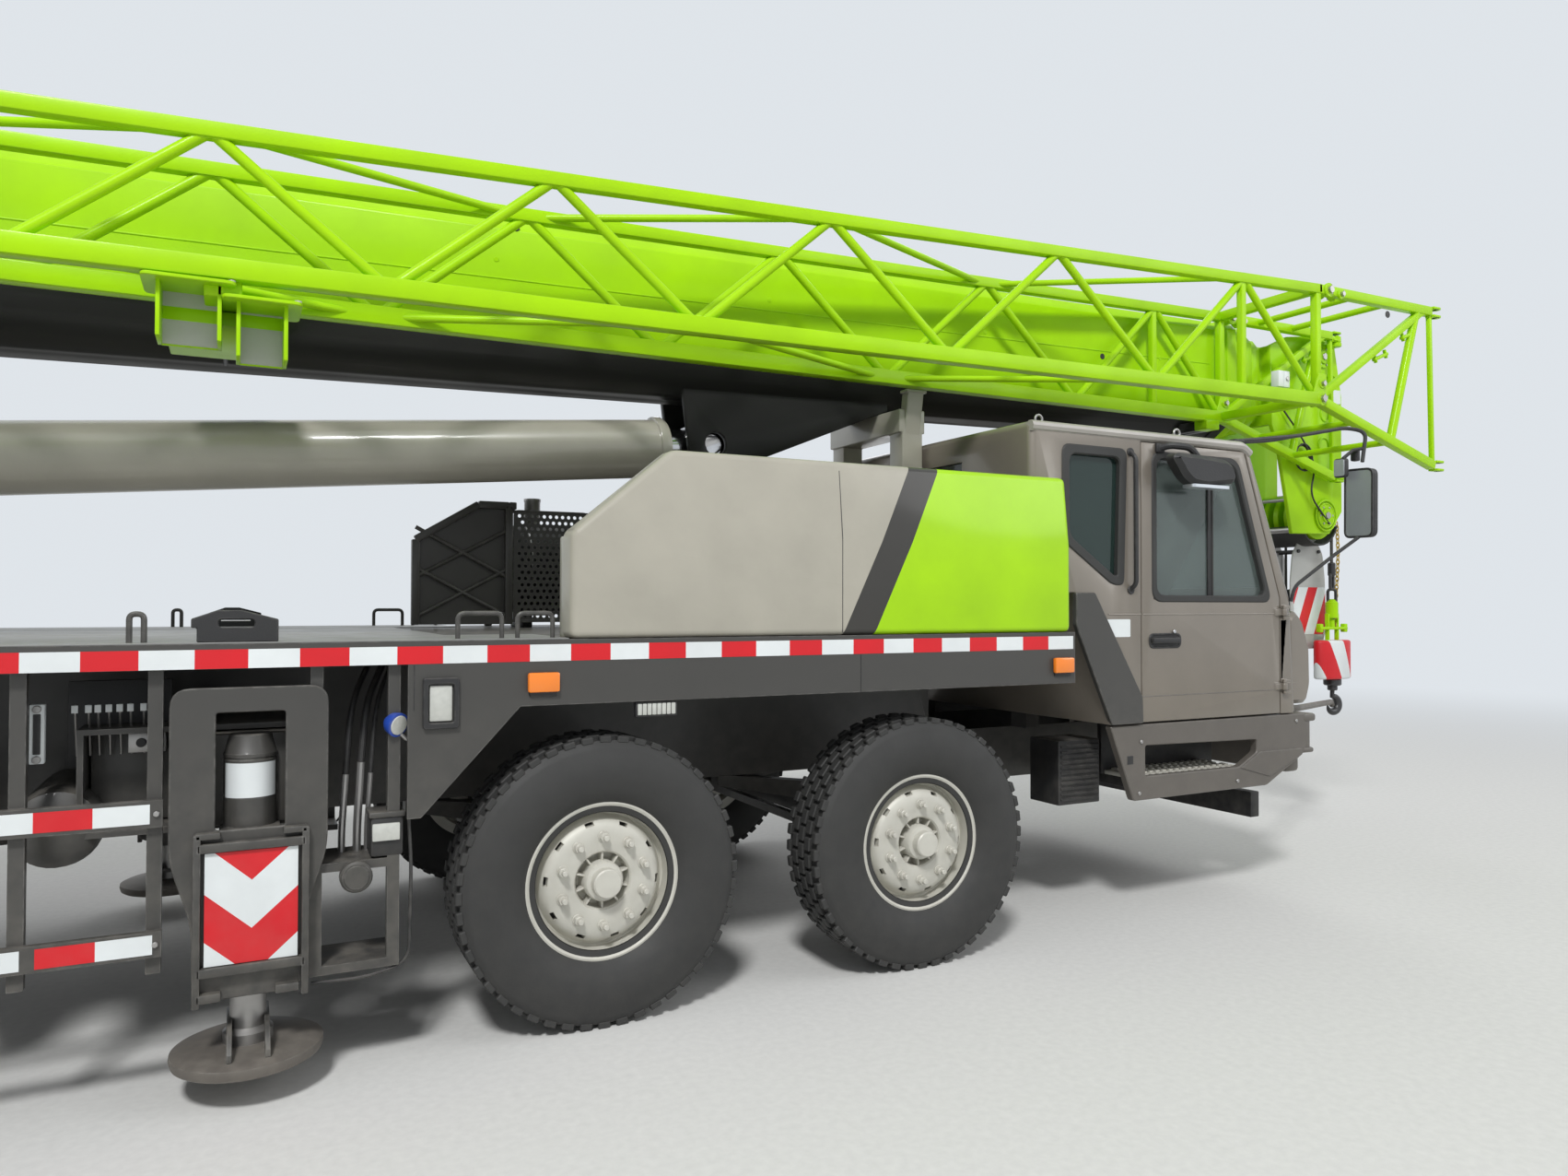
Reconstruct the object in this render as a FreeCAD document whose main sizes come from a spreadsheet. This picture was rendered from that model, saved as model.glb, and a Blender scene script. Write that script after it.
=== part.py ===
import FreeCAD, Part
import Sketcher
import math
import os
import re

# A four-axle truck-mounted telescopic crane, stowed for the road.
# X points forward, Y to the machine's left and Z up, with the ground at Z = 0.

SIZES = [
    # Wheels and axles
    ("axle_one_x", 2250), ("axle_two_x", 800), ("axle_three_x", -3305), ("axle_four_x", -4655),
    ("tyre_radius", 550), ("tyre_width", 308), ("tyre_tread", 240), ("rim_radius", 258),
    ("rim_width", 220), ("flange_radius", 300), ("flange_wide", 10), ("front_wheel_y", 1203),
    ("twin_wheel_y", 1037), ("twin_spacing", 337), ("seat_gap", 0.3), ("drum_radius", 205),
    ("spindle_radius", 45), ("running_gap", 0.1), ("hub_radius", 110), ("kingpin_y", 1010),
    ("kingpin_radius", 28), ("fist_radius", 50), ("fist_high", 110), ("jaw_thick", 35),
    ("beam_wide", 90), ("arm_reach", 150), ("arm_two_reach", 214), ("rear_tube_radius", 80),
    ("diff_radius", 200), ("spring_y", 410), ("spring_wide", 90), ("spring_long", 1200),
    # Chassis and deck
    ("frame_rear", -6600), ("bar_rear", -6790), ("frame_front", 4700), ("web_out", 450), ("web_thick", 20),
    ("frame_low", 780), ("frame_top", 1400), ("flange_thick", 20), ("flange_half", 520),
    ("deck_top", 1470), ("deck_thick", 20), ("deck_front", 3087), ("deck_rear", -6650),
    ("deck_half", 1375), ("edge_thick", 20), ("valance_low", 1230), ("edge_low", 1390),
    ("apron_rear", 80), ("apron_front", 466), ("apron_low", 860),
    # Slewing ring and turntable
    ("slew_x", -3000), ("ring_radius", 720), ("ring_low", 1420), ("ring_top", 1500), ("well_gap", 40),
    ("cheek_in", 335), ("cheek_thick", 40), ("platform_top", 1560), ("tail_radius", 3150),
    ("weight_half", 1150), ("weight_top", 2050), ("drum_winch", 170),
    # Boom
    ("pivot_x", -4900), ("pivot_z", 2800), ("boom_rest_deg", 1.2), ("boom_width", 600),
    ("boom_height", 770), ("boom_wall", 10), ("boom_step", 56), ("boom_long", 10400),
    ("boom_tail", 350), ("boom_below", 290),
    ("boom_rest_x", 2835), ("nose_step", 110), ("tail_step", 120), ("pin_radius", 60),
    ("pad_gap", 0.5), ("head_half", 280), ("head_drop", 510), ("sheave_radius", 165), ("jib_bracket_x", -500),
    # Luffing cylinder
    ("foot_x", -2150), ("foot_z", 2109), ("eye_x", 1760), ("eye_z", 2432), ("barrel_radius", 150),
    ("barrel_bore", 118), ("luff_rod_radius", 100), ("barrel_long", 3690), ("barrel_floor", 230),
    ("piston_gap", 38), ("gland_long", 80),
    # Jib
    ("jib_near_y", 1050), ("jib_foot_wide", 700), ("jib_tip_wide", 170), ("jib_foot_x", 5314),
    ("jib_tip_x", -4320), ("jib_foot_low", 2831), ("jib_foot_high", 3495), ("jib_tip_low", 2711),
    ("jib_tip_high", 3068), ("chord", 56), ("brace_radius", 21), ("jib_pitch", 1374),
    ("jib_ratio", 0.95), ("jib_node_x", 3968), ("swing_x", 6480), ("swing_y", 350), ("swing_pin", 22),
    ("post_back", 70), ("jib_seat", 5),
    # Outriggers
    ("front_rigger_x", -400), ("rear_rigger_x", -6060), ("rigger_beam_wide", 260),
    ("rigger_beam_high", 300), ("rigger_beam_low", 870), ("rigger_wall", 18), ("slide_gap", 6),
    ("jack_inset", 113), ("jack_radius", 80), ("jack_top", 1190), ("jack_low", 340),
    ("jack_rod", 55), ("float_radius", 230), ("float_low", 110),
    ("float_thick", 60), ("shield_wide", 460), ("shield_thick", 20), ("shield_top", 1330),
    ("shield_low", 580), ("housing_inset", 205), ("rigger_beam_long", 2300),
    # Driver's cab
    ("cab_inset", 125), ("cab_wall", 50), ("cab_rear", 2930), ("cab_floor", 1000),
    ("cab_roof", 2490), ("cab_front_top", 4450), ("cab_front_belt", 4790), ("belt_z", 1640),
    ("cab_nose", 4830), ("door_rear", 3650), ("door_front", 4690), ("door_gap", 6), ("hinge_x", 4704), ("hinge_out", 18), ("hinge_pin", 8),
    ("door_top", 2432), ("sill_z", 1630), ("window_top", 2375), ("glass_thick", 6), ("tow_x", 4950), ("tow_z", 720),
    ("tow_bore", 21),
    # Crane operator's cab
    ("op_rear", -3950), ("op_front", -2450), ("op_in", 480), ("op_out", 1220), ("op_low", 1620),
    ("op_top", 3120), ("op_wall", 40),
    # Tool box
    ("box_rear", 650), ("box_front", 3065), ("box_deep", 200), ("box_top", 2205),
    ("box_knee", 1865), ("box_slope", 410),
]

doc = FreeCAD.newDocument("MobileCrane")
sheet = doc.addObject("Spreadsheet::Sheet", "Sizes")
for row, (alias, number) in enumerate(SIZES, start=1):
    sheet.set("A%d" % row, alias)
    sheet.set("B%d" % row, str(number))
    sheet.setAlias("B%d" % row, alias)
doc.recompute()
ALIASES = dict(SIZES)
NODES = []


# Places that follow from the sizes
FOLLOWS = {
    "cab_half": "(deck_half - cab_inset)",
    "hinge_y": "(deck_half - cab_inset + hinge_out)",
    "jack_y": "(deck_half - jack_inset)",
    "housing_half": "(deck_half - housing_inset)",
}
WORD = r"[a-z][a-z_0-9]*"


def spelled(text):
    """The same expression with each place that follows written out in sizes."""
    return re.sub(WORD, lambda found: FOLLOWS.get(found.group(0), found.group(0)), str(text))


def linked(text):
    """The same expression with each size's name pointed at the sheet."""
    def point(found):
        word = found.group(0)
        return "Sizes." + word if word in ALIASES else word
    return re.sub(WORD, point, spelled(text))


def number_of(text):
    return float(sheet.evalExpression(spelled(text)))


def bind(thing, name, text):
    thing.setExpression(name, linked(text))


def block(x, y, z):
    """A box between pairs of expressions."""
    solid = doc.addObject("Part::Box", "Block")
    for name, span in (("Length", x), ("Width", y), ("Height", z)):
        bind(solid, name, "(%s) - (%s)" % (span[1], span[0]))
    for name, span in (("x", x), ("y", y), ("z", z)):
        bind(solid, "Placement.Base." + name, span[0])
    return solid


TURNS = {"x": ((0, 1, 0), 90), "y": ((1, 0, 0), -90), "z": ((0, 0, 1), 0)}


def rod(axis, radius, span, at):
    """A cylinder along one axis, from span's low to its high."""
    solid = doc.addObject("Part::Cylinder", "Rod")
    direction, angle = TURNS[axis]
    solid.Placement = FreeCAD.Placement(FreeCAD.Vector(), FreeCAD.Rotation(FreeCAD.Vector(*direction), angle))
    bind(solid, "Radius", radius)
    bind(solid, "Height", "(%s) - (%s)" % (span[1], span[0]))
    place = list(at)
    place.insert("xyz".index(axis), span[0])
    for name, text in zip("xyz", place):
        bind(solid, "Placement.Base." + name, text)
    return solid


def outline(body, role, points, offset):
    """A closed sketch of straight lines, each corner bound to the sheet."""
    sketch = body.newObject("Sketcher::SketchObject", "Outline")
    plane = [each for each in body.Origin.OriginFeatures if each.Role == role][0]
    sketch.AttachmentSupport = [(plane, "")]
    sketch.MapMode = "FlatFace"
    for name, text in zip("xyz", offset):
        bind(sketch, "AttachmentOffset.Base." + name, text)
    flat = [FreeCAD.Vector(number_of(a), number_of(b), 0) for a, b in points]
    count = len(flat)
    for index in range(count):
        sketch.addGeometry(Part.LineSegment(flat[index], flat[(index + 1) % count]))
    for index in range(count):
        sketch.addConstraint(Sketcher.Constraint("Coincident", index, 2, (index + 1) % count, 1))
    for index, (a, b) in enumerate(points):
        across = sketch.addConstraint(Sketcher.Constraint("DistanceX", -1, 1, index, 1, flat[index].x))
        bind(sketch, "Constraints[%d]" % across, a)
        along = sketch.addConstraint(Sketcher.Constraint("DistanceY", -1, 1, index, 1, flat[index].y))
        bind(sketch, "Constraints[%d]" % along, b)
    return sketch


ROLES = {"xz": "XZ_Plane", "yz": "YZ_Plane", "xy": "XY_Plane"}


def plate(plane, points, span):
    """A padded outline: xz points run along Y, yz points along X, xy points along Z."""
    body = doc.addObject("PartDesign::Body", "Plate")
    start = "-(%s)" % span[1] if plane == "xz" else span[0]
    sketch = outline(body, ROLES[plane], points, ("0", "0", start))
    pad = body.newObject("PartDesign::Pad", "Pad")
    pad.Profile = sketch
    bind(pad, "Length", "(%s) - (%s)" % (span[1], span[0]))
    return body


def turned(axis, points, at):
    """A turned piece. Points are (along, radius); at is its middle."""
    body = doc.addObject("PartDesign::Body", "Turned")
    if axis == "y":
        sketch = outline(body, "YZ_Plane", points, (at[1], at[2], at[0]))
    else:
        sketch = outline(body, "XZ_Plane", points, (at[0], at[2], "-(%s)" % at[1]))
    spin = body.newObject("PartDesign::Revolution", "Spin")
    spin.Profile = sketch
    spin.ReferenceAxis = (sketch, ["H_Axis"])
    spin.Angle = 360
    return body


def fuse(*pieces):
    joined = doc.addObject("Part::MultiFuse", "Joined")
    joined.Shapes = list(pieces)
    return joined


def cut(base, *tools):
    tool = tools[0] if len(tools) == 1 else fuse(*tools)
    left = doc.addObject("Part::Cut", "Left")
    left.Base = base
    left.Tool = tool
    return left


def mirrored(source):
    """The same piece on the other side of the machine."""
    other = doc.addObject("Part::Mirroring", "Mirrored")
    other.Source = source
    other.Normal = FreeCAD.Vector(0, 1, 0)
    return other


def both(source):
    return [source, mirrored(source)]


def computed(shape):
    thing = doc.addObject("Part::Feature", "Shaped")
    thing.Shape = shape
    return thing


def keep(label, thing):
    thing.Label = label
    NODES.append(thing)
    return thing


def sided(side, text):
    return text if side > 0 else "-(%s)" % text


# Wheels


def tyre_points(side, middle):
    half = "tyre_width / 2"
    seat = "rim_width / 2 - flange_wide - seat_gap"
    right = [
        (seat, "rim_radius + seat_gap"), (seat, "flange_radius + 1"), (half, "tyre_radius * 0.72"),
        ("%s - 4" % half, "tyre_radius * 0.9"), ("tyre_tread / 2", "tyre_radius"),
    ]
    points = [("%s + (%s)" % (middle, a), r) for a, r in right]
    points += [("%s - (%s)" % (middle, a), r) for a, r in reversed(right)]
    return points


FRONT_RIM = [
    ("165", "0"), ("165", "85"), ("80", "hub_radius"), ("80", "190"), ("92", "218"),
    ("70", "rim_radius - 12"), ("rim_width / 2", "rim_radius - 12"), ("rim_width / 2", "flange_radius"),
    ("rim_width / 2 - flange_wide", "flange_radius"), ("rim_width / 2 - flange_wide", "rim_radius"),
    ("flange_wide - rim_width / 2", "rim_radius"), ("flange_wide - rim_width / 2", "flange_radius"),
    ("-rim_width / 2", "flange_radius"), ("-rim_width / 2", "rim_radius - 12"),
    ("50", "rim_radius - 12"), ("45", "drum_radius"), ("-100", "drum_radius"),
    ("-100", "spindle_radius + running_gap"), ("20", "spindle_radius + running_gap"), ("20", "0"),
]

for axle, axle_x in (("1", "axle_one_x"), ("2", "axle_two_x")):
    for mark, side in (("r", -1), ("l", 1)):
        hub = (axle_x, sided(side, "front_wheel_y"), "tyre_radius")
        rim = [(sided(side, a), r) for a, r in FRONT_RIM]
        keep("front_tyre_%s%s" % (axle, mark), turned("y", tyre_points(side, "0"), hub))
        keep("front_rim_%s%s" % (axle, mark), turned("y", rim, hub))

TWIN_RIM = [
    ("160", "0"), ("160", "95"), ("30", "hub_radius"), ("30", "195"), ("80", "rim_radius - 12"),
    ("outer", "rim_radius - 12"), ("outer", "flange_radius"), ("outer - flange_wide", "flange_radius"),
    ("outer - flange_wide", "rim_radius"), ("flange_wide - outer", "rim_radius"),
    ("flange_wide - outer", "flange_radius"), ("-outer", "flange_radius"), ("-outer", "rim_radius - 12"),
    ("-60", "rim_radius - 12"), ("-40", "drum_radius"), ("-240", "drum_radius"),
    ("-240", "rear_tube_radius + running_gap"), ("20", "rear_tube_radius + running_gap"), ("20", "0"),
]
OUTER = "(twin_spacing + rim_width) / 2"

for axle, axle_x in (("3", "axle_three_x"), ("4", "axle_four_x")):
    for mark, side in (("r", -1), ("l", 1)):
        hub = (axle_x, sided(side, "twin_wheel_y"), "tyre_radius")
        rim = [(sided(side, a.replace("outer", OUTER)), r) for a, r in TWIN_RIM]
        tyres = [turned("y", tyre_points(side, way + "twin_spacing / 2"), hub) for way in ("", "-")]
        keep("rear_wheels_%s%s" % (axle, mark), fuse(turned("y", rim, hub), *tyres))

# Front axles, knuckles and steering rods

FIST = "fist_high / 2"
for axle, axle_x, reach in (("1", "axle_one_x", "arm_reach"), ("2", "axle_two_x", "arm_two_reach")):
    for mark, side in (("r", -1), ("l", 1)):
        pin_y = sided(side, "kingpin_y")
        near = "kingpin_y + fist_radius + 8"
        spans = sorted([sided(side, near), sided(side, "kingpin_y + 88")], key=number_of)
        jaws = sorted([sided(side, "kingpin_y - 40"), sided(side, "kingpin_y + 88")], key=number_of)
        spindle = sorted([sided(side, near), sided(side, "front_wheel_y + 19")], key=number_of)
        wide = (axle_x + " - 45", axle_x + " + 45")
        top = "tyre_radius + %s + 1" % FIST
        low = "tyre_radius - %s - 1" % FIST
        arm = sorted([sided(side, "kingpin_y - 90"), sided(side, "kingpin_y - 20")], key=number_of)
        keep("knuckle_%s%s" % (axle, mark), fuse(
            block(wide, spans, (low + " - jaw_thick", top + " + jaw_thick")),
            block(wide, jaws, (top, top + " + jaw_thick")),
            block(wide, jaws, (low + " - jaw_thick", low)),
            rod("z", "kingpin_radius", (low + " - jaw_thick - 8", top + " + jaw_thick + 8"), (axle_x, pin_y)),
            rod("y", "spindle_radius", spindle, (axle_x, "tyre_radius")),
            block((axle_x + " - " + reach + " - 35", axle_x + " - 20"), arm, (low + " - jaw_thick", low)),
        ))

ROD_Z = "tyre_radius - fist_high / 2 - 1 + seat_gap"
rods = []
for axle_x, reach in (("axle_one_x", "arm_reach"), ("axle_two_x", "arm_two_reach")):
    back = axle_x + " - " + reach
    rods.append(block((back + " - 20", back + " + 20"), ("-kingpin_y + 20", "kingpin_y - 20"),
                      (ROD_Z, ROD_Z + " + 40")))
keep("steering_rods", fuse(*rods))

beams = []
for axle_x in ("axle_one_x", "axle_two_x"):
    beam = block((axle_x + " - beam_wide / 2", axle_x + " + beam_wide / 2"), ("-kingpin_y", "kingpin_y"),
                 ("tyre_radius - 50", "tyre_radius + 50"))
    fists = [rod("z", "fist_radius", ("tyre_radius - " + FIST, "tyre_radius + " + FIST), (axle_x, y))
             for y in ("kingpin_y", "-kingpin_y")]
    bores = [rod("z", "kingpin_radius + running_gap", ("tyre_radius - fist_high", "tyre_radius + fist_high"),
                 (axle_x, y)) for y in ("kingpin_y", "-kingpin_y")]
    beams.append(cut(fuse(beam, *fists), *bores))
for axle_x in ("axle_three_x", "axle_four_x"):
    reach = "twin_wheel_y + 19"
    beams.append(rod("y", "rear_tube_radius", ("-(%s)" % reach, reach), (axle_x, "tyre_radius")))
    beams.append(turned("y", [("-260", "0"), ("-260", "90"), ("-120", "diff_radius"), ("120", "diff_radius"),
                              ("260", "90"), ("260", "0")], (axle_x, "0", "tyre_radius")))
keep("axles", fuse(*beams))

springs = []
SPRING_TOP = "frame_low - flange_thick - seat_gap"
for axle_x, seat in (("axle_one_x", "tyre_radius + 50"), ("axle_two_x", "tyre_radius + 50"),
                     ("axle_three_x", "tyre_radius + 80"), ("axle_four_x", "tyre_radius + 80")):
    half = "spring_long / 2"
    leaf = plate("xz", [
        (axle_x + " - " + half, SPRING_TOP + " - 45"), (axle_x + " - 60", seat), (axle_x + " + 60", seat),
        (axle_x + " + " + half, SPRING_TOP + " - 45"), (axle_x + " + " + half, SPRING_TOP),
        (axle_x + " + " + half + " - 60", SPRING_TOP), (axle_x + " + 60", seat + " + 95"),
        (axle_x + " - 60", seat + " + 95"), (axle_x + " - " + half + " + 60", SPRING_TOP),
        (axle_x + " - " + half, SPRING_TOP),
    ], ("spring_y - spring_wide / 2", "spring_y + spring_wide / 2"))
    springs += both(leaf)
keep("leaf_springs", fuse(*springs))

# Chassis: two deep webs with flanges, closed by cross plates

webs = both(plate("xz", [
    ("frame_rear", "frame_low + 150"), ("axle_four_x - 700", "frame_low"), ("frame_front - 1830", "frame_low"),
    ("frame_front - 1700", "frame_low - 130"), ("frame_front", "frame_low - 130"),
    ("frame_front", "frame_low + 130"), ("frame_front - 1800", "frame_low + 130"),
    ("frame_front - 1950", "frame_top"), ("frame_rear", "frame_top"),
], ("web_out - web_thick", "web_out")))
top_plate = block(("frame_rear", "frame_front - 1950"), ("-flange_half", "flange_half"),
                  ("frame_top", "frame_top + flange_thick"))
nose_plate = block(("frame_front - 1800", "frame_front"), ("-web_out", "web_out"),
                   ("frame_low - 150", "frame_low - 130"))
low_plate = block(("axle_four_x - 700", "frame_front - 1830"), ("-web_out", "web_out"),
                  ("frame_low - flange_thick", "frame_low"))
cross = [block((x, x + " + 20"), ("-web_out", "web_out"), ("frame_low", "frame_top"))
         for x in ("frame_rear + 700", "axle_four_x + 600", "axle_three_x + 800", "axle_two_x + 700")]
ring = rod("z", "ring_radius", ("ring_low", "ring_top"), ("slew_x", "0"))
mounts = []
for x in ("cab_rear + 550", "frame_front - 140"):
    mounts += both(block((x, x + " + 90"), ("web_out - web_thick", "web_out + 110"),
                         ("frame_low + 130", "cab_floor - seat_gap")))
rear_bar = block(("bar_rear", "bar_rear + 60"), ("-deck_half + 120", "deck_half - 120"), ("720", "860"))
bar_stays = both(block(("bar_rear + 60", "frame_rear + 200"), ("web_out - web_thick - 60", "web_out - web_thick"),
                       ("740", "1000")))

# Outriggers: two crosswise housings in the frame, each with a beam sliding out of either side

RIGGERS = (("front", "front_rigger_x", "-1"), ("rear", "rear_rigger_x", "1"))
RIGGER_MIDS = {}
tunnels = []
sleeves = []
slide_pads = []
for place, x, way in RIGGERS:
    for mark, offset in (("r", "0"), ("l", "%s * (rigger_beam_wide + 80)" % way)):
        mid = "(%s + %s)" % (x, offset)
        RIGGER_MIDS[place + "_" + mark] = mid
        reach = "(rigger_beam_wide / 2 + slide_gap)"
        span = ("%s - %s" % (mid, reach), "%s + %s" % (mid, reach))
        low = "rigger_beam_low - slide_gap"
        high = "rigger_beam_low + rigger_beam_high + slide_gap"
        tunnels.append(block(span, ("-housing_half - 1", "housing_half + 1"), (low, high)))
        sleeves.append(block((span[0] + " - rigger_wall", span[1] + " + rigger_wall"),
                             ("-housing_half", "housing_half"), (low + " - rigger_wall", high + " + rigger_wall")))
        slide_pads += both(block((mid + " - 100", mid + " + 100"), ("housing_half - 120", "housing_half - 20"),
                                 (low, "rigger_beam_low - seat_gap")))
frame = cut(fuse(*webs, top_plate, nose_plate, low_plate, *cross, ring, *mounts, rear_bar, *bar_stays, *sleeves),
            *tunnels)
keep("chassis_frame", fuse(frame, *slide_pads))

for place, x, way in RIGGERS:
    for mark, side in (("r", -1), ("l", 1)):
        mid = RIGGER_MIDS[place + "_" + mark]

        def across(low, high):
            return (low, high) if side > 0 else ("-(%s)" % high, "-(%s)" % low)

        jack_at = (mid, sided(side, "jack_y"))
        beam = block((mid + " - rigger_beam_wide / 2", mid + " + rigger_beam_wide / 2"),
                     across("jack_y - rigger_beam_long", "jack_y"),
                     ("rigger_beam_low", "rigger_beam_low + rigger_beam_high"))
        tube = rod("z", "jack_radius", ("jack_low", "jack_top"), jack_at)
        shield = plate("xz", [
            (mid + " - shield_wide / 2", "shield_low + 210"), (mid + " - shield_wide / 2", "shield_top - 45"),
            (mid + " - shield_wide / 2 + 45", "shield_top"), (mid + " + shield_wide / 2 - 45", "shield_top"),
            (mid + " + shield_wide / 2", "shield_top - 45"), (mid + " + shield_wide / 2", "shield_low + 210"),
            (mid + " + shield_wide * 0.36", "shield_low + 10"), (mid + " + shield_wide * 0.35", "jack_low"),
            (mid + " - shield_wide * 0.35", "jack_low"), (mid + " - shield_wide * 0.36", "shield_low + 10"),
        ], across("deck_half - shield_thick", "deck_half"))
        window = block((mid + " - 101", mid + " + 101"), across("deck_half - shield_thick - 1", "deck_half + 1"),
                       ("rigger_beam_low + 5", "shield_top - 80"))
        tie = block((mid + " - 90", mid + " + 90"), across("jack_y - 60", "deck_half - shield_thick"),
                    ("jack_low + 10", "rigger_beam_low"))
        bore = rod("z", "jack_rod + seat_gap", ("jack_low - 1", "jack_top - 30"), jack_at)
        keep("outrigger_beam_%s_%s" % (place, mark), cut(fuse(beam, tube, cut(shield, window), tie), bore))
        foot = fuse(
            rod("z", "jack_rod", ("float_low + float_thick", "jack_top - 90"), jack_at),
            rod("z", "float_radius", ("float_low", "float_low + float_thick"), jack_at),
            block((mid + " - float_radius * 0.8", mid + " + float_radius * 0.8"),
                  across("jack_y - 12", "jack_y + 12"), ("float_low + float_thick", "float_low + float_thick + 70")),
            block((mid + " - 12", mid + " + 12"), across("jack_y - float_radius * 0.4", "jack_y + float_radius * 0.4"),
                  ("float_low + float_thick", "float_low + float_thick + 70")),
        )
        keep("jack_%s_%s" % (place, mark), foot)

# Deck: top plate, edge beams and the valances over the wheels

top = block(("deck_rear", "deck_front"), ("-deck_half", "deck_half"), ("deck_top - deck_thick", "deck_top"))
well = block(("slew_x - ring_radius - well_gap", "slew_x + ring_radius + well_gap"),
             ("-ring_radius - well_gap", "ring_radius + well_gap"), ("deck_top - 100", "deck_top + 100"))
edges = both(block(("deck_rear", "deck_front"), ("deck_half - edge_thick", "deck_half"),
                   ("edge_low", "deck_top")))
valances = []
for low_x, high_x in (("apron_front - 50", "deck_front"), ("axle_four_x - 750", "axle_three_x + 750")):
    valances += both(block((low_x, high_x), ("deck_half - edge_thick", "deck_half"), ("valance_low", "deck_top - 30")))
aprons = both(plate("xz", [
    ("apron_rear", "apron_low"), ("apron_rear + 45", "apron_low"), ("apron_front", "valance_low"),
    ("apron_front", "deck_top - 30"), ("apron_rear", "deck_top - 30"),
], ("deck_half - edge_thick", "deck_half")))
carriers = [block((x, x + " + 30"), ("-deck_half + 20", "deck_half - 20"), ("frame_top + flange_thick", "deck_top - 20"))
            for x in ("deck_rear + 20", "axle_four_x - 600", "axle_four_x + 675", "axle_three_x + 600",
                      "slew_x + 1200", "front_rigger_x + 500", "axle_two_x + 700", "deck_front - 80")]
keep("deck", cut(fuse(top, *edges, *valances, *aprons, *carriers), well))

# Side guards between the outriggers and the rear wheels, and the steps ahead of the front jacks

guards = []
for side, start in ((-1, "front_rigger_x - 245"), (1, "front_rigger_x - 585")):

    def face(low, high):
        return (low, high) if side > 0 else ("-(%s)" % high, "-(%s)" % low)

    rear = "axle_three_x + 700"
    for low, high in (("900", "985"), ("497", "577")):
        guards.append(block((rear, start), face("deck_half - 40", "deck_half - 15"), (low, high)))
    for x in (rear + " + 40", "slew_x + 1350", start + " - 400", start + " - 45"):
        guards.append(block((x, x + " + 42"), face("deck_half - 80", "deck_half - 40"), ("440", "deck_top - 20")))
for side, start in ((-1, "front_rigger_x + 245"), (1, "front_rigger_x + 245")):

    def face(low, high):
        return (low, high) if side > 0 else ("-(%s)" % high, "-(%s)" % low)

    for x in (start + " - 70", start + " + 175"):
        guards.append(block((x, x + " + 40"), face("deck_half - 70", "deck_half - 30"), ("360", "deck_top - 20")))
    for z in ("360", "700"):
        guards.append(block((start + " - 70", start + " + 215"), face("deck_half - 270", "deck_half - 30"),
                            (z, z + " + 30")))
keep("side_guards", fuse(*guards))

# Tanks hung from the frame: fuel tank left, battery and air boxes right

tanks = fuse(
    block(("slew_x + 500", "slew_x + 1500"), ("web_out + 60", "deck_half - 120"), ("620", "1180")),
    block(("slew_x + 600", "slew_x + 1400"), ("web_out", "web_out + 60"), ("700", "900")),
    block(("slew_x + 500", "slew_x + 1300"), ("-deck_half + 120", "-web_out - 60"), ("700", "1150")),
    block(("slew_x + 600", "slew_x + 1200"), ("-web_out - 60", "-web_out"), ("800", "900")),
)
keep("tanks", tanks)

# Engine between the frame webs, under the deck behind the cab

keep("engine_block", block(("axle_two_x + 800", "deck_front - 150"), ("-web_out + 60", "web_out - 60"),
                           ("frame_low", "frame_low + 560")))

# Tool box along the right edge of the deck

keep("tool_box", cut(plate("xz", [
    ("box_rear", "deck_top"), ("box_front", "deck_top"), ("box_front", "box_top"),
    ("box_rear + box_slope", "box_top"), ("box_rear", "box_knee"),
], ("-deck_half", "-deck_half + box_deep")), block(("cab_rear - door_gap", "box_front + 1"),
                                                   ("-cab_half - door_gap", "-cab_half + box_deep"),
                                                   ("belt_z", "box_top + 1"))))

# Silencer behind its braced guard, on the left of the deck

brace = plate("xz", [
    ("360", "deck_top"), ("860", "deck_top"), ("860", "2150"), ("700", "2150"), ("360", "1950"),
], ("550", "590"))
hole = plate("xz", [
    ("420", "deck_top + 60"), ("800", "deck_top + 60"), ("800", "2090"), ("710", "2090"), ("420", "1915"),
], ("549", "591"))
slants = [plate("xz", [("415", z), ("440", z), ("805", z + " + 260"), ("780", z + " + 260")], ("560", "580"))
          for z in ("deck_top + 30", "deck_top + 240")]
silencer = rod("x", "250", ("900", "1850"), ("900", "deck_top + 330"))
stands = [block((x, x + " + 60"), ("760", "1040"), ("deck_top", "deck_top + 150")) for x in ("980", "1700")]
pipe = rod("z", "45", ("deck_top + 500", "2210"), ("1070", "900"))
keep("exhaust_guard", fuse(cut(brace, hole), *slants, silencer, *stands, pipe,
                           block(("860", "900"), ("550", "1200"), ("deck_top", "2150"))))

# Boom rest behind the cab

REST_TOP = "pivot_z - boom_below + (boom_rest_x - pivot_x) * tan(boom_rest_deg * 1 deg) - 5"
rest_pad = ("2540", REST_TOP)
posts = both(block(("boom_rest_x - 60", "boom_rest_x + 70"), ("250", "380"), ("deck_top", "2540")))
keep("boom_rest", fuse(*posts, block(("boom_rest_x - 80", "boom_rest_x + 85"), ("-380", "380"), rest_pad)))

# Driver's cab: a hollow shell with its windows cut, a door either side

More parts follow.
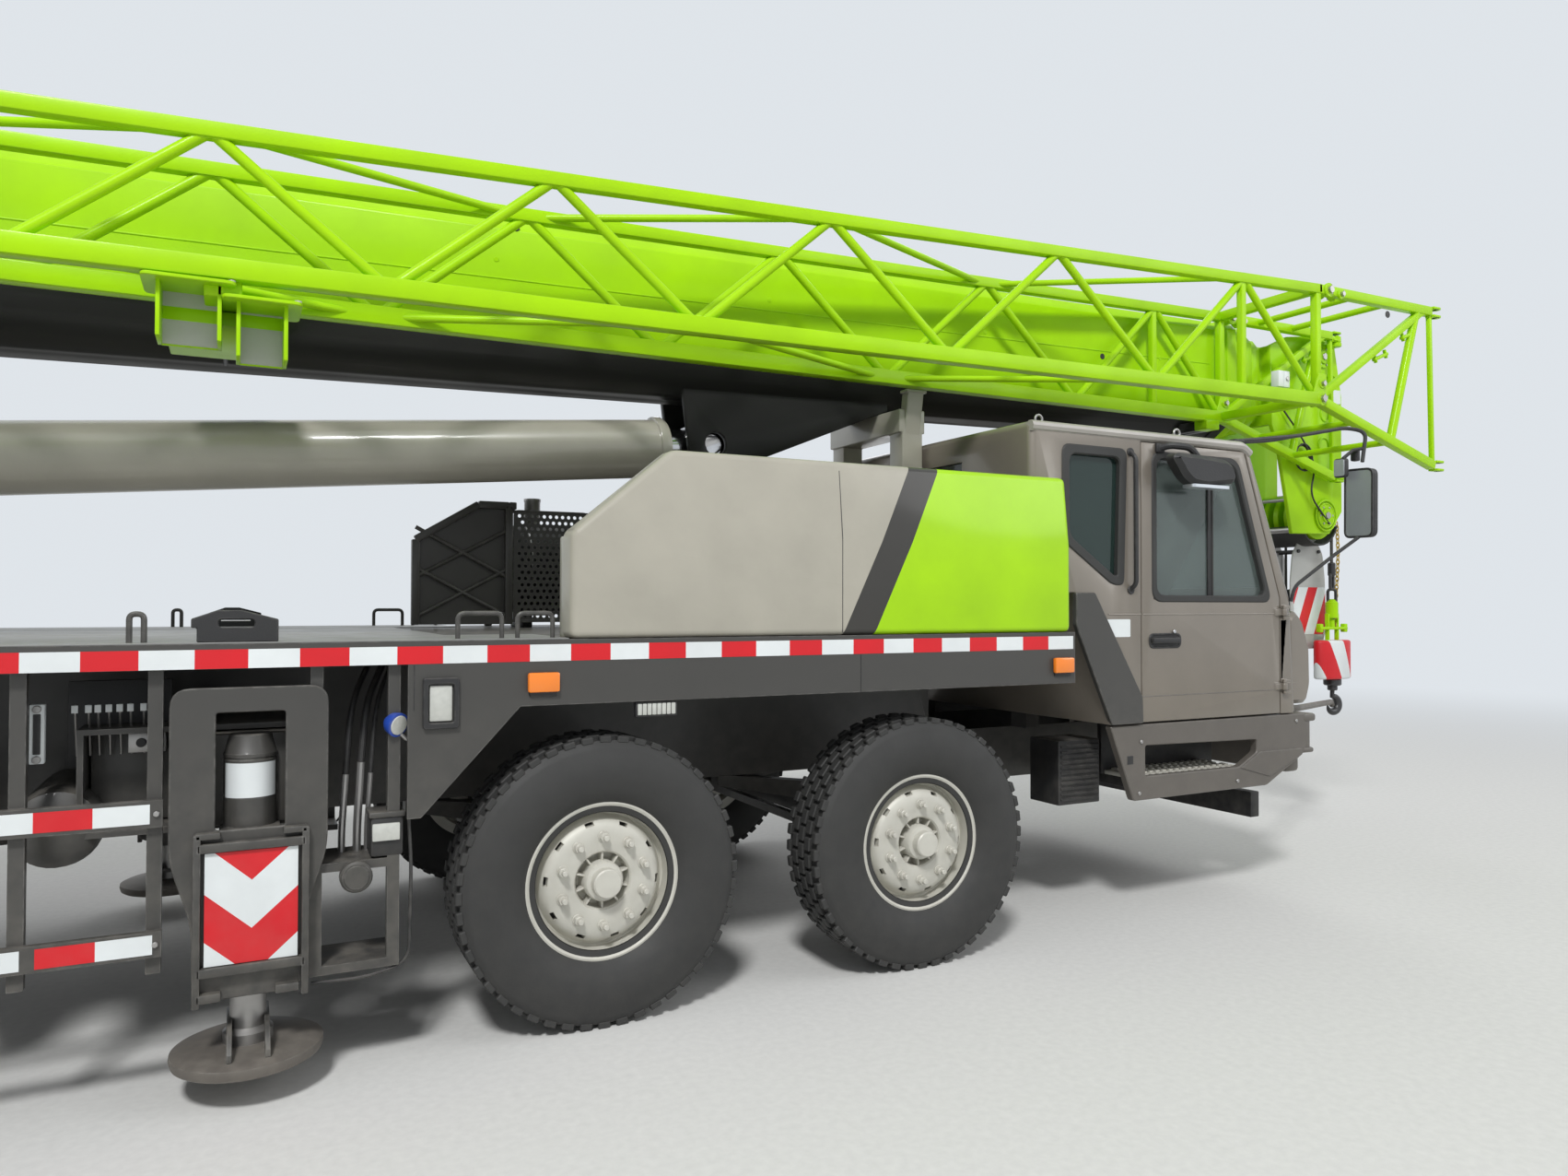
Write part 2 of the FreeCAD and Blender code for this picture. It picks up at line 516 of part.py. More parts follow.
CAB_SIDE = [
    ("cab_rear", "belt_z + 20"), ("cab_rear", "cab_roof"), ("cab_front_top", "cab_roof"),
    ("cab_front_belt", "belt_z"), ("cab_nose", "cab_floor"), ("cab_rear + 500", "cab_floor"),
    ("cab_rear + 270", "belt_z + 20"),
]
CAB_HOLLOW = [
    ("cab_rear + cab_wall", "belt_z + 20 + cab_wall"), ("cab_rear + cab_wall", "cab_roof - cab_wall"),
    ("cab_front_top - cab_wall + 20", "cab_roof - cab_wall"), ("cab_front_belt - cab_wall", "belt_z"),
    ("cab_nose - cab_wall", "cab_floor + cab_wall"), ("cab_rear + 500 + cab_wall", "cab_floor + cab_wall"),
    ("cab_rear + 270 + cab_wall", "belt_z + 20 + cab_wall"),
]


def door_points(grow):
    """The door's outline, or its opening when grown by the gap."""
    return [
        ("door_rear - %s" % grow, "cab_floor - 1" if grow != "0" else "cab_floor + 2"),
        ("door_front + %s" % grow, "cab_floor - 1" if grow != "0" else "cab_floor + 2"),
        ("door_front + %s" % grow, "belt_z"),
        ("cab_front_top - 40 + %s" % grow, "door_top + %s" % grow),
        ("door_rear - %s" % grow, "door_top + %s" % grow),
    ]


WINDOW = [("door_rear + 85", "sill_z"), ("door_front - 85", "sill_z"), ("cab_front_top - 100", "window_top"),
          ("door_rear + 85", "window_top")]
QUARTER = [("cab_rear + 204", "belt_z + 280"), ("cab_rear + 204", "window_top"), ("door_rear - 115", "window_top"),
           ("door_rear - 137", "belt_z + 72"), ("door_rear - 200", "belt_z + 72")]


def shrunk(points, amount):
    """Corner expressions moved towards the outline's middle."""
    middle_x = sum(number_of(a) for a, _ in points) / len(points)
    middle_z = sum(number_of(b) for _, b in points) / len(points)
    moved = []
    for a, b in points:
        move_x = "+" if number_of(a) < middle_x else "-"
        move_z = "+" if number_of(b) < middle_z else "-"
        moved.append(("%s %s %s" % (a, move_x, amount), "%s %s %s" % (b, move_z, amount)))
    return moved


HINGE_HEIGHTS = ("1130", "1540")
SKIN = ("cab_half - cab_wall", "cab_half")
WIDE = ("cab_half - cab_wall - 5", "cab_half + 5")
shell = plate("xz", CAB_SIDE, ("-cab_half", "cab_half"))
hollow = plate("xz", CAB_HOLLOW, ("-cab_half + cab_wall", "cab_half - cab_wall"))
door_holes = both(plate("xz", door_points("door_gap"), WIDE))
quarter_holes = both(plate("xz", QUARTER, WIDE))
screen_hole = plate("xz", [
    ("cab_front_belt - 20 - 120", "belt_z + 60"), ("cab_front_belt + 60", "belt_z + 60"),
    ("cab_front_top + 120", "cab_roof - 90"), ("cab_front_top - 60", "cab_roof - 90"),
], ("-cab_half + 110", "cab_half - 110"))
hinge_pins = []
hinge_barrels = []
for z in HINGE_HEIGHTS:
    hinge_pins += both(rod("z", "hinge_pin", (z + " - 20", z + " + 60"), ("hinge_x", "hinge_y")))
    for low in (z + " - 20", z + " + 40 + seat_gap"):
        hinge_pins += both(block(("hinge_x", "hinge_x + 42"), ("cab_half", "hinge_y + hinge_pin"),
                                 (low, low + " + 20 - seat_gap")))
rear_hole = block(("cab_rear - 5", "cab_rear + cab_wall + 5"), ("-700", "700"), ("belt_z + 340", "window_top - 30"))
keep("cab_shell", fuse(cut(shell, hollow, *door_holes, *quarter_holes, screen_hole, rear_hole), *hinge_pins))

quarters = both(plate("xz", shrunk(QUARTER, "0.3"), ("cab_half - 30", "cab_half - 30 + glass_thick")))
screen = plate("xz", [
    ("cab_front_belt - 25 - 10", "belt_z + 60.3"), ("cab_front_belt - 25", "belt_z + 60.3"),
    ("cab_front_top + 5", "cab_roof - 90.3"), ("cab_front_top - 5", "cab_roof - 90.3"),
], ("-cab_half + 110.3", "cab_half - 110.3"))
rear_pane = block(("cab_rear + 20", "cab_rear + 20 + glass_thick"), ("-699.7", "699.7"),
                  ("belt_z + 340.3", "window_top - 30.3"))
keep("cab_glass", fuse(*quarters, screen, rear_pane))

for mark, side in (("r", -1), ("l", 1)):
    panel = cut(plate("xz", door_points("0"), SKIN), plate("xz", WINDOW, WIDE))
    for z in HINGE_HEIGHTS:
        panel = fuse(panel, cut(fuse(
            rod("z", "hinge_pin * 2", (z, z + " + 40"), ("hinge_x", "hinge_y")),
            block(("hinge_x - 60", "hinge_x"), ("cab_half", "cab_half + 8"), (z, z + " + 40")),
        ), rod("z", "hinge_pin + running_gap", (z + " - 1", z + " + 41"), ("hinge_x", "hinge_y"))))
    pane = plate("xz", shrunk(WINDOW, "0.3"), ("cab_half - 30", "cab_half - 30 + glass_thick"))
    keep("cab_door_" + mark, panel if side > 0 else mirrored(panel))
    keep("door_glass_" + mark, pane if side > 0 else mirrored(pane))

seats = []
for y in ("-620", "620"):
    seats.append(block(("3700", "4180"), (y + " - 240", y + " + 240"), ("1350", "1450")))
    seats.append(block(("3640", "3740"), (y + " - 240", y + " + 240"), ("1450", "2050")))
    seats.append(block(("3760", "4120"), (y + " - 180", y + " + 180"), ("cab_floor + cab_wall", "1350")))
dash = plate("xz", [("4450", "1300"), ("4640", "1300"), ("4640", "1640"), ("4500", "1640"), ("4400", "1540")],
             ("-cab_half + 120", "cab_half - 120"))
dash_foot = block(("4500", "4600"), ("-400", "400"), ("cab_floor + cab_wall", "1300"))
column = block(("4380", "4460"), ("590", "650"), ("1500", "1620"))
rim_wheel = rod("x", "210", ("4350", "4380"), ("620", "1640"))
keep("cab_interior", fuse(*seats, dash, dash_foot, column, rim_wheel))

# Bumper, side skirts and steps below the cab

skirts = both(cut(plate("xz", [
    ("cab_rear + 500", "cab_floor - 6"), ("3590", "606"), ("3680", "606"), ("4550", "640"), ("4880", "780"),
    ("4906", "cab_floor - 6"),
], ("cab_half - 45", "cab_half")), block(("3690", "4500"), ("0", "2000"), ("725", "880"))))
nose = block(("4840", "4906"), ("-cab_half + 45", "cab_half - 45"), ("640", "cab_floor - 6"))
treads = both(block(("3690", "4500"), ("cab_half - 300", "cab_half - 45"), ("700", "725")))
stays = both(block(("4700", "4840"), ("web_out - 60", "web_out"), ("frame_low - 100", "frame_low + 100")))
links = both(block(("3720", "3780"), ("web_out", "cab_half - 45"), ("frame_low - 100", "725 - 25")))
tow_lug = cut(block(("4900", "tow_x + 40"), ("-60", "60"), ("tow_z - 20", "tow_z + 20")),
              rod("z", "tow_bore", ("tow_z - 30", "tow_z + 30"), ("tow_x", "0")))
keep("front_bumper", fuse(*skirts, nose, *treads, *stays, *links, tow_lug))

# Door mirrors on tube arms at the front corners

arms = both(fuse(
    block(("cab_front_top - 60", "5270"), ("cab_half - 60", "cab_half - 30"), ("cab_roof", "cab_roof + 27")),
    block(("5235", "5270"), ("cab_half - 60", "cab_half + 110"), ("cab_roof + 1", "cab_roof + 27")),
    block(("5240", "5265"), ("cab_half + 85", "cab_half + 110"), ("2020", "cab_roof + 27")),
    block(("5225", "5290"), ("cab_half + 15", "cab_half + 195"), ("2020", "2420")),
))
keep("cab_mirrors", fuse(*arms))

# Turntable: floor plate, two tall cheeks, winches between them

floor = block(("pivot_x - 1000", "slew_x + 1250"), ("-700", "700"),
              ("ring_top + seat_gap", "platform_top"))
cheek = plate("xz", [
    ("pivot_x - 1050", "ring_top + seat_gap"), ("slew_x + 1250", "ring_top + seat_gap"), ("foot_x + 260", "foot_z - 60"),
    ("foot_x + 180", "foot_z + 160"), ("foot_x - 200", "foot_z + 180"), ("pivot_x + 800", "foot_z + 240"),
    ("pivot_x + 220", "pivot_z + 150"), ("pivot_x - 220", "pivot_z + 150"), ("pivot_x - 420", "pivot_z - 250"),
    ("pivot_x - 1050", "pivot_z - 400"),
], ("cheek_in", "cheek_in + cheek_thick"))
boom_pin = rod("y", "pin_radius", ("-cheek_in - 10", "cheek_in + 10"), ("pivot_x", "pivot_z"))
foot_pin = rod("y", "pin_radius", ("-cheek_in - 10", "cheek_in + 10"), ("foot_x", "foot_z"))
tank = block(("slew_x - 1300", "slew_x"), ("-1150", "-cheek_in - cheek_thick"), ("ring_top + 40", "2250"))
walk = block(("op_rear", "op_front"), ("cheek_in + cheek_thick", "op_in + 200"), ("ring_top + 40", "op_low - 20"))
bearers = [block((x, x + " + 100"), ("cheek_in + cheek_thick", "op_out - 100"), ("ring_top + 40", "op_low"))
           for x in ("op_rear + 150", "op_front - 250")]
keep("turntable_frame", fuse(floor, *both(cheek), boom_pin, foot_pin, tank, walk, *bearers))

drums = []
for x, z in (("pivot_x - 640", "2140"), ("pivot_x + 500", "1850")):
    drums.append(rod("y", "drum_winch", ("-cheek_in", "cheek_in"), (x, z)))
    drums += [rod("y", "drum_winch + 70", span, (x, z)) for span in (("-cheek_in + 20", "-cheek_in + 40"),
                                                                     ("cheek_in - 40", "cheek_in - 20"))]
keep("winches", fuse(*drums))

weight = plate("xy", [
    ("slew_x - tail_radius + 250", "-weight_half"), ("pivot_x - 450", "-weight_half"),
    ("pivot_x - 450", "weight_half"), ("slew_x - tail_radius + 250", "weight_half"),
    ("slew_x - tail_radius", "weight_half - 500"), ("slew_x - tail_radius", "-weight_half + 500"),
], ("platform_top + seat_gap", "weight_top"))
slot = block(("slew_x - tail_radius - 10", "pivot_x"), ("-cheek_in - cheek_thick - 0.3", "cheek_in + cheek_thick + 0.3"),
             ("platform_top - 10", "weight_top + 10"))
keep("counterweight", cut(weight, slot))

# Crane operator's cab, left of the boom

OP_SIDE = [("op_rear", "op_low"), ("op_front - 60", "op_low"), ("op_front", "op_low + 500"),
           ("op_front - 260", "op_top"), ("op_rear", "op_top")]
OP_HOLLOW = [("op_rear + op_wall", "op_low + op_wall"), ("op_front - 60 - op_wall", "op_low + op_wall"),
             ("op_front - op_wall", "op_low + 500"), ("op_front - 260 - op_wall", "op_top - op_wall"),
             ("op_rear + op_wall", "op_top - op_wall")]
op_shell = plate("xz", OP_SIDE, ("op_in", "op_out"))
op_hollow = plate("xz", OP_HOLLOW, ("op_in + op_wall", "op_out - op_wall"))
OP_DOOR = ("op_rear + 500", "op_front - 320", "op_low + 50", "op_top - 60")
OP_WINDOW = ("op_rear + 200", "op_front - 420", "op_low + 760", "op_top - 120")
op_door_hole = block((OP_DOOR[0] + " + 30", OP_DOOR[1] + " - 30"), ("op_out - op_wall - 5", "op_out + 5"),
                     (OP_DOOR[2] + " + 30", OP_DOOR[3] + " - 30"))
op_screen = plate("xz", [
    ("op_front - 300", "op_low + 560"), ("op_front + 50", "op_low + 560"),
    ("op_front + 50", "op_top - 90"), ("op_front - 300", "op_top - 90"),
], ("op_in + 60", "op_out - 60"))
op_window = block((OP_WINDOW[0], OP_WINDOW[1]), ("op_in - 5", "op_in + op_wall + 5"), (OP_WINDOW[2], OP_WINDOW[3]))
op_rails = [block(("op_rear", OP_DOOR[1] + " + 20"), ("op_out", "op_out + door_gap + 40"), span)
            for span in ((OP_DOOR[2] + " - 20", OP_DOOR[2] + " - seat_gap"),
                         (OP_DOOR[3] + " + seat_gap", OP_DOOR[3] + " + 20"))]
op_seat = [block(("op_rear + 250", "op_rear + 700"), ("op_in + 140", "op_out - 140"), ("op_low + 400", "op_low + 500")),
           block(("op_rear + 170", "op_rear + 260"), ("op_in + 140", "op_out - 140"), ("op_low + 500", "op_low + 1100")),
           block(("op_rear + 330", "op_rear + 600"), ("op_in + 240", "op_out - 240"), ("op_low + 20", "op_low + 400"))]
keep("op_cab_shell", fuse(cut(op_shell, op_hollow, op_door_hole, op_screen, op_window), *op_rails, *op_seat))
op_panel = cut(block((OP_DOOR[0], OP_DOOR[1]), ("op_out + door_gap", "op_out + door_gap + 34"), (OP_DOOR[2], OP_DOOR[3])),
               block((OP_DOOR[0] + " + 80", OP_DOOR[1] + " - 80"), ("op_out", "op_out + 60"),
                     ("op_low + 700", OP_DOOR[3] + " - 80")))
keep("op_cab_door", op_panel)
op_pane_front = plate("xz", [
    ("op_front - 32 - 18", "op_low + 560 + seat_gap"), ("op_front - 26 - 18", "op_low + 560 + seat_gap"),
    ("op_front - 220 - 24", "op_top - 90 - seat_gap"), ("op_front - 226 - 24", "op_top - 90 - seat_gap"),
], ("op_in + 60 + seat_gap", "op_out - 60 - seat_gap"))
op_pane_side = block((OP_WINDOW[0] + " + seat_gap", OP_WINDOW[1] + " - seat_gap"), ("op_in + 15", "op_in + 15 + glass_thick"),
                     (OP_WINDOW[2] + " + seat_gap", OP_WINDOW[3] + " - seat_gap"))
keep("op_cab_glass", fuse(op_pane_front, op_pane_side))

# Luffing cylinder from the turntable to the lug under the boom

LUFF_RISE = math.degrees(math.atan2(number_of("eye_z - foot_z"), number_of("eye_x - foot_x")))
LUFF_LONG = math.hypot(number_of("eye_z - foot_z"), number_of("eye_x - foot_x"))
luff_place = FreeCAD.Placement(FreeCAD.Vector(number_of("foot_x"), 0, number_of("foot_z")),
                               FreeCAD.Rotation(FreeCAD.Vector(0, 1, 0), -LUFF_RISE))


def lean(thing, placement):
    thing.Placement = placement
    return thing


barrel = cut(fuse(rod("x", "barrel_radius", ("180", "barrel_long"), ("0", "0")),
                  block(("0", "200"), ("-100", "100"), ("-110", "110")),
                  rod("y", "110", ("-100", "100"), ("0", "0")),
                  rod("x", "barrel_radius + 14", ("barrel_long - 60", "barrel_long - 20"), ("0", "0"))),
             rod("x", "barrel_bore", ("barrel_floor", "barrel_long - gland_long"), ("0", "0")),
             rod("x", "luff_rod_radius + seat_gap", ("barrel_long - gland_long - 1", "barrel_long + 1"), ("0", "0")),
             rod("y", "pin_radius + running_gap", ("-101", "101"), ("0", "0")))
keep("luff_barrel", lean(barrel, luff_place))
piston = "barrel_floor + piston_gap"
luff_rod = cut(fuse(rod("x", "luff_rod_radius", (piston, "%.3f - 90" % LUFF_LONG), ("0", "0")),
                    rod("x", "barrel_bore - seat_gap", (piston, piston + " + 60"), ("0", "0")),
                    block(("%.3f - 130" % LUFF_LONG, "%.3f" % LUFF_LONG), ("-95", "95"), ("-100", "100")),
                    rod("y", "100", ("-95", "95"), ("%.3f" % LUFF_LONG, "0"))),
               rod("y", "pin_radius + running_gap", ("-101", "101"), ("%.3f" % LUFF_LONG, "0")))
keep("luff_rod", lean(luff_rod, luff_place))

# Boom: five nested tubes with many-sided undersides, drawn about the pivot and then leant to rest

boom_place = FreeCAD.Placement(FreeCAD.Vector(number_of("pivot_x"), 0, number_of("pivot_z")),
                               FreeCAD.Rotation(FreeCAD.Vector(0, 1, 0), -number_of("boom_rest_deg")))
BENDS = 4


def tube_points(inset, grow="0"):
    """A section's outline in Y and Z: flat top with bent corners, round-bent underside."""
    half = "(boom_width / 2 - (%s) + %s)" % (inset, grow)
    low = "((%s) - boom_below - %s)" % (inset, grow)
    high = "(boom_height - boom_below - (%s) + %s)" % (inset, grow)
    right = []
    for bend in range(BENDS + 1):
        turn = math.radians(90 * bend / BENDS)
        right.append(("%s * %.4f" % (half, math.sin(turn)), "%s + %s * %.4f" % (low, half, 1 - math.cos(turn))))
    right.append((half, high + " - 70"))
    right.append((half + " * 0.78", high))
    left = [("-(%s)" % a, b) for a, b in reversed(right[1:])]
    return right + left


def tube(inset, wall, span, grow="0"):
    outside = plate("yz", tube_points(inset, grow), span)
    inside = plate("yz", tube_points("%s + %s" % (inset, wall)), (span[0] + " - 1", span[1] + " + 1"))
    return cut(outside, inside)


HEAD = "(boom_long + 5 * nose_step)"
SHEAVE_ALONG = "(%s + 370)" % HEAD
EAR_HEIGHTS = ("-boom_below - 263", "boom_height - boom_below - 89")
SWING = "((swing_x - pivot_x) / cos(boom_rest_deg * 1 deg))"


def bracket_height(along):
    """How high the jib's lower chords pass over the boom's own line, less the gap that lets it swing."""
    x = number_of("pivot_x") + along * math.cos(math.radians(number_of("boom_rest_deg")))
    share = (x - number_of("jib_tip_x")) / number_of("jib_foot_x - jib_tip_x")
    chord_z = number_of("jib_tip_low") + number_of("jib_foot_low - jib_tip_low") * share - number_of("chord / 2 + jib_seat")
    return (chord_z - number_of("pivot_z")) - (x - number_of("pivot_x")) * math.tan(math.radians(number_of("boom_rest_deg")))


def lug_plates(points, inner, outer):
    return both(plate("xz", points, (inner, outer)))


SECTIONS = 5
for index in range(SECTIONS):
    inset = "%d * boom_step / 2" % index
    nose = "boom_long + %d * nose_step" % index
    tail = "-boom_tail" if index == 0 else "200 + %d * tail_step" % index
    pieces = [tube(inset, "boom_wall", (tail, nose)), tube(inset, "boom_wall", (nose + " - 90", nose), "14")]
    label = "boom_base" if index == 0 else "boom_section_%d" % (index + 1)
    if index < SECTIONS - 1:
        outer = "boom_width / 2 - %s - boom_wall" % inset
        inner = "boom_width / 2 - %s - boom_step / 2 + pad_gap" % inset
        roof = "boom_height - boom_below - %s" % inset
        pads = both(block((nose + " - 130", nose + " - 30"), (inner, outer), ("120", "320")))
        pads.append(block((nose + " - 130", nose + " - 30"), ("-100", "100"),
                          (roof + " - boom_step / 2 + pad_gap", roof + " - boom_wall")))
    if index == 0:
        lug_x = "(eye_x - pivot_x)"
        drop = "(eye_z - pivot_z)"
        pieces += lug_plates([
            (lug_x + " - 190", "-boom_below + 60"), (lug_x + " - 150", drop + " - 260"),
            (lug_x + " + 60", drop + " - 280"), (lug_x + " + 1050", "-boom_below + 20"),
            (lug_x + " + 1050", "-boom_below + 60"),
        ], "130", "170")
        pieces += both(rod("y", "pin_radius + 50", ("boom_width / 2 - boom_wall", "cheek_in - seat_gap"), ("0", "0")))
        for x, reach in (("jib_bracket_x - pivot_x", "jib_near_y"), ("boom_long - 350", "jib_near_y - jib_foot_wide + 60")):
            seat = "%.3f" % bracket_height(number_of(x))
            pieces.append(block((x + " - 60", x + " + 60"), ("-(%s)" % reach, "-100"), (seat + " - 60", seat)))
            pieces.append(plate("yz", [("-100", seat + " - 60"), ("-(%s) + 40" % reach, seat + " - 60"),
                                       ("-100", "-boom_below + 10")], (x + " - 8", x + " + 8")))
        inside = plate("yz", tube_points("boom_wall"), (tail + " - 1", nose + " + 1"))
        joined = fuse(cut(fuse(*pieces), inside), *pads)
        lean_back = math.radians(number_of("boom_rest_deg"))
        eye_far = number_of("eye_x - pivot_x")
        eye_down = number_of("eye_z - pivot_z")
        eye_along = eye_far * math.cos(lean_back) + eye_down * math.sin(lean_back)
        eye_drop = eye_down * math.cos(lean_back) - eye_far * math.sin(lean_back)
        joined = cut(joined, rod("y", "pin_radius + running_gap", ("-400", "400"), ("0", "0")),
                     rod("y", "pin_radius", ("-200", "200"), ("%.3f" % eye_along, "%.3f" % eye_drop)))
    elif index < SECTIONS - 1:
        joined = fuse(*pieces, *pads)
    else:
        cheeks = both(plate("xz", [
            (nose + " - 60", "-boom_below + 112"), (HEAD + " - 100", "-boom_below - 60"),
            (HEAD + " + 20", "-boom_below - head_drop - 130"), (HEAD + " + 420", "-boom_below - head_drop - 130"),
            (HEAD + " + 560", "-boom_below - head_drop + 30"), (HEAD + " + 580", "60"),
            (HEAD + " + 500", "boom_height - boom_below + 20"), (HEAD, "boom_height - boom_below - 40"),
            (nose + " - 60", "boom_height - boom_below - 112"),
        ], ("head_half - 30", "head_half")))
        sheaves = []
        for height in ("-boom_below - head_drop", "boom_height - boom_below - 150"):
            sheaves.append(rod("y", "40", ("-head_half + 30", "head_half - 30"), (SHEAVE_ALONG, height)))
            for y in ("-205", "-90", "-3", "84", "171"):
                sheaves.append(rod("y", "sheave_radius", (y + " - 22", y + " + 22"), (SHEAVE_ALONG, height)))
        back = block((nose + " - 60", nose), ("-head_half + 30", "head_half - 30"),
                     ("-boom_below + 112", "boom_height - boom_below - 112"))
        ears = []
        for height in EAR_HEIGHTS:
            ears.append(block((SWING + " - 30", SWING + " + 30"), ("-swing_y", "-head_half"),
                              (height, height + " + 30")))
            ears.append(rod("z", "34", (height, height + " + 30"), (SWING, "-swing_y")))
            ears.append(rod("z", "swing_pin", (height, height + " + 80"), (SWING, "-swing_y")))
        joined = fuse(*pieces, *cheeks, *sheaves, back, *ears)
    keep(label, lean(joined, boom_place))

# Jib: four square chords with angled braces, narrowing to its tip, its foot hooked on the boom head

near_y = -number_of("jib_near_y")
foot_x = number_of("jib_foot_x")
tip_x = number_of("jib_tip_x")
chord = number_of("chord")
brace = number_of("brace_radius")
foot_wide = number_of("jib_foot_wide")


def chord_point(x, far, high):
    """A point on one of the jib's four chords."""
    share = (x - tip_x) / (foot_x - tip_x)
    wide = number_of("jib_tip_wide") + (foot_wide - number_of("jib_tip_wide")) * share
    level = "high" if high else "low"
    tip_z = number_of("jib_tip_" + level)
    return FreeCAD.Vector(x, near_y + (wide if far else 0), tip_z + (number_of("jib_foot_" + level) - tip_z) * share)


def bar(start, end, size, sides=4):
    """A straight bar between two points: square, or round with a few flats."""
    run = end - start
    level = FreeCAD.Vector(0, 1, 0) if abs(run.y) < 0.9 * run.Length else FreeCAD.Vector(0, 0, 1)
    across = level.cross(run).normalize()
    up = run.cross(across).normalize()
    reach = size / math.sqrt(2) if sides == 4 else size
    corners = []
    for corner in range(sides):
        angle = 2 * math.pi * (corner + 0.5) / sides
        corners.append(start + across * (reach * math.cos(angle)) + up * (reach * math.sin(angle)))
    return Part.Face(Part.makePolygon(corners + [corners[0]])).extrude(run)


low_nodes = []
place_x = number_of("jib_node_x")
pitch = number_of("jib_pitch")
while place_x > tip_x + 200:
    low_nodes.append(place_x)
    place_x -= pitch
    pitch *= number_of("jib_ratio")
high_nodes = [(a + b) / 2 for a, b in zip(low_nodes, low_nodes[1:])]
first_high = low_nodes[0] + number_of("jib_pitch") / 2

bars = []
for far in (False, True):
    for high in (False, True):
        bars.append(bar(chord_point(tip_x, far, high), chord_point(foot_x, far, high), chord))
    zigzag = [(foot_x - 30, False), (first_high, True)]
    for index, x in enumerate(low_nodes):
        zigzag.append((x, False))
        if index < len(high_nodes):
            zigzag.append((high_nodes[index], True))
    for (xa, high_a), (xb, high_b) in zip(zigzag, zigzag[1:]):
        bars.append(bar(chord_point(xa, far, high_a), chord_point(xb, far, high_b), brace, 8))
for high in (False, True):
    spots = [first_high] + high_nodes if high else low_nodes
    swap = False
    for xa, xb in zip(spots, spots[1:]):
        bars.append(bar(chord_point(xa - 50, swap, high), chord_point(xb + 50, not swap, high), brace * 0.8, 6))
        swap = not swap
for x in (tip_x + chord / 2, foot_x - chord / 2):
    for high in (False, True):
        bars.append(bar(chord_point(x, False, high), chord_point(x, True, high), chord))
    for far in (False, True):
        bars.append(bar(chord_point(x, far, False), chord_point(x, far, True), chord * 0.8))


def leant(along, across, height):
    """A point given about the boom's pivot, moved to where the boom rests."""
    return boom_place.multVec(FreeCAD.Vector(along, across, height))


# The open foot frame reaches past the boom head, so that it can straddle the head when the jib is swung out
swing_along = number_of(SWING)
post_along = swing_along - number_of("post_back")
ear_heights = [number_of(height) for height in EAR_HEIGHTS]
for far in (False, True):
    y = near_y + (foot_wide if far else 0)
    low = chord_point(foot_x - chord / 2, far, False)
    high = chord_point(foot_x - chord / 2, far, True)
    post_low = leant(post_along, y, ear_heights[0] + 20)
    post_high = leant(post_along, y, ear_heights[1] + 72)
    bars.append(bar(high, post_high, chord))
    bars.append(bar(low, post_high + (high - post_high) * 0.06, chord * 0.8))
    bars.append(bar(low, post_low, chord))
    bars.append(bar(post_low, post_high, chord * 0.5))
    bars.append(bar(low + (post_low - low) * 0.62, post_high + (high - post_high) * 0.12, brace, 8))
for share in (0.32, 0.62):
    low = chord_point(foot_x - chord / 2, False, False)
    high = chord_point(foot_x - chord / 2, False, True)
    for end, root in ((leant(post_along, near_y, ear_heights[0] + 20), low),
                      (leant(post_along, near_y, ear_heights[1] + 72), high)):
        start = root + (end - root) * share
        bars.append(bar(start, start + FreeCAD.Vector(0, foot_wide, 0), brace, 8))
swing_y = -number_of("swing_y")
for height in ear_heights:
    eye = Part.makeCylinder(32, 40, FreeCAD.Vector(swing_along, swing_y, height + 32))
    arm = Part.makeBox(number_of("post_back"), 40, 40, FreeCAD.Vector(post_along, swing_y - 20, height + 32))
    bore = Part.makeCylinder(number_of("swing_pin + running_gap"), 60, FreeCAD.Vector(swing_along, swing_y, height + 20))
    ring = eye.fuse(arm).cut(bore)
    ring.Placement = boom_place
    bars.append(ring)
keep("jib", computed(bars[0].multiFuse(bars[1:])))

# Hook blocks hanging from the boom head on their ropes

sheave = leant(number_of(SHEAVE_ALONG), 0, number_of("-boom_below - head_drop"))
rope_x = "%.3f" % (sheave.x + number_of("sheave_radius + 11 + seat_gap"))
rope_top = "%.3f" % sheave.z


def hook_bend(y, z):
    """The hook below a block: a shank and an open bend."""
    bend = rod("y", "75", (y + " - 22", y + " + 22"), (rope_x, z))
    throat = rod("y", "38", (y + " - 30", y + " + 30"), (rope_x, z))
    mouth = block((rope_x + " - 90", rope_x + " - 10"), (y + " - 30", y + " + 30"), (z + " - 10", z + " + 60"))
    return [cut(bend, throat, mouth), rod("z", "26", (z + " + 50", z + " + 250"), (rope_x, y))]


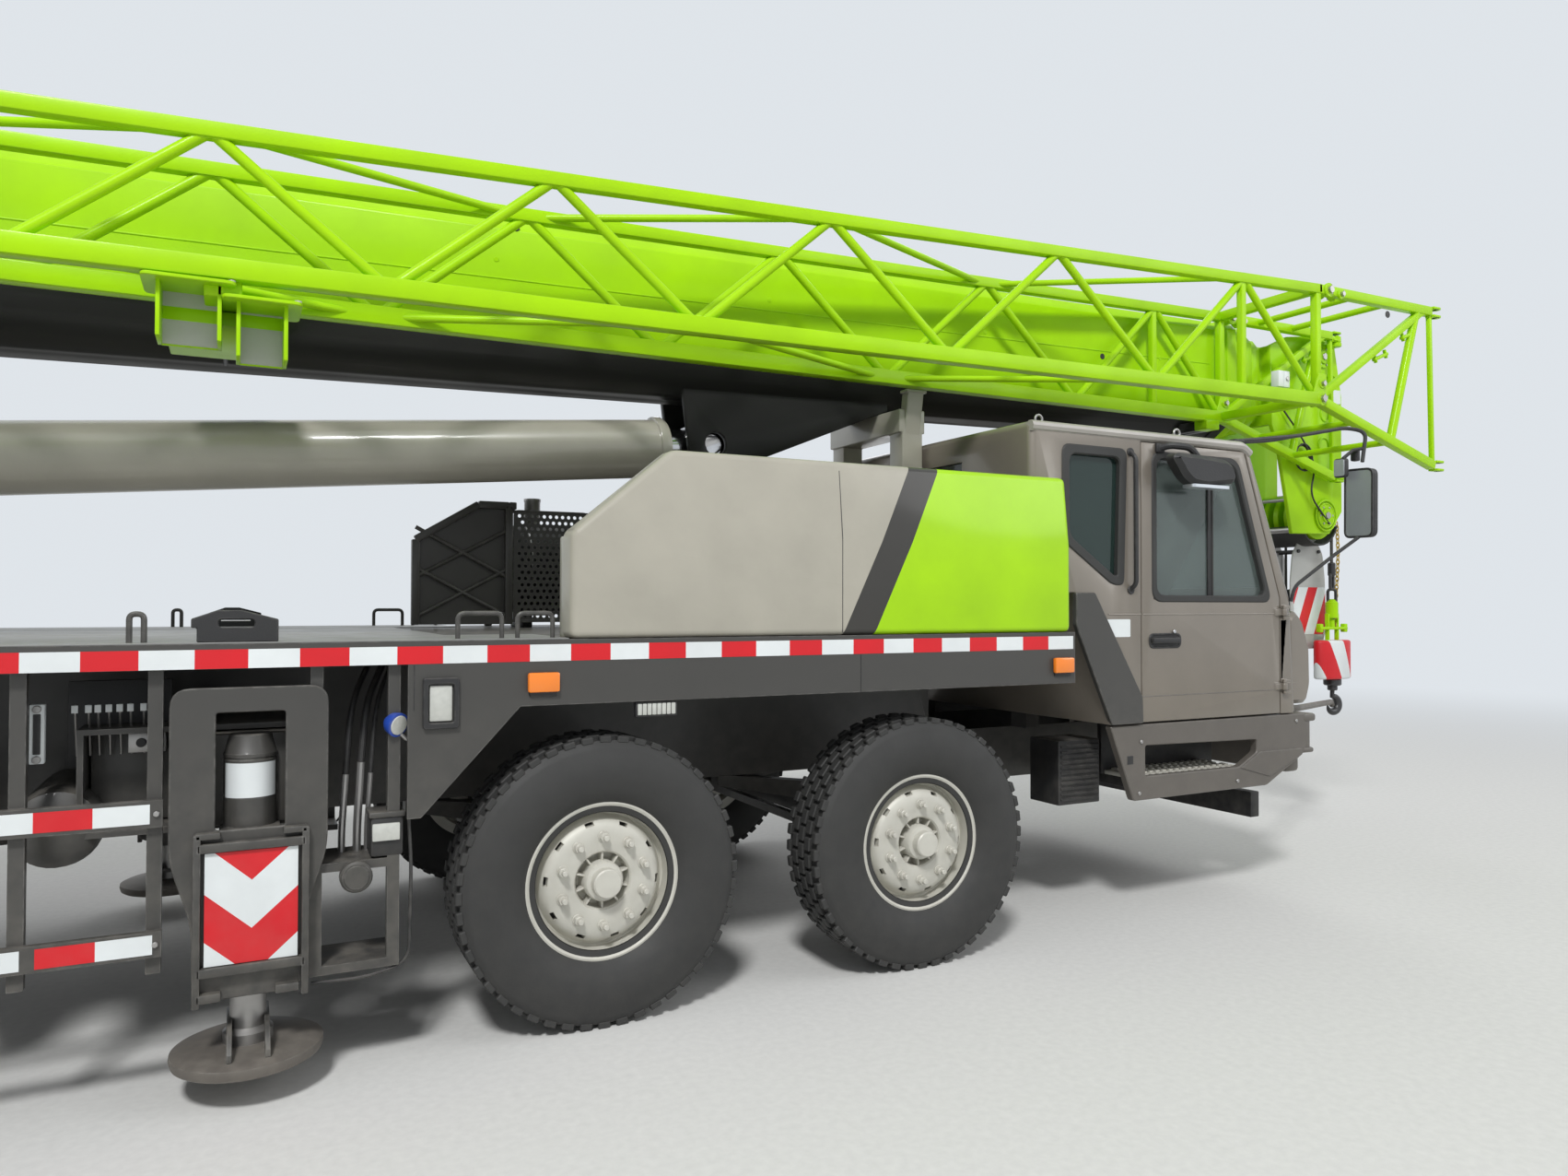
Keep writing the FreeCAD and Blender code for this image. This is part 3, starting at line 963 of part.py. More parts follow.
keep("aux_hook", fuse(
    rod("z", "11", ("1480", rope_top), (rope_x, "-205")),
    rod("z", "60", ("1340", "1500"), (rope_x, "-205")),
    plate("xz", [(rope_x + " - 185", "1110"), (rope_x + " - 185", "1300"), (rope_x + " - 130", "1350"),
                 (rope_x + " + 130", "1350"), (rope_x + " + 185", "1300"), (rope_x + " + 185", "1110"),
                 (rope_x + " + 130", "1062"), (rope_x + " - 130", "1062")], ("-280", "-130")),
    *hook_bend("-205", "880"),
))
main_lines = [rod("z", "11", ("1600", rope_top), (rope_x, y)) for y in ("-90", "-3", "84", "171")]
main_sheaves = [rod("y", "150", (y + " - 22", y + " + 22"), (rope_x + " - 150", "1570"))
                for y in ("-90", "-3", "84", "171")]
block_faces = [plate("xz", [(rope_x + " - 340", "1480"), (rope_x + " - 300", "1700"), (rope_x + " - 220", "1740"),
                            (rope_x + " - 80", "1740"), (rope_x + " + 40", "1640"), (rope_x + " + 40", "1480"),
                            (rope_x + " - 60", "1300"), (rope_x + " - 240", "1300")], span)
               for span in (("-125", "-113"), ("194", "206"))]
keep("main_hook", fuse(
    *main_lines, *main_sheaves, *block_faces,
    rod("y", "40", ("-125", "206"), (rope_x + " - 150", "1570")),
    block((rope_x + " - 220", rope_x + " - 80"), ("-113", "194"), ("1290", "1400")),
    rod("z", "26", ("1090", "1300"), (rope_x + " - 150", "40")),
    cut(rod("y", "85", ("18", "62"), (rope_x + " - 150", "1060")), rod("y", "42", ("10", "70"), (rope_x + " - 150", "1060")),
        block((rope_x + " - 250", rope_x + " - 160"), ("10", "70"), ("1050", "1130"))),
))

doc.recompute()
broken = [each.Label for each in doc.Objects if "Invalid" in each.State or "Error" in each.State]
if broken:
    raise RuntimeError("failed objects: " + ", ".join(broken))
os.makedirs("parts", exist_ok=True)
for thing in NODES:
    if thing.Shape.isNull() or not thing.Shape.isValid():
        raise RuntimeError("bad shape: " + thing.Label)
for thing in NODES:
    thing.Shape.exportStep("parts/%s.step" % thing.Label)
print("nodes", len(NODES), "solids", sum(len(thing.Shape.Solids) for thing in NODES))
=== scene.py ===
import bmesh
import bpy
import math
from mathutils import Matrix, Vector


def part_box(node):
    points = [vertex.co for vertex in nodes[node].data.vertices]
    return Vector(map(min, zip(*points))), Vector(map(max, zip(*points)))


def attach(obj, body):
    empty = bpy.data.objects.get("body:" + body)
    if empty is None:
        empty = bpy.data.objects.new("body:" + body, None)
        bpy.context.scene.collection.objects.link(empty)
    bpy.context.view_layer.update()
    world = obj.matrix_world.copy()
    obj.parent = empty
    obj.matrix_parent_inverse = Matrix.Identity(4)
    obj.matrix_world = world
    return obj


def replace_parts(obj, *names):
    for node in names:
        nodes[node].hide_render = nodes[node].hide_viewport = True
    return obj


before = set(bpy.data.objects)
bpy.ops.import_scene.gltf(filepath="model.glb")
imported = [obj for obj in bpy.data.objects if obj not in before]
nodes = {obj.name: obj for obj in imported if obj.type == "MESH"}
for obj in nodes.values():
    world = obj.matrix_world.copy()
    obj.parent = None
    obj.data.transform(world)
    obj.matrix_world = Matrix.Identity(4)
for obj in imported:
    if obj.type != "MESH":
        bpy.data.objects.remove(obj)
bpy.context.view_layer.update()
scene = bpy.context.scene
scene.view_settings.view_transform = "Standard"

# Camera: a phone held at eye height beside the front outrigger, turned towards the cab.
# Its place, heading and lens come from the wheels, the deck edge and the cab in the photograph.

IMAGE_WIDE = 1702
FOCAL_PIXELS = 1150
SENSOR = 36.0
EYE = Vector((-0.4476, -5.2042, 1.5978))
HEADING = math.radians(27.35)
PITCH = math.radians(0.903)
ROLL = math.radians(0.09)

ahead = Vector((math.sin(HEADING) * math.cos(PITCH), math.cos(HEADING) * math.cos(PITCH), math.sin(PITCH)))
level = Vector((math.cos(HEADING), -math.sin(HEADING), 0))
upright = level.cross(ahead)
right = level * math.cos(ROLL) + upright * math.sin(ROLL)
above = upright * math.cos(ROLL) - level * math.sin(ROLL)
camera = bpy.data.objects.new("camera", bpy.data.cameras.new("camera"))
camera.data.sensor_width = SENSOR
camera.data.lens = SENSOR * FOCAL_PIXELS / IMAGE_WIDE
camera.matrix_world = Matrix.Translation(EYE) @ Matrix((right, above, -ahead)).transposed().to_4x4()
scene.collection.objects.link(camera)
scene.camera = camera

# Studio: a pale concrete floor and a pale backdrop colour, with soft lamps on all sides.
# The strongest lamp stands high behind the camera, as the sun does in the photograph.

FLOOR_REACH = 400.0
FADE_START = 8.0
FADE_END = 22.0
BACKDROP = (0.74, 0.78, 0.82, 1)
LAMPS = (
    # place, size, watts
    ((-5.0, -12.0, 15.0), 3.0, 2650),
    ((13.0, -9.0, 8.0), 8.0, 410),
    ((10.0, 12.0, 9.0), 10.0, 480),
    ((-12.0, 10.0, 9.0), 10.0, 480),
)


def lamp(place, size, watts):
    light = bpy.data.lights.new("softbox", "AREA")
    light.shape = "DISK"
    light.size = size
    light.energy = watts
    holder = bpy.data.objects.new("softbox", light)
    aim = (Vector((0, 0, 1.2)) - Vector(place)).to_track_quat("-Z", "Y")
    holder.matrix_world = Matrix.Translation(place) @ aim.to_matrix().to_4x4()
    scene.collection.objects.link(holder)


for lamp_place, lamp_size, lamp_watts in LAMPS:
    lamp(lamp_place, lamp_size, lamp_watts)


def wire(tree, start, end):
    tree.links.new(start, end)


def light_path_mask(tree):
    """One where the camera, a reflection or a pane looks straight at a surface."""
    path = tree.nodes.new("ShaderNodeLightPath")
    first = tree.nodes.new("ShaderNodeMath")
    first.operation = "MAXIMUM"
    wire(tree, path.outputs["Is Camera Ray"], first.inputs[0])
    wire(tree, path.outputs["Is Glossy Ray"], first.inputs[1])
    both = tree.nodes.new("ShaderNodeMath")
    both.operation = "MAXIMUM"
    wire(tree, first.outputs[0], both.inputs[0])
    wire(tree, path.outputs["Is Transmission Ray"], both.inputs[1])
    return both.outputs[0]


world = bpy.data.worlds.new("studio")
scene.world = world
world.use_nodes = True
sky = world.node_tree
backdrop = sky.nodes["Background"]
backdrop.inputs["Color"].default_value = (0.86, 0.88, 0.90, 1)
backdrop.inputs["Strength"].default_value = 0.50
seen = sky.nodes.new("ShaderNodeBackground")
seen.inputs["Color"].default_value = BACKDROP
seen.inputs["Strength"].default_value = 1.0
choice = sky.nodes.new("ShaderNodeMixShader")
wire(sky, light_path_mask(sky), choice.inputs[0])
wire(sky, backdrop.outputs[0], choice.inputs[1])
wire(sky, seen.outputs[0], choice.inputs[2])
wire(sky, choice.outputs[0], sky.nodes["World Output"].inputs["Surface"])

floor_mesh = bmesh.new()
bmesh.ops.create_grid(floor_mesh, x_segments=2, y_segments=2, size=FLOOR_REACH)
floor_data = bpy.data.meshes.new("floor")
floor_mesh.to_mesh(floor_data)
floor_mesh.free()
floor = bpy.data.objects.new("floor", floor_data)
scene.collection.objects.link(floor)
concrete = bpy.data.materials.new("pale_concrete")
concrete.use_nodes = True
ground = concrete.node_tree
stone = ground.nodes["Principled BSDF"]
stone.inputs["Roughness"].default_value = 0.85
where = ground.nodes.new("ShaderNodeTexCoord")
speckle = ground.nodes.new("ShaderNodeTexNoise")
speckle.inputs["Scale"].default_value = 30
speckle.inputs["Detail"].default_value = 8
wire(ground, where.outputs["Object"], speckle.inputs["Vector"])
shade = ground.nodes.new("ShaderNodeMix")
shade.data_type = "RGBA"
shade.inputs["A"].default_value = (0.60, 0.60, 0.585, 1)
shade.inputs["B"].default_value = (0.73, 0.73, 0.71, 1)
wire(ground, speckle.outputs["Fac"], shade.inputs["Factor"])
wire(ground, shade.outputs["Result"], stone.inputs["Base Color"])
horizon = ground.nodes.new("ShaderNodeEmission")
horizon.inputs["Color"].default_value = BACKDROP
reach = ground.nodes.new("ShaderNodeVectorMath")
reach.operation = "LENGTH"
wire(ground, where.outputs["Object"], reach.inputs[0])
fade = ground.nodes.new("ShaderNodeMapRange")
fade.interpolation_type = "SMOOTHSTEP"
fade.inputs["From Min"].default_value = FADE_START
fade.inputs["From Max"].default_value = FADE_END
wire(ground, reach.outputs["Value"], fade.inputs["Value"])
share = ground.nodes.new("ShaderNodeMath")
share.operation = "MULTIPLY"
wire(ground, fade.outputs["Result"], share.inputs[0])
wire(ground, light_path_mask(ground), share.inputs[1])
faded = ground.nodes.new("ShaderNodeMixShader")
wire(ground, share.outputs[0], faded.inputs[0])
wire(ground, stone.outputs[0], faded.inputs[1])
wire(ground, horizon.outputs[0], faded.inputs[2])
wire(ground, faded.outputs[0], ground.nodes["Material Output"].inputs["Surface"])
floor_data.materials.append(concrete)

# Paintwork: every painted piece wears a little at its edges and holds dust where it is low or level.
# The two groups below give those masks, and each finish places them with its own colours and amounts.


def group_of(name, inputs, outputs):
    """An empty shader group with named sockets: (name, kind, first value)."""
    tree = bpy.data.node_groups.new(name, "ShaderNodeTree")
    for label, kind, value in inputs:
        socket = tree.interface.new_socket(name=label, in_out="INPUT", socket_type="NodeSocket" + kind)
        socket.default_value = value
    for label, kind in outputs:
        tree.interface.new_socket(name=label, in_out="OUTPUT", socket_type="NodeSocket" + kind)
    return tree, tree.nodes.new("NodeGroupInput"), tree.nodes.new("NodeGroupOutput")


def sums(tree, operation, first, second=None, clamp=False):
    """A Math node between sockets or plain numbers, and its output."""
    node = tree.nodes.new("ShaderNodeMath")
    node.operation = operation
    node.use_clamp = clamp
    for index, value in enumerate((first, second)):
        if value is None:
            continue
        if isinstance(value, (int, float)):
            node.inputs[index].default_value = value
        else:
            wire(tree, value, node.inputs[index])
    return node.outputs[0]


def noise(tree, vector, scale, detail=4.0, rough=0.55):
    node = tree.nodes.new("ShaderNodeTexNoise")
    node.inputs["Detail"].default_value = detail
    node.inputs["Roughness"].default_value = rough
    if isinstance(scale, (int, float)):
        node.inputs["Scale"].default_value = scale
    else:
        wire(tree, scale, node.inputs["Scale"])
    wire(tree, vector, node.inputs["Vector"])
    return node.outputs["Fac"]


def ramp(tree, value, low, high, first=0.0, last=1.0):
    node = tree.nodes.new("ShaderNodeMapRange")
    node.clamp = True
    for label, number in (("From Min", low), ("From Max", high), ("To Min", first), ("To Max", last)):
        if isinstance(number, (int, float)):
            node.inputs[label].default_value = number
        else:
            wire(tree, number, node.inputs[label])
    wire(tree, value, node.inputs["Value"])
    return node.outputs["Result"]


def blended(tree, amount, first, second):
    """A colour between two colours or sockets."""
    node = tree.nodes.new("ShaderNodeMix")
    node.data_type = "RGBA"
    for label, value in (("A", first), ("B", second)):
        if isinstance(value, tuple):
            node.inputs[label].default_value = value
        else:
            wire(tree, value, node.inputs[label])
    if isinstance(amount, (int, float)):
        node.inputs["Factor"].default_value = amount
    else:
        wire(tree, amount, node.inputs["Factor"])
    return node.outputs["Result"]


weather, given, out = group_of(
    "weathered_paint",
    [("Paint", "Color", (0.5, 0.5, 0.5, 1)), ("Dust Colour", "Color", (0.36, 0.33, 0.28, 1)),
     ("Dust", "Float", 0.2), ("Spread", "Float", 3.0), ("Gloss", "Float", 0.35), ("Low Dust", "Float", 0.6)],
    [("Colour", "Color"), ("Roughness", "Float"), ("Height", "Float")],
)
coordinate = weather.nodes.new("ShaderNodeTexCoord")
spot = coordinate.outputs["Object"]
patches = noise(weather, spot, given.outputs["Spread"], 5.0)
fine = noise(weather, spot, 90.0, 3.0)
faded = blended(weather, ramp(weather, patches, 0.3, 0.75, 0.0, 0.16), given.outputs["Paint"], (0.02, 0.02, 0.02, 1))
parts = weather.nodes.new("ShaderNodeSeparateXYZ")
wire(weather, spot, parts.inputs[0])
facing = weather.nodes.new("ShaderNodeNewGeometry")
tilt = weather.nodes.new("ShaderNodeSeparateXYZ")
wire(weather, facing.outputs["Normal"], tilt.inputs[0])
lying = ramp(weather, tilt.outputs["Z"], 0.5, 1.0)
near_ground = sums(weather, "MULTIPLY", ramp(weather, parts.outputs["Z"], 1.3, 0.1), given.outputs["Low Dust"])
settled = sums(weather, "MAXIMUM", lying, near_ground)
mottled = sums(weather, "MULTIPLY", settled, ramp(weather, noise(weather, spot, 14.0, 6.0), 0.35, 0.72))
dusting = sums(weather, "MULTIPLY", mottled, given.outputs["Dust"], clamp=True)
wire(weather, blended(weather, dusting, faded, given.outputs["Dust Colour"]), out.inputs["Colour"])
smudge = sums(weather, "MULTIPLY", ramp(weather, patches, 0.35, 0.7), 0.10)
duller = sums(weather, "ADD", sums(weather, "ADD", given.outputs["Gloss"], smudge),
              sums(weather, "MULTIPLY", dusting, 0.45), clamp=True)
wire(weather, duller, out.inputs["Roughness"])
wire(weather, sums(weather, "ADD", fine, sums(weather, "MULTIPLY", patches, 0.6)), out.inputs["Height"])

worn, worn_given, worn_out = group_of(
    "worn_edges",
    [("Width", "Float", 0.006), ("Amount", "Float", 0.5)],
    [("Edge", "Float")],
)
worn_spot = worn.nodes.new("ShaderNodeTexCoord")
rounded = worn.nodes.new("ShaderNodeBevel")
rounded.samples = 4
wire(worn, worn_given.outputs["Width"], rounded.inputs["Radius"])
plain = worn.nodes.new("ShaderNodeNewGeometry")
turn = worn.nodes.new("ShaderNodeVectorMath")
turn.operation = "DOT_PRODUCT"
wire(worn, rounded.outputs["Normal"], turn.inputs[0])
wire(worn, plain.outputs["Normal"], turn.inputs[1])
edge = ramp(worn, turn.outputs["Value"], 0.995, 0.93)
chips = ramp(worn, noise(worn, worn_spot.outputs["Object"], 26.0, 6.0), 0.42, 0.62)
wire(worn, sums(worn, "MULTIPLY", sums(worn, "MULTIPLY", edge, chips), worn_given.outputs["Amount"], clamp=True),
     worn_out.inputs["Edge"])


def paint(name, colour, gloss=0.35, metal=0.0, coat=0.0, dust=0.25, low_dust=0.6, edge=0.4, under=(0.28, 0.27, 0.25),
          spread=3.0, relief=0.05, dust_colour=(0.36, 0.33, 0.28), two_tone=None):
    """A painted or plain finish with patches, dust and worn edges. two_tone gives another colour socket."""
    made = bpy.data.materials.new(name)
    made.use_nodes = True
    tree = made.node_tree
    shader = tree.nodes["Principled BSDF"]
    shader.inputs["Metallic"].default_value = metal
    shader.inputs["Coat Weight"].default_value = coat
    shader.inputs["Coat Roughness"].default_value = 0.12
    aged = tree.nodes.new("ShaderNodeGroup")
    aged.node_tree = weather
    aged.inputs["Paint"].default_value = (*colour, 1)
    aged.inputs["Dust Colour"].default_value = (*dust_colour, 1)
    aged.inputs["Dust"].default_value = dust
    aged.inputs["Spread"].default_value = spread
    aged.inputs["Gloss"].default_value = gloss
    aged.inputs["Low Dust"].default_value = low_dust
    if two_tone:
        wire(tree, two_tone(tree), aged.inputs["Paint"])
    surface = aged.outputs["Colour"]
    if edge > 0:
        rubbed = tree.nodes.new("ShaderNodeGroup")
        rubbed.node_tree = worn
        rubbed.inputs["Amount"].default_value = edge
        surface = blended(tree, rubbed.outputs["Edge"], surface, (*under, 1))
    wire(tree, surface, shader.inputs["Base Color"])
    wire(tree, aged.outputs["Roughness"], shader.inputs["Roughness"])
    bump = tree.nodes.new("ShaderNodeBump")
    bump.inputs["Strength"].default_value = relief
    bump.inputs["Distance"].default_value = 0.004
    wire(tree, aged.outputs["Height"], bump.inputs["Height"])
    wire(tree, bump.outputs["Normal"], shader.inputs["Normal"])
    return made


def dress(finish, *names):
    """Gives CAD nodes a finish in their first material slot."""
    for each in names:
        nodes[each].material_slots[0].material = finish


LIME = (0.385, 0.71, 0.004)
LIME_SHINE = 0.12
BOOM_BLACK = (0.022, 0.022, 0.021)
CHARCOAL = (0.052, 0.050, 0.046)
TAUPE = (0.220, 0.193, 0.160)
BEIGE = (0.415, 0.395, 0.335)
BOOM_SPLIT = 2.852
BOOM_SIDE = 0.300
STRIPE_REAR = 1.811
STRIPE_WIDE = 0.155
STRIPE_LEAN = 0.49
BOX_FLOOR = 1.470


def axes_of(tree):
    """The three Object coordinates of a piece's surface."""
    spot = tree.nodes.new("ShaderNodeTexCoord")
    axes = tree.nodes.new("ShaderNodeSeparateXYZ")
    wire(tree, spot.outputs["Object"], axes.inputs[0])
    return axes.outputs


def boom_colours(tree):
    """Lime above a level line and on the arms beside the boom, black below."""
    axes = axes_of(tree)
    above = ramp(tree, axes["Z"], BOOM_SPLIT - 0.001, BOOM_SPLIT + 0.001)
    aside = ramp(tree, sums(tree, "ABSOLUTE", axes["Y"]), BOOM_SIDE + 0.014, BOOM_SIDE + 0.015)
    return blended(tree, sums(tree, "MAXIMUM", above, aside), (*BOOM_BLACK, 1), (*LIME, 1))


def box_colours(tree):
    """Beige at the rear, then a leaning dark stripe, then lime."""
    axes = axes_of(tree)
    lean = sums(tree, "MULTIPLY", sums(tree, "SUBTRACT", axes["Z"], BOX_FLOOR), STRIPE_LEAN)
    along = sums(tree, "SUBTRACT", axes["X"], lean)
    dark = ramp(tree, along, STRIPE_REAR, STRIPE_REAR + 0.001)
    front = ramp(tree, along, STRIPE_REAR + STRIPE_WIDE, STRIPE_REAR + STRIPE_WIDE + 0.001)
    rear = blended(tree, dark, (*BEIGE, 1), (*CHARCOAL, 1))
    return blended(tree, front, rear, (*LIME, 1))


lime_paint = paint("lime_paint", LIME, gloss=0.36, coat=0.08, dust=0.03, low_dust=0.2, edge=0.2, under=(0.35, 0.5, 0.1))
boom_paint = paint("boom_paint", LIME, gloss=0.36, coat=0.08, dust=0.03, low_dust=0.2, edge=0.15, two_tone=boom_colours)
box_paint = paint("box_paint", BEIGE, gloss=0.3, coat=0.4, dust=0.10, edge=0.15, two_tone=box_colours)
for lime in (lime_paint, boom_paint, box_paint):
    lime.node_tree.nodes["Principled BSDF"].inputs["Specular IOR Level"].default_value = LIME_SHINE
charcoal_paint = paint("charcoal_paint", CHARCOAL, gloss=0.42, coat=0.1, dust=0.35, edge=0.4)
taupe_paint = paint("taupe_paint", TAUPE, gloss=0.34, metal=0.25, coat=0.5, dust=0.10, edge=0.12)
dark_taupe = paint("dark_taupe", (0.125, 0.112, 0.098), gloss=0.42, metal=0.2, coat=0.2, dust=0.2, edge=0.3)
beige_paint = paint("beige_paint", BEIGE, gloss=0.3, coat=0.5, dust=0.12, edge=0.2)
rim_paint = paint("rim_paint", (0.60, 0.59, 0.53), gloss=0.45, metal=0.15, dust=0.35, low_dust=0.8, edge=0.25,
                  under=(0.30, 0.24, 0.18))
black_plastic = paint("black_plastic", (0.018, 0.018, 0.019), gloss=0.5, dust=0.25, edge=0.2, relief=0.15)
rubber = paint("rubber", (0.030, 0.030, 0.029), gloss=0.62, dust=0.14, low_dust=0.7, edge=0.12,
               under=(0.12, 0.11, 0.10), spread=6.0, relief=0.12, dust_colour=(0.14, 0.13, 0.115))
bare_steel = paint("bare_steel", (0.42, 0.41, 0.40), gloss=0.35, metal=0.9, dust=0.3, edge=0.1, spread=8.0)
chrome = paint("chrome", (0.62, 0.62, 0.63), gloss=0.12, metal=1.0, dust=0.1, edge=0, relief=0.01)
red_tape = paint("red_tape", (0.66, 0.006, 0.014), gloss=0.4, dust=0.15, edge=0, relief=0.02)
white_tape = paint("white_tape", (0.76, 0.80, 0.81), gloss=0.4, dust=0.12, edge=0, relief=0.02)
amber_lens = paint("amber_lens", (0.95, 0.24, 0.01), gloss=0.2, coat=0.8, dust=0.1, edge=0, relief=0.02)
clear_lens = paint("clear_lens", (0.55, 0.56, 0.52), gloss=0.15, coat=1.0, dust=0.2, edge=0, spread=40.0)
blue_plastic = paint("blue_plastic", (0.02, 0.075, 0.45), gloss=0.3, coat=0.4, dust=0.15, edge=0.1)
block_grey = paint("block_grey", (0.50, 0.50, 0.48), gloss=0.45, metal=0.2, dust=0.15, edge=0.3)
mirror_face = paint("mirror_face", (0.62, 0.66, 0.70), gloss=0.30, metal=0.7, dust=0.02, edge=0, relief=0.0)

# Rigid pieces made in CAD keep their shape and take their finish here.

dress(charcoal_paint, "chassis_frame", "axles", "leaf_springs", "deck", "side_guards", "tanks", "engine_block",
      "steering_rods", "turntable_frame", "exhaust_guard", "boom_rest")
for place in ("1r", "1l", "2r", "2l"):
    dress(charcoal_paint, "knuckle_" + place)
for place in ("front_r", "front_l", "rear_r", "rear_l"):
    dress(charcoal_paint, "outrigger_beam_" + place, "jack_" + place)
dress(taupe_paint, "cab_shell", "cab_door_r", "cab_door_l", "op_cab_shell", "op_cab_door")
dress(beige_paint, "luff_barrel")
dress(boom_paint, "boom_base")
dress(lime_paint, "boom_section_2", "boom_section_3", "boom_section_4", "boom_section_5", "jib", "counterweight")
dress(chrome, "luff_rod")
dress(bare_steel, "winches", "main_hook", "aux_hook")

# Wheels: truck tyres of black rubber with block treads, on pressed steel discs in silver-beige paint.
# Ten nuts on studs hold each disc, and slots round its edge let the brake drum breathe.

PITCHES = 48
TREAD_LOW = 0.524
TREAD_TOP = 0.5495
TYRE_SIDE = (
    # across from the middle, radius
    (0.103, 0.262), (0.1105, 0.300), (0.125, 0.315), (0.145, 0.355), (0.1535, 0.405), (0.152, 0.445),
    (0.144, 0.480), (0.139, 0.497), (0.1375, 0.503), (0.134, 0.512), (0.118, 0.533),
)
TREAD_ROWS = (
    # across, width, length, share of a pitch
    (-0.109, 0.034, 0.046, 0.0), (-0.054, 0.044, 0.056, 0.5), (0.0, 0.044, 0.060, 0.0),
    (0.054, 0.044, 0.056, 0.5), (0.109, 0.034, 0.046, 0.0),
)
RIM_STEPS = 80
FRONT_RIM = (
    # out from the wheel's middle, radius
    (0.100, 0.300), (0.110, 0.300), (0.112, 0.292), (0.108, 0.284), (0.095, 0.278), (0.060, 0.268), (0.045, 0.262),
    (0.040, 0.255), (0.044, 0.245), (0.060, 0.236), (0.080, 0.226), (0.092, 0.212), (0.097, 0.195), (0.100, 0.175),
    (0.100, 0.128), (0.097, 0.112), (0.090, 0.106), (0.050, 0.104), (0.040, 0.098), (0.040, 0.080), (0.045, 0.076),
    (0.110, 0.075), (0.118, 0.070), (0.120, 0.060), (0.122, 0.055), (0.158, 0.055), (0.163, 0.050), (0.165, 0.0),
)
FRONT_BACK = ((-0.100, 0.0), (-0.100, 0.205), (0.035, 0.205), (0.030, 0.246), (-0.110, 0.246), (-0.110, 0.300),
              (-0.100, 0.300), (-0.100, 0.259), (0.100, 0.259))
REAR_RIM = (
    (0.2685, 0.300), (0.2785, 0.300), (0.2805, 0.292), (0.274, 0.284), (0.262, 0.278), (0.235, 0.268), (0.20, 0.258),
    (0.12, 0.248), (0.085, 0.236), (0.060, 0.226), (0.040, 0.212), (0.033, 0.195), (0.030, 0.175), (0.030, 0.128),
    (0.032, 0.110), (0.050, 0.106), (0.145, 0.096), (0.155, 0.088), (0.159, 0.060), (0.160, 0.0),
)
REAR_BACK = ((-0.240, 0.0), (-0.240, 0.205), (-0.040, 0.205), (-0.060, 0.246), (-0.2785, 0.246), (-0.2785, 0.300),
             (-0.2685, 0.300), (-0.2685, 0.259), (0.2685, 0.259))
NUT_CIRCLE = 0.167
TWIN_HALF = 0.1685
FACING = {"x": Matrix.Rotation(math.pi / 2, 4, "Y"), "y": Matrix.Rotation(-math.pi / 2, 4, "X"), "z": Matrix()}


def joined(mesh, part, finish=0, place=None):
    """Adds a finished part to a piece's mesh. finish None keeps the part's own."""
    if place is not None:
        bmesh.ops.transform(part, matrix=place, verts=part.verts)
    if finish is not None:
        for face in part.faces:
            face.material_index = finish
    held = bpy.data.meshes.new("part")
    part.to_mesh(held)
    part.free()
    mesh.from_mesh(held)
    bpy.data.meshes.remove(held)


def softened(part, amount, segments=2):
    """Rounds the part's sharp edges."""
    crisp = [line for line in part.edges if len(line.link_faces) == 2 and line.calc_face_angle(0) > 0.5]
    if amount > 0 and crisp:
        bmesh.ops.bevel(part, geom=crisp, offset=amount, segments=segments, affect="EDGES", profile=0.5, material=-1)


def slab(mesh, low, high, soft=0.004, finish=0, place=None, segments=2):
    """A block with rounded edges between two corners."""
    low, high = Vector(low), Vector(high)
    part = bmesh.new()
    shape = Matrix.Translation((low + high) / 2) @ Matrix.Diagonal((*(high - low), 1))
    bmesh.ops.create_cube(part, size=1, matrix=shape)
    softened(part, min(soft, min(high - low) * 0.4), segments)
    joined(mesh, part, finish, place)


def disc(mesh, centre, axis, radius, depth, top=None, sides=24, soft=0.002, finish=0, place=None):
    """A short round or many-sided piece with rounded rims."""
    part = bmesh.new()
    bmesh.ops.create_cone(part, cap_ends=True, segments=sides, radius1=radius,
                          radius2=radius if top is None else top, depth=depth)
    softened(part, min(soft, depth * 0.3), 1)
    turn = Matrix.Translation(centre) @ FACING[axis]
    joined(mesh, part, finish, turn if place is None else place @ turn)


def spun(profile, steps, closed=False):
    """A profile of (across, radius) points spun about the Y axis."""
    part = bmesh.new()
    row = [part.verts.new((radius, across, 0)) for across, radius in profile]
    pairs = list(zip(row, row[1:]))
    if closed:
        pairs.append((row[-1], row[0]))
    lines = [part.edges.new(pair) for pair in pairs]
    bmesh.ops.spin(part, geom=row + lines, cent=(0, 0, 0), axis=(0, 1, 0), dvec=(0, 0, 0), angle=2 * math.pi,
                   steps=steps, use_merge=True)
    bmesh.ops.remove_doubles(part, verts=part.verts, dist=1e-5)
    bmesh.ops.recalc_face_normals(part, faces=part.faces)
    return part


def piece(name, mesh, body, material_slot, *finishes, sharp=32):
    """A finished piece that rides on a body."""
    data = bpy.data.meshes.new(name)
    mesh.to_mesh(data)
    mesh.free()
    for finish in finishes:
        data.materials.append(finish)
    data.shade_smooth()
    data.set_sharp_from_angle(angle=math.radians(sharp))
    made = bpy.data.objects.new(name, data)
    scene.collection.objects.link(made)
    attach(made, body)
    return made


def kept(mesh):
    """A shape that several pieces share, as mesh data."""
    data = bpy.data.meshes.new("shape")
    mesh.to_mesh(data)
    mesh.free()
    return data


def copied(mesh, data, place):
    part = bmesh.new()
    part.from_mesh(data)
    joined(mesh, part, None, place)


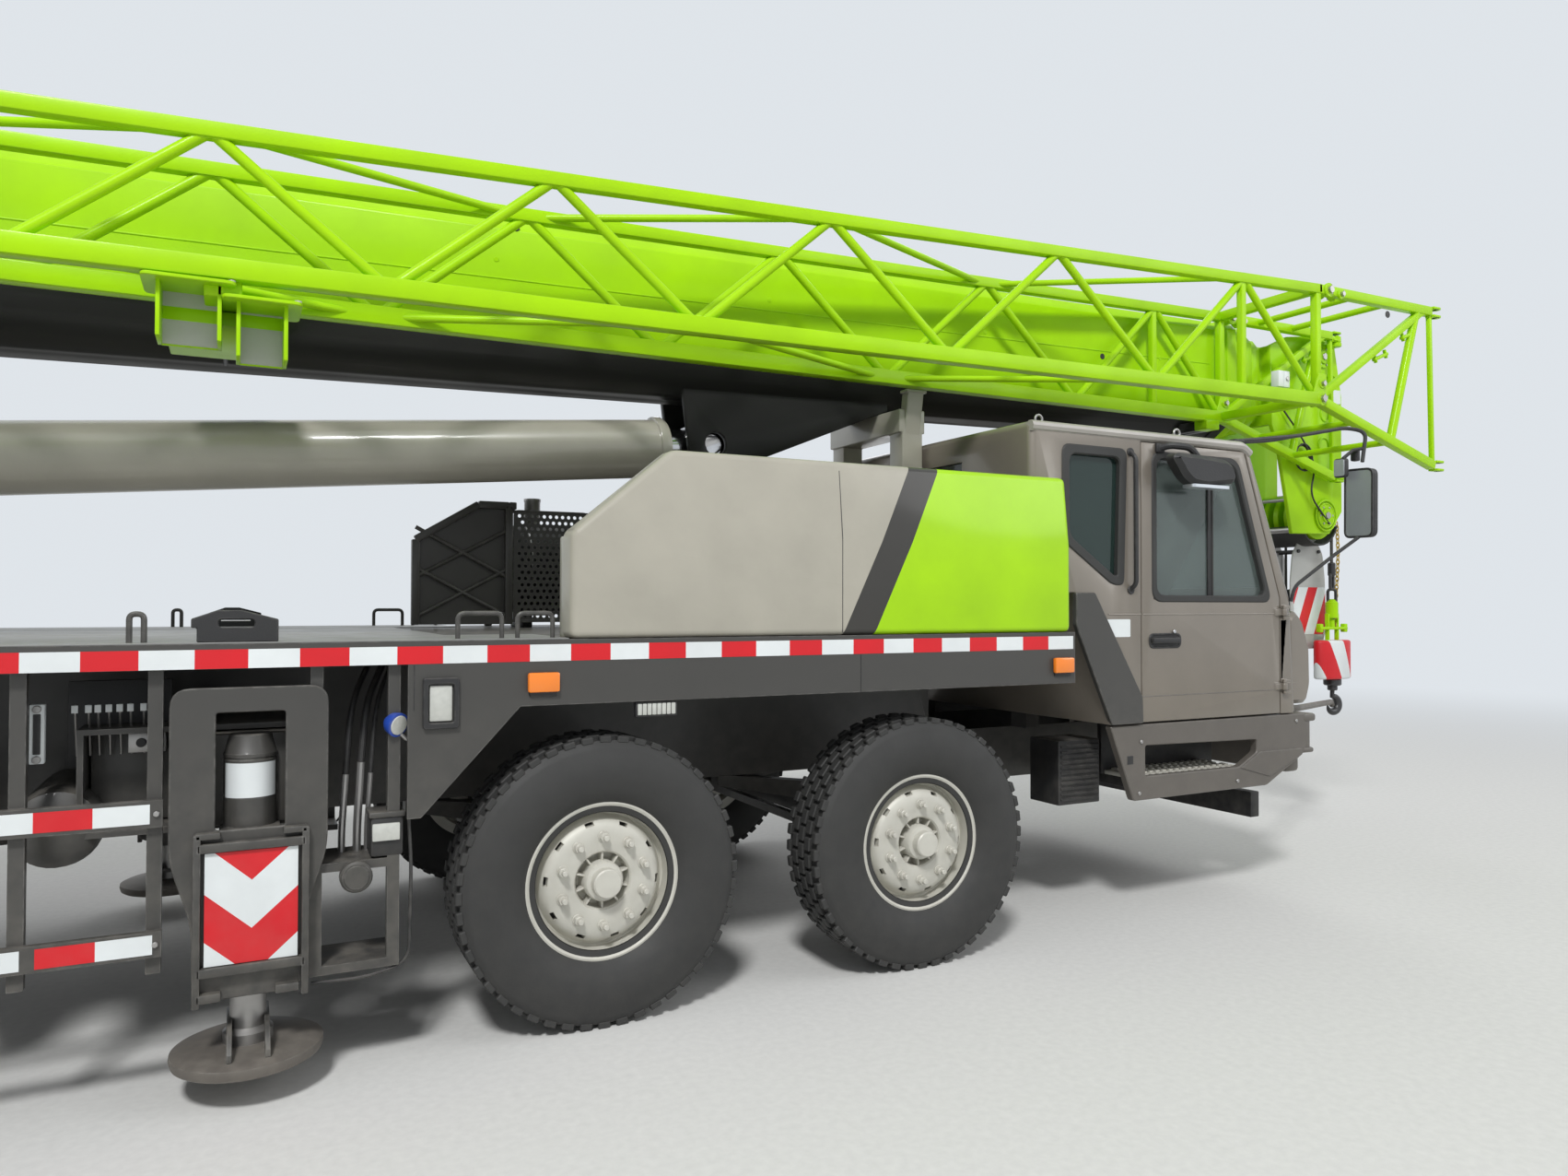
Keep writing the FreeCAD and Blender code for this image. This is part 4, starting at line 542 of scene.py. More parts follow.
def rim_shape(face, back, disc_out):
    """A disc with its slots, nuts and hub ribs. Slots come as pockets pushed in from the spun face, and their black is
    painted shade.
    """
    rim = spun(face + back, RIM_STEPS, closed=False)
    slots = []
    for each in rim.faces:
        middle = each.calc_center_median()
        radius = math.hypot(middle.x, middle.z)
        step = int((math.atan2(middle.z, middle.x) % (2 * math.pi)) / (2 * math.pi / RIM_STEPS))
        if middle.y > disc_out - 0.035 and 0.213 < radius < 0.225 and step % 8 < 2:
            slots.append(each)
    pushed = bmesh.ops.extrude_face_region(rim, geom=slots)
    bmesh.ops.delete(rim, geom=slots, context="FACES_ONLY")
    corners = [each for each in pushed["geom"] if isinstance(each, bmesh.types.BMVert)]
    bmesh.ops.translate(rim, vec=(0, -0.030, 0), verts=corners)
    # The pockets' walls and floors take black: painted shade for the dark hole through the disc.
    for each in pushed["geom"]:
        if isinstance(each, bmesh.types.BMFace):
            each.material_index = 1
    whole = bmesh.new()
    joined(whole, rim, None)
    for number in range(10):
        turn = Matrix.Rotation(2 * math.pi * (number + 0.5) / 10, 4, "Y")
        disc(whole, (NUT_CIRCLE, disc_out + 0.002, 0), "y", 0.022, 0.006, place=turn)
        disc(whole, (NUT_CIRCLE, disc_out + 0.016, 0), "y", 0.0195, 0.024, sides=6, place=turn)
        disc(whole, (NUT_CIRCLE, disc_out + 0.036, 0), "y", 0.011, 0.022, sides=14, place=turn)
        if face is FRONT_RIM:
            slab(whole, (0.073, 0.038, -0.004), (0.107, 0.088, 0.004), 0.003, place=turn)
    return kept(whole)


tread = bmesh.new()
tyre_loop = [(across, radius) for across, radius in TYRE_SIDE]
tyre_loop += [(-across, radius) for across, radius in reversed(TYRE_SIDE)]
joined(tread, spun(tyre_loop, 96, closed=True))
for across, wide, long, offset in TREAD_ROWS:
    for pitch in range(PITCHES):
        roll = Matrix.Rotation(2 * math.pi * (pitch + offset) / PITCHES, 4, "Y")
        slab(tread, (-long / 2, across - wide / 2, TREAD_LOW), (long / 2, across + wide / 2, TREAD_TOP), 0.004,
             place=roll, segments=1)
tyre_data = kept(tread)
front_data = rim_shape(FRONT_RIM, FRONT_BACK, 0.100)
rear_data = rim_shape(REAR_RIM, REAR_BACK, 0.030)


def wheel_place(node, side):
    """Where a wheel's middle is, with its outer face turned outwards."""
    low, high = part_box(node)
    middle = (Vector(low) + Vector(high)) / 2
    return middle, Matrix.Rotation(math.pi if side < 0 else 0, 4, "Z")


for axle in ("1", "2"):
    for mark, side in (("r", -1), ("l", 1)):
        middle, outward = wheel_place("front_tyre_" + axle + mark, side)
        place = Matrix.Translation(middle) @ outward
        rolling = bmesh.new()
        copied(rolling, tyre_data, place)
        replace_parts(piece("tread_" + axle + mark, rolling, "wheel_" + axle + mark, "tyre", rubber),
                    "front_tyre_" + axle + mark)
        rim = bmesh.new()
        copied(rim, front_data, place)
        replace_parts(piece("disc_" + axle + mark, rim, "wheel_" + axle + mark, "rim_silver", rim_paint, black_plastic),
                    "front_rim_" + axle + mark)
for axle in ("3", "4"):
    for mark, side in (("r", -1), ("l", 1)):
        middle, outward = wheel_place("rear_wheels_" + axle + mark, side)
        middle.y = side * 1.037
        place = Matrix.Translation(middle) @ outward
        rolling = bmesh.new()
        for half in (-TWIN_HALF, TWIN_HALF):
            copied(rolling, tyre_data, place @ Matrix.Translation((0, half, 0)))
        twin = piece("tread_" + axle + mark, rolling, "wheels_" + axle + mark, "tyre", rubber)
        rim = bmesh.new()
        copied(rim, rear_data, place)
        piece("disc_" + axle + mark, rim, "wheels_" + axle + mark, "rim_silver", rim_paint, black_plastic)
        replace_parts(twin, "rear_wheels_" + axle + mark)

# Deck: folded steel edges in charcoal, pale chequer plate on top, and reflective tape along both edges.
# Amber side lamps, a work lamp and hand-holds are screwed or welded on.

EDGE_Y = 1.375
TAPE_START = -6.622
TAPE_BLOCK = 0.1515
TAPE_SPAN = (1.391, 1.452)
TAPE_THICK = 0.0012
AMBER_LAMPS = ((0.547, 1.315), (3.006, 1.316), (-3.98, 1.315), (-5.35, 1.315))
STAPLES = ((-0.725, 0.020), (0.336, 0.078), (0.536, 0.065))


def rounded(points, radius, steps=5, closed=True):
    """The same path with its corners rounded."""
    path = [Vector(point) for point in points]
    smooth = []
    for index, here in enumerate(path):
        if not closed and index in (0, len(path) - 1):
            smooth.append(here)
            continue
        back = path[index - 1] - here
        forth = path[(index + 1) % len(path)] - here
        reach = min(radius, back.length * 0.45, forth.length * 0.45)
        start = here + back.normalized() * reach
        end = here + forth.normalized() * reach
        for step in range(steps + 1):
            share = step / steps
            smooth.append(start * (1 - share) ** 2 + here * 2 * share * (1 - share) + end * share ** 2)
    return smooth


def panel(mesh, outlines, span, axis="y", soft=0.003, finish=0, place=None):
    """A plate, the first outline being its edge and the others its holes."""
    part = bmesh.new()
    thick = "xyz".index(axis)
    for outline in outlines:
        ring = []
        for corner in outline:
            point = list(corner)
            point.insert(thick, span[0])
            ring.append(part.verts.new(point))
        for pair in zip(ring, ring[1:] + ring[:1]):
            part.edges.new(pair)
    bmesh.ops.triangle_fill(part, use_beauty=True, edges=part.edges[:])
    grown = bmesh.ops.extrude_face_region(part, geom=part.faces[:])
    shift = Vector()
    shift[thick] = span[1] - span[0]
    bmesh.ops.translate(part, vec=shift, verts=[one for one in grown["geom"] if isinstance(one, bmesh.types.BMVert)])
    bmesh.ops.recalc_face_normals(part, faces=part.faces)
    softened(part, soft, 1)
    joined(mesh, part, finish, place)


def pipe(mesh, points, radius, finish=0, closed=False, sides=3, place=None):
    """A round bar or tube along a path."""
    curve = bpy.data.curves.new("pipe", "CURVE")
    curve.dimensions = "3D"
    curve.bevel_depth = radius
    curve.bevel_resolution = sides
    curve.use_fill_caps = True
    line = curve.splines.new("POLY")
    line.points.add(len(points) - 1)
    for spot, point in zip(line.points, points):
        spot.co = (*point, 1)
    line.use_cyclic_u = closed
    holder = bpy.data.objects.new("pipe", curve)
    made = bpy.data.meshes.new_from_object(holder)
    part = bmesh.new()
    part.from_mesh(made)
    joined(mesh, part, finish, place)
    bpy.data.objects.remove(holder)
    bpy.data.curves.remove(curve)
    bpy.data.meshes.remove(made)


def box_of(low, high):
    """A rectangle's corners."""
    return [(low[0], low[1]), (high[0], low[1]), (high[0], high[1]), (low[0], high[1])]


tape = bmesh.new()
for side in (-1, 1):
    faces = sorted([side * EDGE_Y, side * (EDGE_Y + TAPE_THICK)])
    for number in range(64):
        start = TAPE_START + number * TAPE_BLOCK
        slab(tape, (start, faces[0], TAPE_SPAN[0]), (start + TAPE_BLOCK, faces[1], TAPE_SPAN[1]), 0, (number + 1) % 2)
piece("edge_tape", tape, "carrier", "trim_beige", white_tape, red_tape)

lamps = bmesh.new()
for side in (-1, 1):
    for x, z in AMBER_LAMPS:
        slab(lamps, (x - 0.058, side * 1.388 - 0.012, z - 0.036), (x + 0.058, side * 1.388 + 0.012, z + 0.036), 0.008, 0)
        slab(lamps, (x - 0.050, side * 1.378 - 0.006, z - 0.052), (x + 0.050, side * 1.378 + 0.006, z + 0.030), 0.004, 1)
    slab(lamps, (0.905, side * 1.352 - 0.012, 1.168), (1.075, side * 1.352 + 0.012, 1.228), 0.006, 1)
    for cell in range(8):
        slab(lamps, (0.913 + cell * 0.0195, side * 1.364 - 0.004, 1.176), (0.930 + cell * 0.0195, side * 1.364 + 0.004, 1.220),
             0.003, 2)
    panel(lamps, [rounded(box_of((0.128, 1.165), (0.250, 1.342)), 0.012), rounded(box_of((0.146, 1.186), (0.232, 1.320)), 0.010)],
          sorted((side * 1.374, side * 1.392)), finish=1)
    slab(lamps, (0.150, side * 1.374 - 0.008, 1.190), (0.228, side * 1.374 + 0.008, 1.316), 0.006, 2)
piece("side_lamps", lamps, "carrier", "trim_beige", amber_lens, black_plastic, clear_lens)

deck_plate = bmesh.new()
for side in (-1, 1):
    panel(deck_plate, [box_of((-2.21, min(side * 0.80, side * 1.368)), (0.645, max(side * 0.80, side * 1.368)))],
          (1.4695, 1.4745), axis="z", soft=0.001)
panel(deck_plate, [box_of((-2.21, -0.79), (0.30, 0.79))], (1.4695, 1.4735), axis="z", soft=0.001)
chequer = paint("chequer_plate", (0.33, 0.33, 0.32), gloss=0.4, metal=0.7, dust=0.35, edge=0.2, spread=5.0)
lozenges = chequer.node_tree
spot = lozenges.nodes.new("ShaderNodeTexCoord")
slant = lozenges.nodes.new("ShaderNodeMapping")
slant.inputs["Rotation"].default_value = (0, 0, math.pi / 4)
slant.inputs["Scale"].default_value = (30, 60, 1)
wire(lozenges, spot.outputs["Object"], slant.inputs["Vector"])
cells = lozenges.nodes.new("ShaderNodeTexVoronoi")
cells.inputs["Scale"].default_value = 1.0
cells.inputs["Randomness"].default_value = 0.1
wire(lozenges, slant.outputs["Vector"], cells.inputs["Vector"])
raised = lozenges.nodes.new("ShaderNodeBump")
raised.inputs["Strength"].default_value = 0.8
raised.inputs["Distance"].default_value = 0.004
wire(lozenges, ramp(lozenges, cells.outputs["Distance"], 0.35, 0.2), raised.inputs["Height"])
wire(lozenges, lozenges.nodes["Bump"].outputs["Normal"], raised.inputs["Normal"])
wire(lozenges, raised.outputs["Normal"], lozenges.nodes["Principled BSDF"].inputs["Normal"])
piece("chequer_deck", deck_plate, "carrier", "carrier_grey", chequer)

fittings = bmesh.new()
for side in (-1, 1):
    for x, half in STAPLES:
        loop = [(x - half, side * 1.30, 1.470), (x - half, side * 1.30, 1.565), (x + half, side * 1.30, 1.565),
                (x + half, side * 1.30, 1.470)]
        pipe(fittings, rounded(loop, 0.025, closed=False), 0.009)
    for x in (1.90, 0.10):
        slab(fittings, (x - 0.0015, side * 1.3755 - 0.0008, 1.232), (x + 0.0015, side * 1.3755 + 0.0008, 1.388), 0, 1)
cover = [(-0.574, 1.550), (-0.499, 1.578), (-0.430, 1.578), (-0.322, 1.548), (-0.322, 1.4745), (-0.558, 1.4745), (-0.558, 1.520),
         (-0.574, 1.521)]
grip = rounded(box_of((-0.497, 1.522), (-0.392, 1.548)), 0.012)
for side in (-1, 1):
    panel(fittings, [cover, grip], sorted((side * 1.33, side * 1.35)), soft=0.003, finish=1)
    pipe(fittings, [(-0.490, side * 1.34, 1.545), (-0.405, side * 1.34, 1.545)], 0.004, 2)
piece("deck_fittings", fittings, "carrier", "carrier_grey", charcoal_paint, black_plastic, chrome)

# Side guards and steps: square steel tubes in charcoal, welded into frames that hang below the deck.
# Short lengths of tape, a level gauge, the outrigger levers and their hoses are fixed among them.

RAIL_FACE = 1.360
RAIL_TAPES = (
    # low, high, runs of (start, end, red)
    (0.912, 0.973, ((-1.135, -0.980, 0), (-0.980, -0.830, 1), (-0.830, -0.680, 0), (-2.30, -2.15, 1), (-2.15, -2.0, 0),
                    (-1.75, -1.60, 1), (-1.60, -1.45, 0))),
    (0.507, 0.567, ((-1.125, -1.010, 0), (-0.972, -0.820, 1), (-0.820, -0.670, 0), (-2.30, -2.15, 1), (-2.15, -2.0, 0),
                    (-1.75, -1.60, 1), (-1.60, -1.45, 0))),
)
LEVERS = (-0.905, -0.868, -0.842, -0.812, -0.782, -0.752, -0.715)
HOSES = ((-0.112, 0.012, 1.00), (-0.062, 0.014, 1.04), (-0.030, 0.009, 1.00))
rails = bmesh.new()
for side in (-1, 1):
    faces = sorted([side * RAIL_FACE, side * (RAIL_FACE + TAPE_THICK)])
    for low, high, runs in RAIL_TAPES:
        for start, end, red in runs:
            slab(rails, (start, faces[0], low), (end, faces[1], high), 0, red)
        for x in (-0.662, -2.50):
            disc(rails, (x, side * 1.364, (low + high) / 2), "y", 0.010, 0.010, sides=6, finish=2)
piece("rail_tape", rails, "carrier", "trim_beige", white_tape, red_tape, bare_steel)

controls = bmesh.new()
slab(controls, (-1.012, -1.222, 1.100), (-0.972, -1.190, 1.285), 0.004, 0)
slab(controls, (-1.002, -1.226, 1.130), (-0.982, -1.220, 1.255), 0.002, 2)
for z in (1.114, 1.270):
    disc(controls, (-0.992, -1.226, z), "y", 0.012, 0.012, finish=1)
# A black sheet behind the levers stands for the deep shade inside the guard frame: painted shade.
slab(controls, (-0.940, -0.985, 1.050), (-0.640, -0.965, 1.340), 0.004, 2)
for x in LEVERS:
    pipe(controls, [(x, -1.06, 1.10), (x, -1.12, 1.27)], 0.004, 1)
    slab(controls, (x - 0.009, -1.130, 1.245), (x + 0.009, -1.124, 1.270), 0.001, 0)
slab(controls, (-0.760, -1.10, 1.105), (-0.650, -1.02, 1.170), 0.004, 1)
for x in (-0.722, -0.685):
    disc(controls, (x, -1.103, 1.138), "y", 0.015, 0.014, finish=2)
for x, radius, top in HOSES:
    pipe(controls, rounded([(x, -1.18, 0.70), (x, -1.18, 0.80), (x + 0.012, -1.18, top)], 0.05, closed=False), radius, 1)
    pipe(controls, rounded([(x + 0.012, -1.18, top), (x + 0.03, -1.16, 1.25), (x + 0.12, -0.95, 1.40)], 0.2, closed=False),
         radius * 0.9, 2)
    disc(controls, (x, -1.18, 0.70), "z", radius * 1.5, 0.05, sides=6, finish=1)
piece("outrigger_controls", controls, "carrier", "carrier_grey", white_tape, bare_steel, black_plastic)

steps = bmesh.new()
for side in (-1, 1):
    disc(steps, (-0.080, side * 1.352, 0.680), "y", 0.052, 0.050, finish=0, soft=0.006)
    disc(steps, (-0.080, side * 1.379, 0.680), "y", 0.040, 0.006, finish=0, soft=0.002)
    slab(steps, (-0.035, side * 1.29 - 0.06, 0.735), (0.072, side * 1.29 + 0.06, 0.872), 0.012, 1)
    slab(steps, (-0.040, side * 1.29 - 0.065, 0.868), (0.078, side * 1.29 + 0.065, 0.888), 0.006, 0)
    slab(steps, (-0.030, side * 1.355 - 0.006, 0.790), (0.060, side * 1.355 + 0.006, 0.850), 0.008, 2)
    pipe(steps, rounded([(0.090, side * 1.33, 0.88), (0.100, side * 1.335, 0.70), (0.094, side * 1.335, 0.36),
                         (-0.05, side * 1.335, 0.33), (-0.215, side * 1.33, 0.335)], 0.06, closed=False), 0.006, 1)
dome = spun(((-0.045, 0.0), (-0.040, 0.020), (-0.020, 0.036), (0.004, 0.042), (0.012, 0.042), (0.012, 0.0)), 24)
joined(steps, dome, 3, Matrix.Translation((0.045, -1.352, 1.185)) @ Matrix.Rotation(math.radians(215), 4, "Z")
       @ Matrix.Rotation(math.radians(-12), 4, "X"))
disc(steps, (0.0, 0.014, 0), "y", 0.034, 0.006, finish=2, place=Matrix.Translation((0.045, -1.352, 1.185))
     @ Matrix.Rotation(math.radians(215), 4, "Z") @ Matrix.Rotation(math.radians(-12), 4, "X"))
pipe(steps, rounded([(0.062, -1.345, 1.150), (0.085, -1.345, 1.125), (0.100, -1.345, 1.15), (0.105, -1.34, 1.25)], 0.02,
                    closed=False), 0.007, 4)
piece("step_fittings", steps, "carrier", "carrier_grey", charcoal_paint, black_plastic, clear_lens, blue_plastic, bare_steel)

# Outriggers: a box beam slides out of each frame sleeve with the jack at its end, behind a flame-cut shield.
# The shield carries a chevron board in a welded bracket, and the jack's round float hangs below.

SHIELD_HALF = 0.230
WINDOW_HALF = 0.101
JACK_Y = 1.262
BOARD_HALF = 0.134
BOARD_SPAN = (0.456, 0.811)
CHEVRON_TIPS = (0.413, 0.563, 0.716)
float_steel = paint("float_steel", (0.150, 0.135, 0.118), gloss=0.5, metal=0.3, dust=0.3, edge=0.4, under=(0.4, 0.38, 0.35))
CHEVRON_SLOPE = 0.90
JACK_SKIN = ((0.34, 0.0), (0.34, 0.080), (0.965, 0.080), (0.968, 0.078), (0.974, 0.078), (0.977, 0.080), (1.088, 0.080),
             (1.090, 0.077), (1.096, 0.077), (1.098, 0.081), (1.108, 0.081), (1.112, 0.078), (1.168, 0.064),
             (1.172, 0.058), (1.172, 0.0))


def chevron_board(mesh, middle, low_y, high_y):
    """A board cut along the chevron lines, so that each stripe's edge is crisp."""
    part = bmesh.new()
    low = Vector((middle - BOARD_HALF, low_y, BOARD_SPAN[0]))
    high = Vector((middle + BOARD_HALF, high_y, BOARD_SPAN[1]))
    shape = Matrix.Translation((low + high) / 2) @ Matrix.Diagonal((*(high - low), 1))
    bmesh.ops.create_cube(part, size=1, matrix=shape)
    bmesh.ops.bisect_plane(part, geom=part.verts[:] + part.edges[:] + part.faces[:], plane_co=(middle, 0, 0),
                           plane_no=(1, 0, 0))
    for tip in CHEVRON_TIPS:
        for way in (-1, 1):
            whole = part.verts[:] + part.edges[:] + part.faces[:]
            bmesh.ops.bisect_plane(part, geom=whole, plane_co=(middle, 0, tip), plane_no=(-way * CHEVRON_SLOPE, 0, 1))
    for face in part.faces:
        spot = face.calc_center_median()
        drop = spot.z - CHEVRON_SLOPE * abs(spot.x - middle)
        face.material_index = 1 if CHEVRON_TIPS[0] < drop < CHEVRON_TIPS[1] or drop > CHEVRON_TIPS[2] else 0
    joined(mesh, part, None)


for place in ("front_r", "front_l", "rear_r", "rear_l"):
    side = -1 if place.endswith("r") else 1
    low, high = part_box("jack_" + place)
    middle = (low[0] + high[0]) / 2
    turn = Matrix.Translation((middle, side * JACK_Y, 0)) @ Matrix.Rotation(math.pi / 2, 4, "X")
    arm = bmesh.new()
    shield = [(-SHIELD_HALF, 0.79), (-SHIELD_HALF, 1.33), (SHIELD_HALF, 1.33), (SHIELD_HALF, 0.79), (0.166, 0.59),
              (0.161, 0.34), (-0.161, 0.34), (-0.166, 0.59)]
    window = [(-WINDOW_HALF, 0.875), (WINDOW_HALF, 0.875), (WINDOW_HALF, 1.25), (-WINDOW_HALF, 1.25)]
    moved = [[(middle + x, z) for x, z in outline] for outline in (shield, window)]
    panel(arm, [rounded(moved[0], 0.06), rounded(moved[1], 0.01)], sorted((side * 1.355, side * 1.375)), soft=0.003)
    reach = sorted((side * 1.262, side * -1.038))
    slab(arm, (middle - 0.130, reach[0], 0.870), (middle + 0.130, reach[1], 1.170), 0.010)
    slab(arm, (middle - 0.090, min(side * 1.202, side * 1.356), 0.350), (middle + 0.090, max(side * 1.202, side * 1.356), 0.872), 0.006)
    joined(arm, spun([(height, radius) for height, radius in JACK_SKIN], 48), 0, turn)
    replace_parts(piece("outrigger_" + place, arm, "beam_" + place, "carrier_grey", charcoal_paint),
                "outrigger_beam_" + place)

    board = bmesh.new()
    face = sorted((side * 1.392, side * 1.400))
    chevron_board(board, middle + 0.006, *face)
    piece("chevron_board_" + place, board, "beam_" + place, "trim_beige", white_tape, red_tape)
    bracket = bmesh.new()
    post = sorted((side * 1.376, side * 1.412))
    for x in (-0.150, 0.162):
        slab(bracket, (middle + x - 0.011, post[0], 0.331), (middle + x + 0.011, post[1], 0.872), 0.004)
    slab(bracket, (middle - 0.155, post[0], 0.856), (middle - 0.085, post[1], 0.876), 0.004)
    slab(bracket, (middle + 0.096, post[0], 0.856), (middle + 0.167, post[1], 0.876), 0.004)
    slab(bracket, (middle - 0.150, post[0], 0.814), (middle + 0.162, post[1], 0.842), 0.004)
    slab(bracket, (middle - 0.150, post[0], 0.424), (middle + 0.162, post[1], 0.453), 0.004)
    for x in (-0.115, 0.110):
        slab(bracket, (middle + x - 0.035, post[0], 0.345), (middle + x + 0.035, post[1], 0.372), 0.004)
    piece("board_bracket_" + place, bracket, "beam_" + place, "carrier_grey", charcoal_paint)

    label = spun(((0.968, 0.0803), (0.968, 0.0810), (1.080, 0.0810), (1.080, 0.0803)), 72, closed=True)
    rear = [one for one in label.verts if one.co.z < 0.030]
    bmesh.ops.delete(label, geom=rear, context="VERTS")
    sign = bmesh.new()
    upright_turn = Matrix.Translation((middle, side * JACK_Y, 0)) @ Matrix.Rotation(math.pi if side > 0 else 0, 4, "Z")
    joined(sign, label, 0, upright_turn @ Matrix.Rotation(math.pi / 2, 4, "X"))
    piece("jack_sign_" + place, sign, "beam_" + place, "trim_beige", white_tape)

    foot = bmesh.new()
    float_skin = ((0.110, 0.0), (0.110, 0.215), (0.116, 0.224), (0.135, 0.2297), (0.148, 0.228), (0.158, 0.205), (0.166, 0.12),
                  (0.168, 0.0))
    joined(foot, spun(float_skin, 72), 1, turn)
    ram = ((0.165, 0.0), (0.165, 0.075), (0.20, 0.075), (0.215, 0.055), (1.10, 0.055), (1.10, 0.0))
    joined(foot, spun(ram, 40), 2, turn)
    for x in (-0.055, 0.055):
        rib = [(-0.185, 0.160), (0.185, 0.160), (0.185, 0.185), (0.10, 0.245), (-0.10, 0.245), (-0.185, 0.185)]
        panel(foot, [[(side * JACK_Y + y, z) for y, z in rib]], (middle + x - 0.008, middle + x + 0.008), axis="x", soft=0.002)
    slab(foot, (middle - 0.045, side * JACK_Y - 0.015, 0.222), (middle + 0.045, side * JACK_Y + 0.015, 0.240), 0.004)
    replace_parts(piece("float_" + place, foot, "jack_" + place, "steel", charcoal_paint, float_steel, bare_steel), "jack_" + place)

# Tool box: a long steel locker along the deck edge, its face creased halfway up and its corners rolled.
# It is painted in three colours with the stripe leaning back.

BOX_CREASE = 1.877
BOX_TOP = 2.205
BOX_LEAN = 0.035
tool_low, tool_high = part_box("tool_box")
locker = bmesh.new()
outline = [(tool_low[0], BOX_FLOOR), (tool_high[0], BOX_FLOOR), (tool_high[0], BOX_TOP), (tool_low[0] + 0.410, BOX_TOP),
           (tool_low[0], 1.865)]
box_part = bmesh.new()
corners = [box_part.verts.new((x, tool_low[1], z)) for x, z in outline]
front = box_part.faces.new(corners)
grown = bmesh.ops.extrude_face_region(box_part, geom=[front])
bmesh.ops.translate(box_part, vec=(0, 0.115, 0), verts=[one for one in grown["geom"] if isinstance(one, bmesh.types.BMVert)])
bmesh.ops.bisect_plane(box_part, geom=box_part.verts[:] + box_part.edges[:] + box_part.faces[:],
                       plane_co=(0, 0, BOX_CREASE), plane_no=(0, 0, 1))
bmesh.ops.recalc_face_normals(box_part, faces=box_part.faces)
for corner in box_part.verts:
    if corner.co.y < tool_low[1] + 0.01 and corner.co.z > BOX_CREASE + 0.001:
        corner.co.y += BOX_LEAN * (corner.co.z - BOX_CREASE) / (BOX_TOP - BOX_CREASE)
rolled = [line for line in box_part.edges if len(line.link_faces) == 2 and line.calc_face_angle(0) > 0.6
          and min(one.co.y for one in line.verts) < tool_low[1] + 0.06]
bmesh.ops.bevel(box_part, geom=rolled, offset=0.028, segments=4, affect="EDGES", profile=0.5, material=-1)
joined(locker, box_part)
slab(locker, (tool_low[0] + 0.01, tool_low[1] + 0.110, BOX_FLOOR), (2.920, tool_high[1], 1.86), 0.01)
for x in (1.810,):
    slab(locker, (x - 0.0016, tool_low[1] - 0.0006, BOX_FLOOR + 0.01), (x + 0.0016, tool_low[1] + 0.001, BOX_CREASE), 0, 1)
    slab(locker, (x - 0.0016, tool_low[1] - 0.0006, BOX_CREASE), (x + 0.0016, tool_low[1] + 0.001, BOX_TOP - 0.04), 0, 1,
         place=Matrix.Translation((0, tool_low[1], BOX_CREASE))
         @ Matrix.Rotation(-math.atan2(BOX_LEAN, BOX_TOP - BOX_CREASE), 4, "X")
         @ Matrix.Translation((0, -tool_low[1], -BOX_CREASE)))
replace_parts(piece("locker", locker, "carrier", "trim_beige", box_paint, black_plastic, sharp=24), "tool_box")

# Driver's cab: a welded sheet steel shell in metallic taupe, with pressed doors on outside hinges.
# Its panes sit in black rubber, a drip rail runs round the roof in a lighter taupe that is a painted highlight of the
# sun on its roll, and creases stiffen the doors.

CAB_Y = 1.250
CAB_FRONT = ((4.45, 2.49), (4.79, 1.64), (4.83, 1.0))
CAB_REAR_X = 2.93
CAB_ROOF = 2.49
ROOF_ROUND = 0.036
DOOR_PANE = [(3.735, 1.63), (4.605, 1.63), (4.35, 2.375), (3.735, 2.375)]
QUARTER_PANE = [(3.134, 1.92), (3.45, 1.712), (3.513, 1.712), (3.535, 2.375), (3.134, 2.375)]
SWAGE_Z = 1.552
CREASE_Z = 1.133
PLATE_SPAN = ((3.407, 1.438), (3.568, 1.527))


def eased(node, soft, segments=2):
    """A copy of a CAD node with its flat faces joined up and its crisp edges rounded."""
    part = bmesh.new()
    part.from_mesh(nodes[node].data)
    bmesh.ops.remove_doubles(part, verts=part.verts, dist=1e-5)
    bmesh.ops.dissolve_limit(part, angle_limit=math.radians(0.5), verts=part.verts, edges=part.edges)
    softened(part, soft, segments)
    return part


def replaced(name, part, node, body, material_slot, *finishes):
    """A finished part that takes a CAD node's place."""
    whole = bmesh.new()
    joined(whole, part, None)
    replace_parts(piece(name, whole, body, material_slot, *finishes), node)


def grown(outline, amount):
    """An outline moved outwards, or inwards where the amount is below nought."""
    centre = sum((Vector(point) for point in outline), Vector((0, 0))) / len(outline)
    moved = []
    for index, point in enumerate(outline):
        here = Vector(point)
        back = (Vector(outline[index - 1]) - here).normalized()
        forth = (Vector(outline[(index + 1) % len(outline)]) - here).normalized()
        inward = back + forth
        if inward.dot(centre - here) < 0:
            inward = -inward
        reach = amount / max(0.2, math.sin(back.angle(forth) / 2))
        moved.append(here - inward.normalized() * reach)
    return moved


def both_sides(low, high, side):
    """A span across the machine on one side of it."""
    return sorted((side * low, side * high))


def outer_front(z):
    """How far ahead the cab's front stands at a height."""
    (top_x, top_z), (belt_x, belt_z), (nose_x, nose_z) = CAB_FRONT
    if z > belt_z:
        return belt_x + (top_x - belt_x) * (z - belt_z) / (top_z - belt_z)
    return nose_x + (belt_x - nose_x) * (z - nose_z) / (belt_z - nose_z)


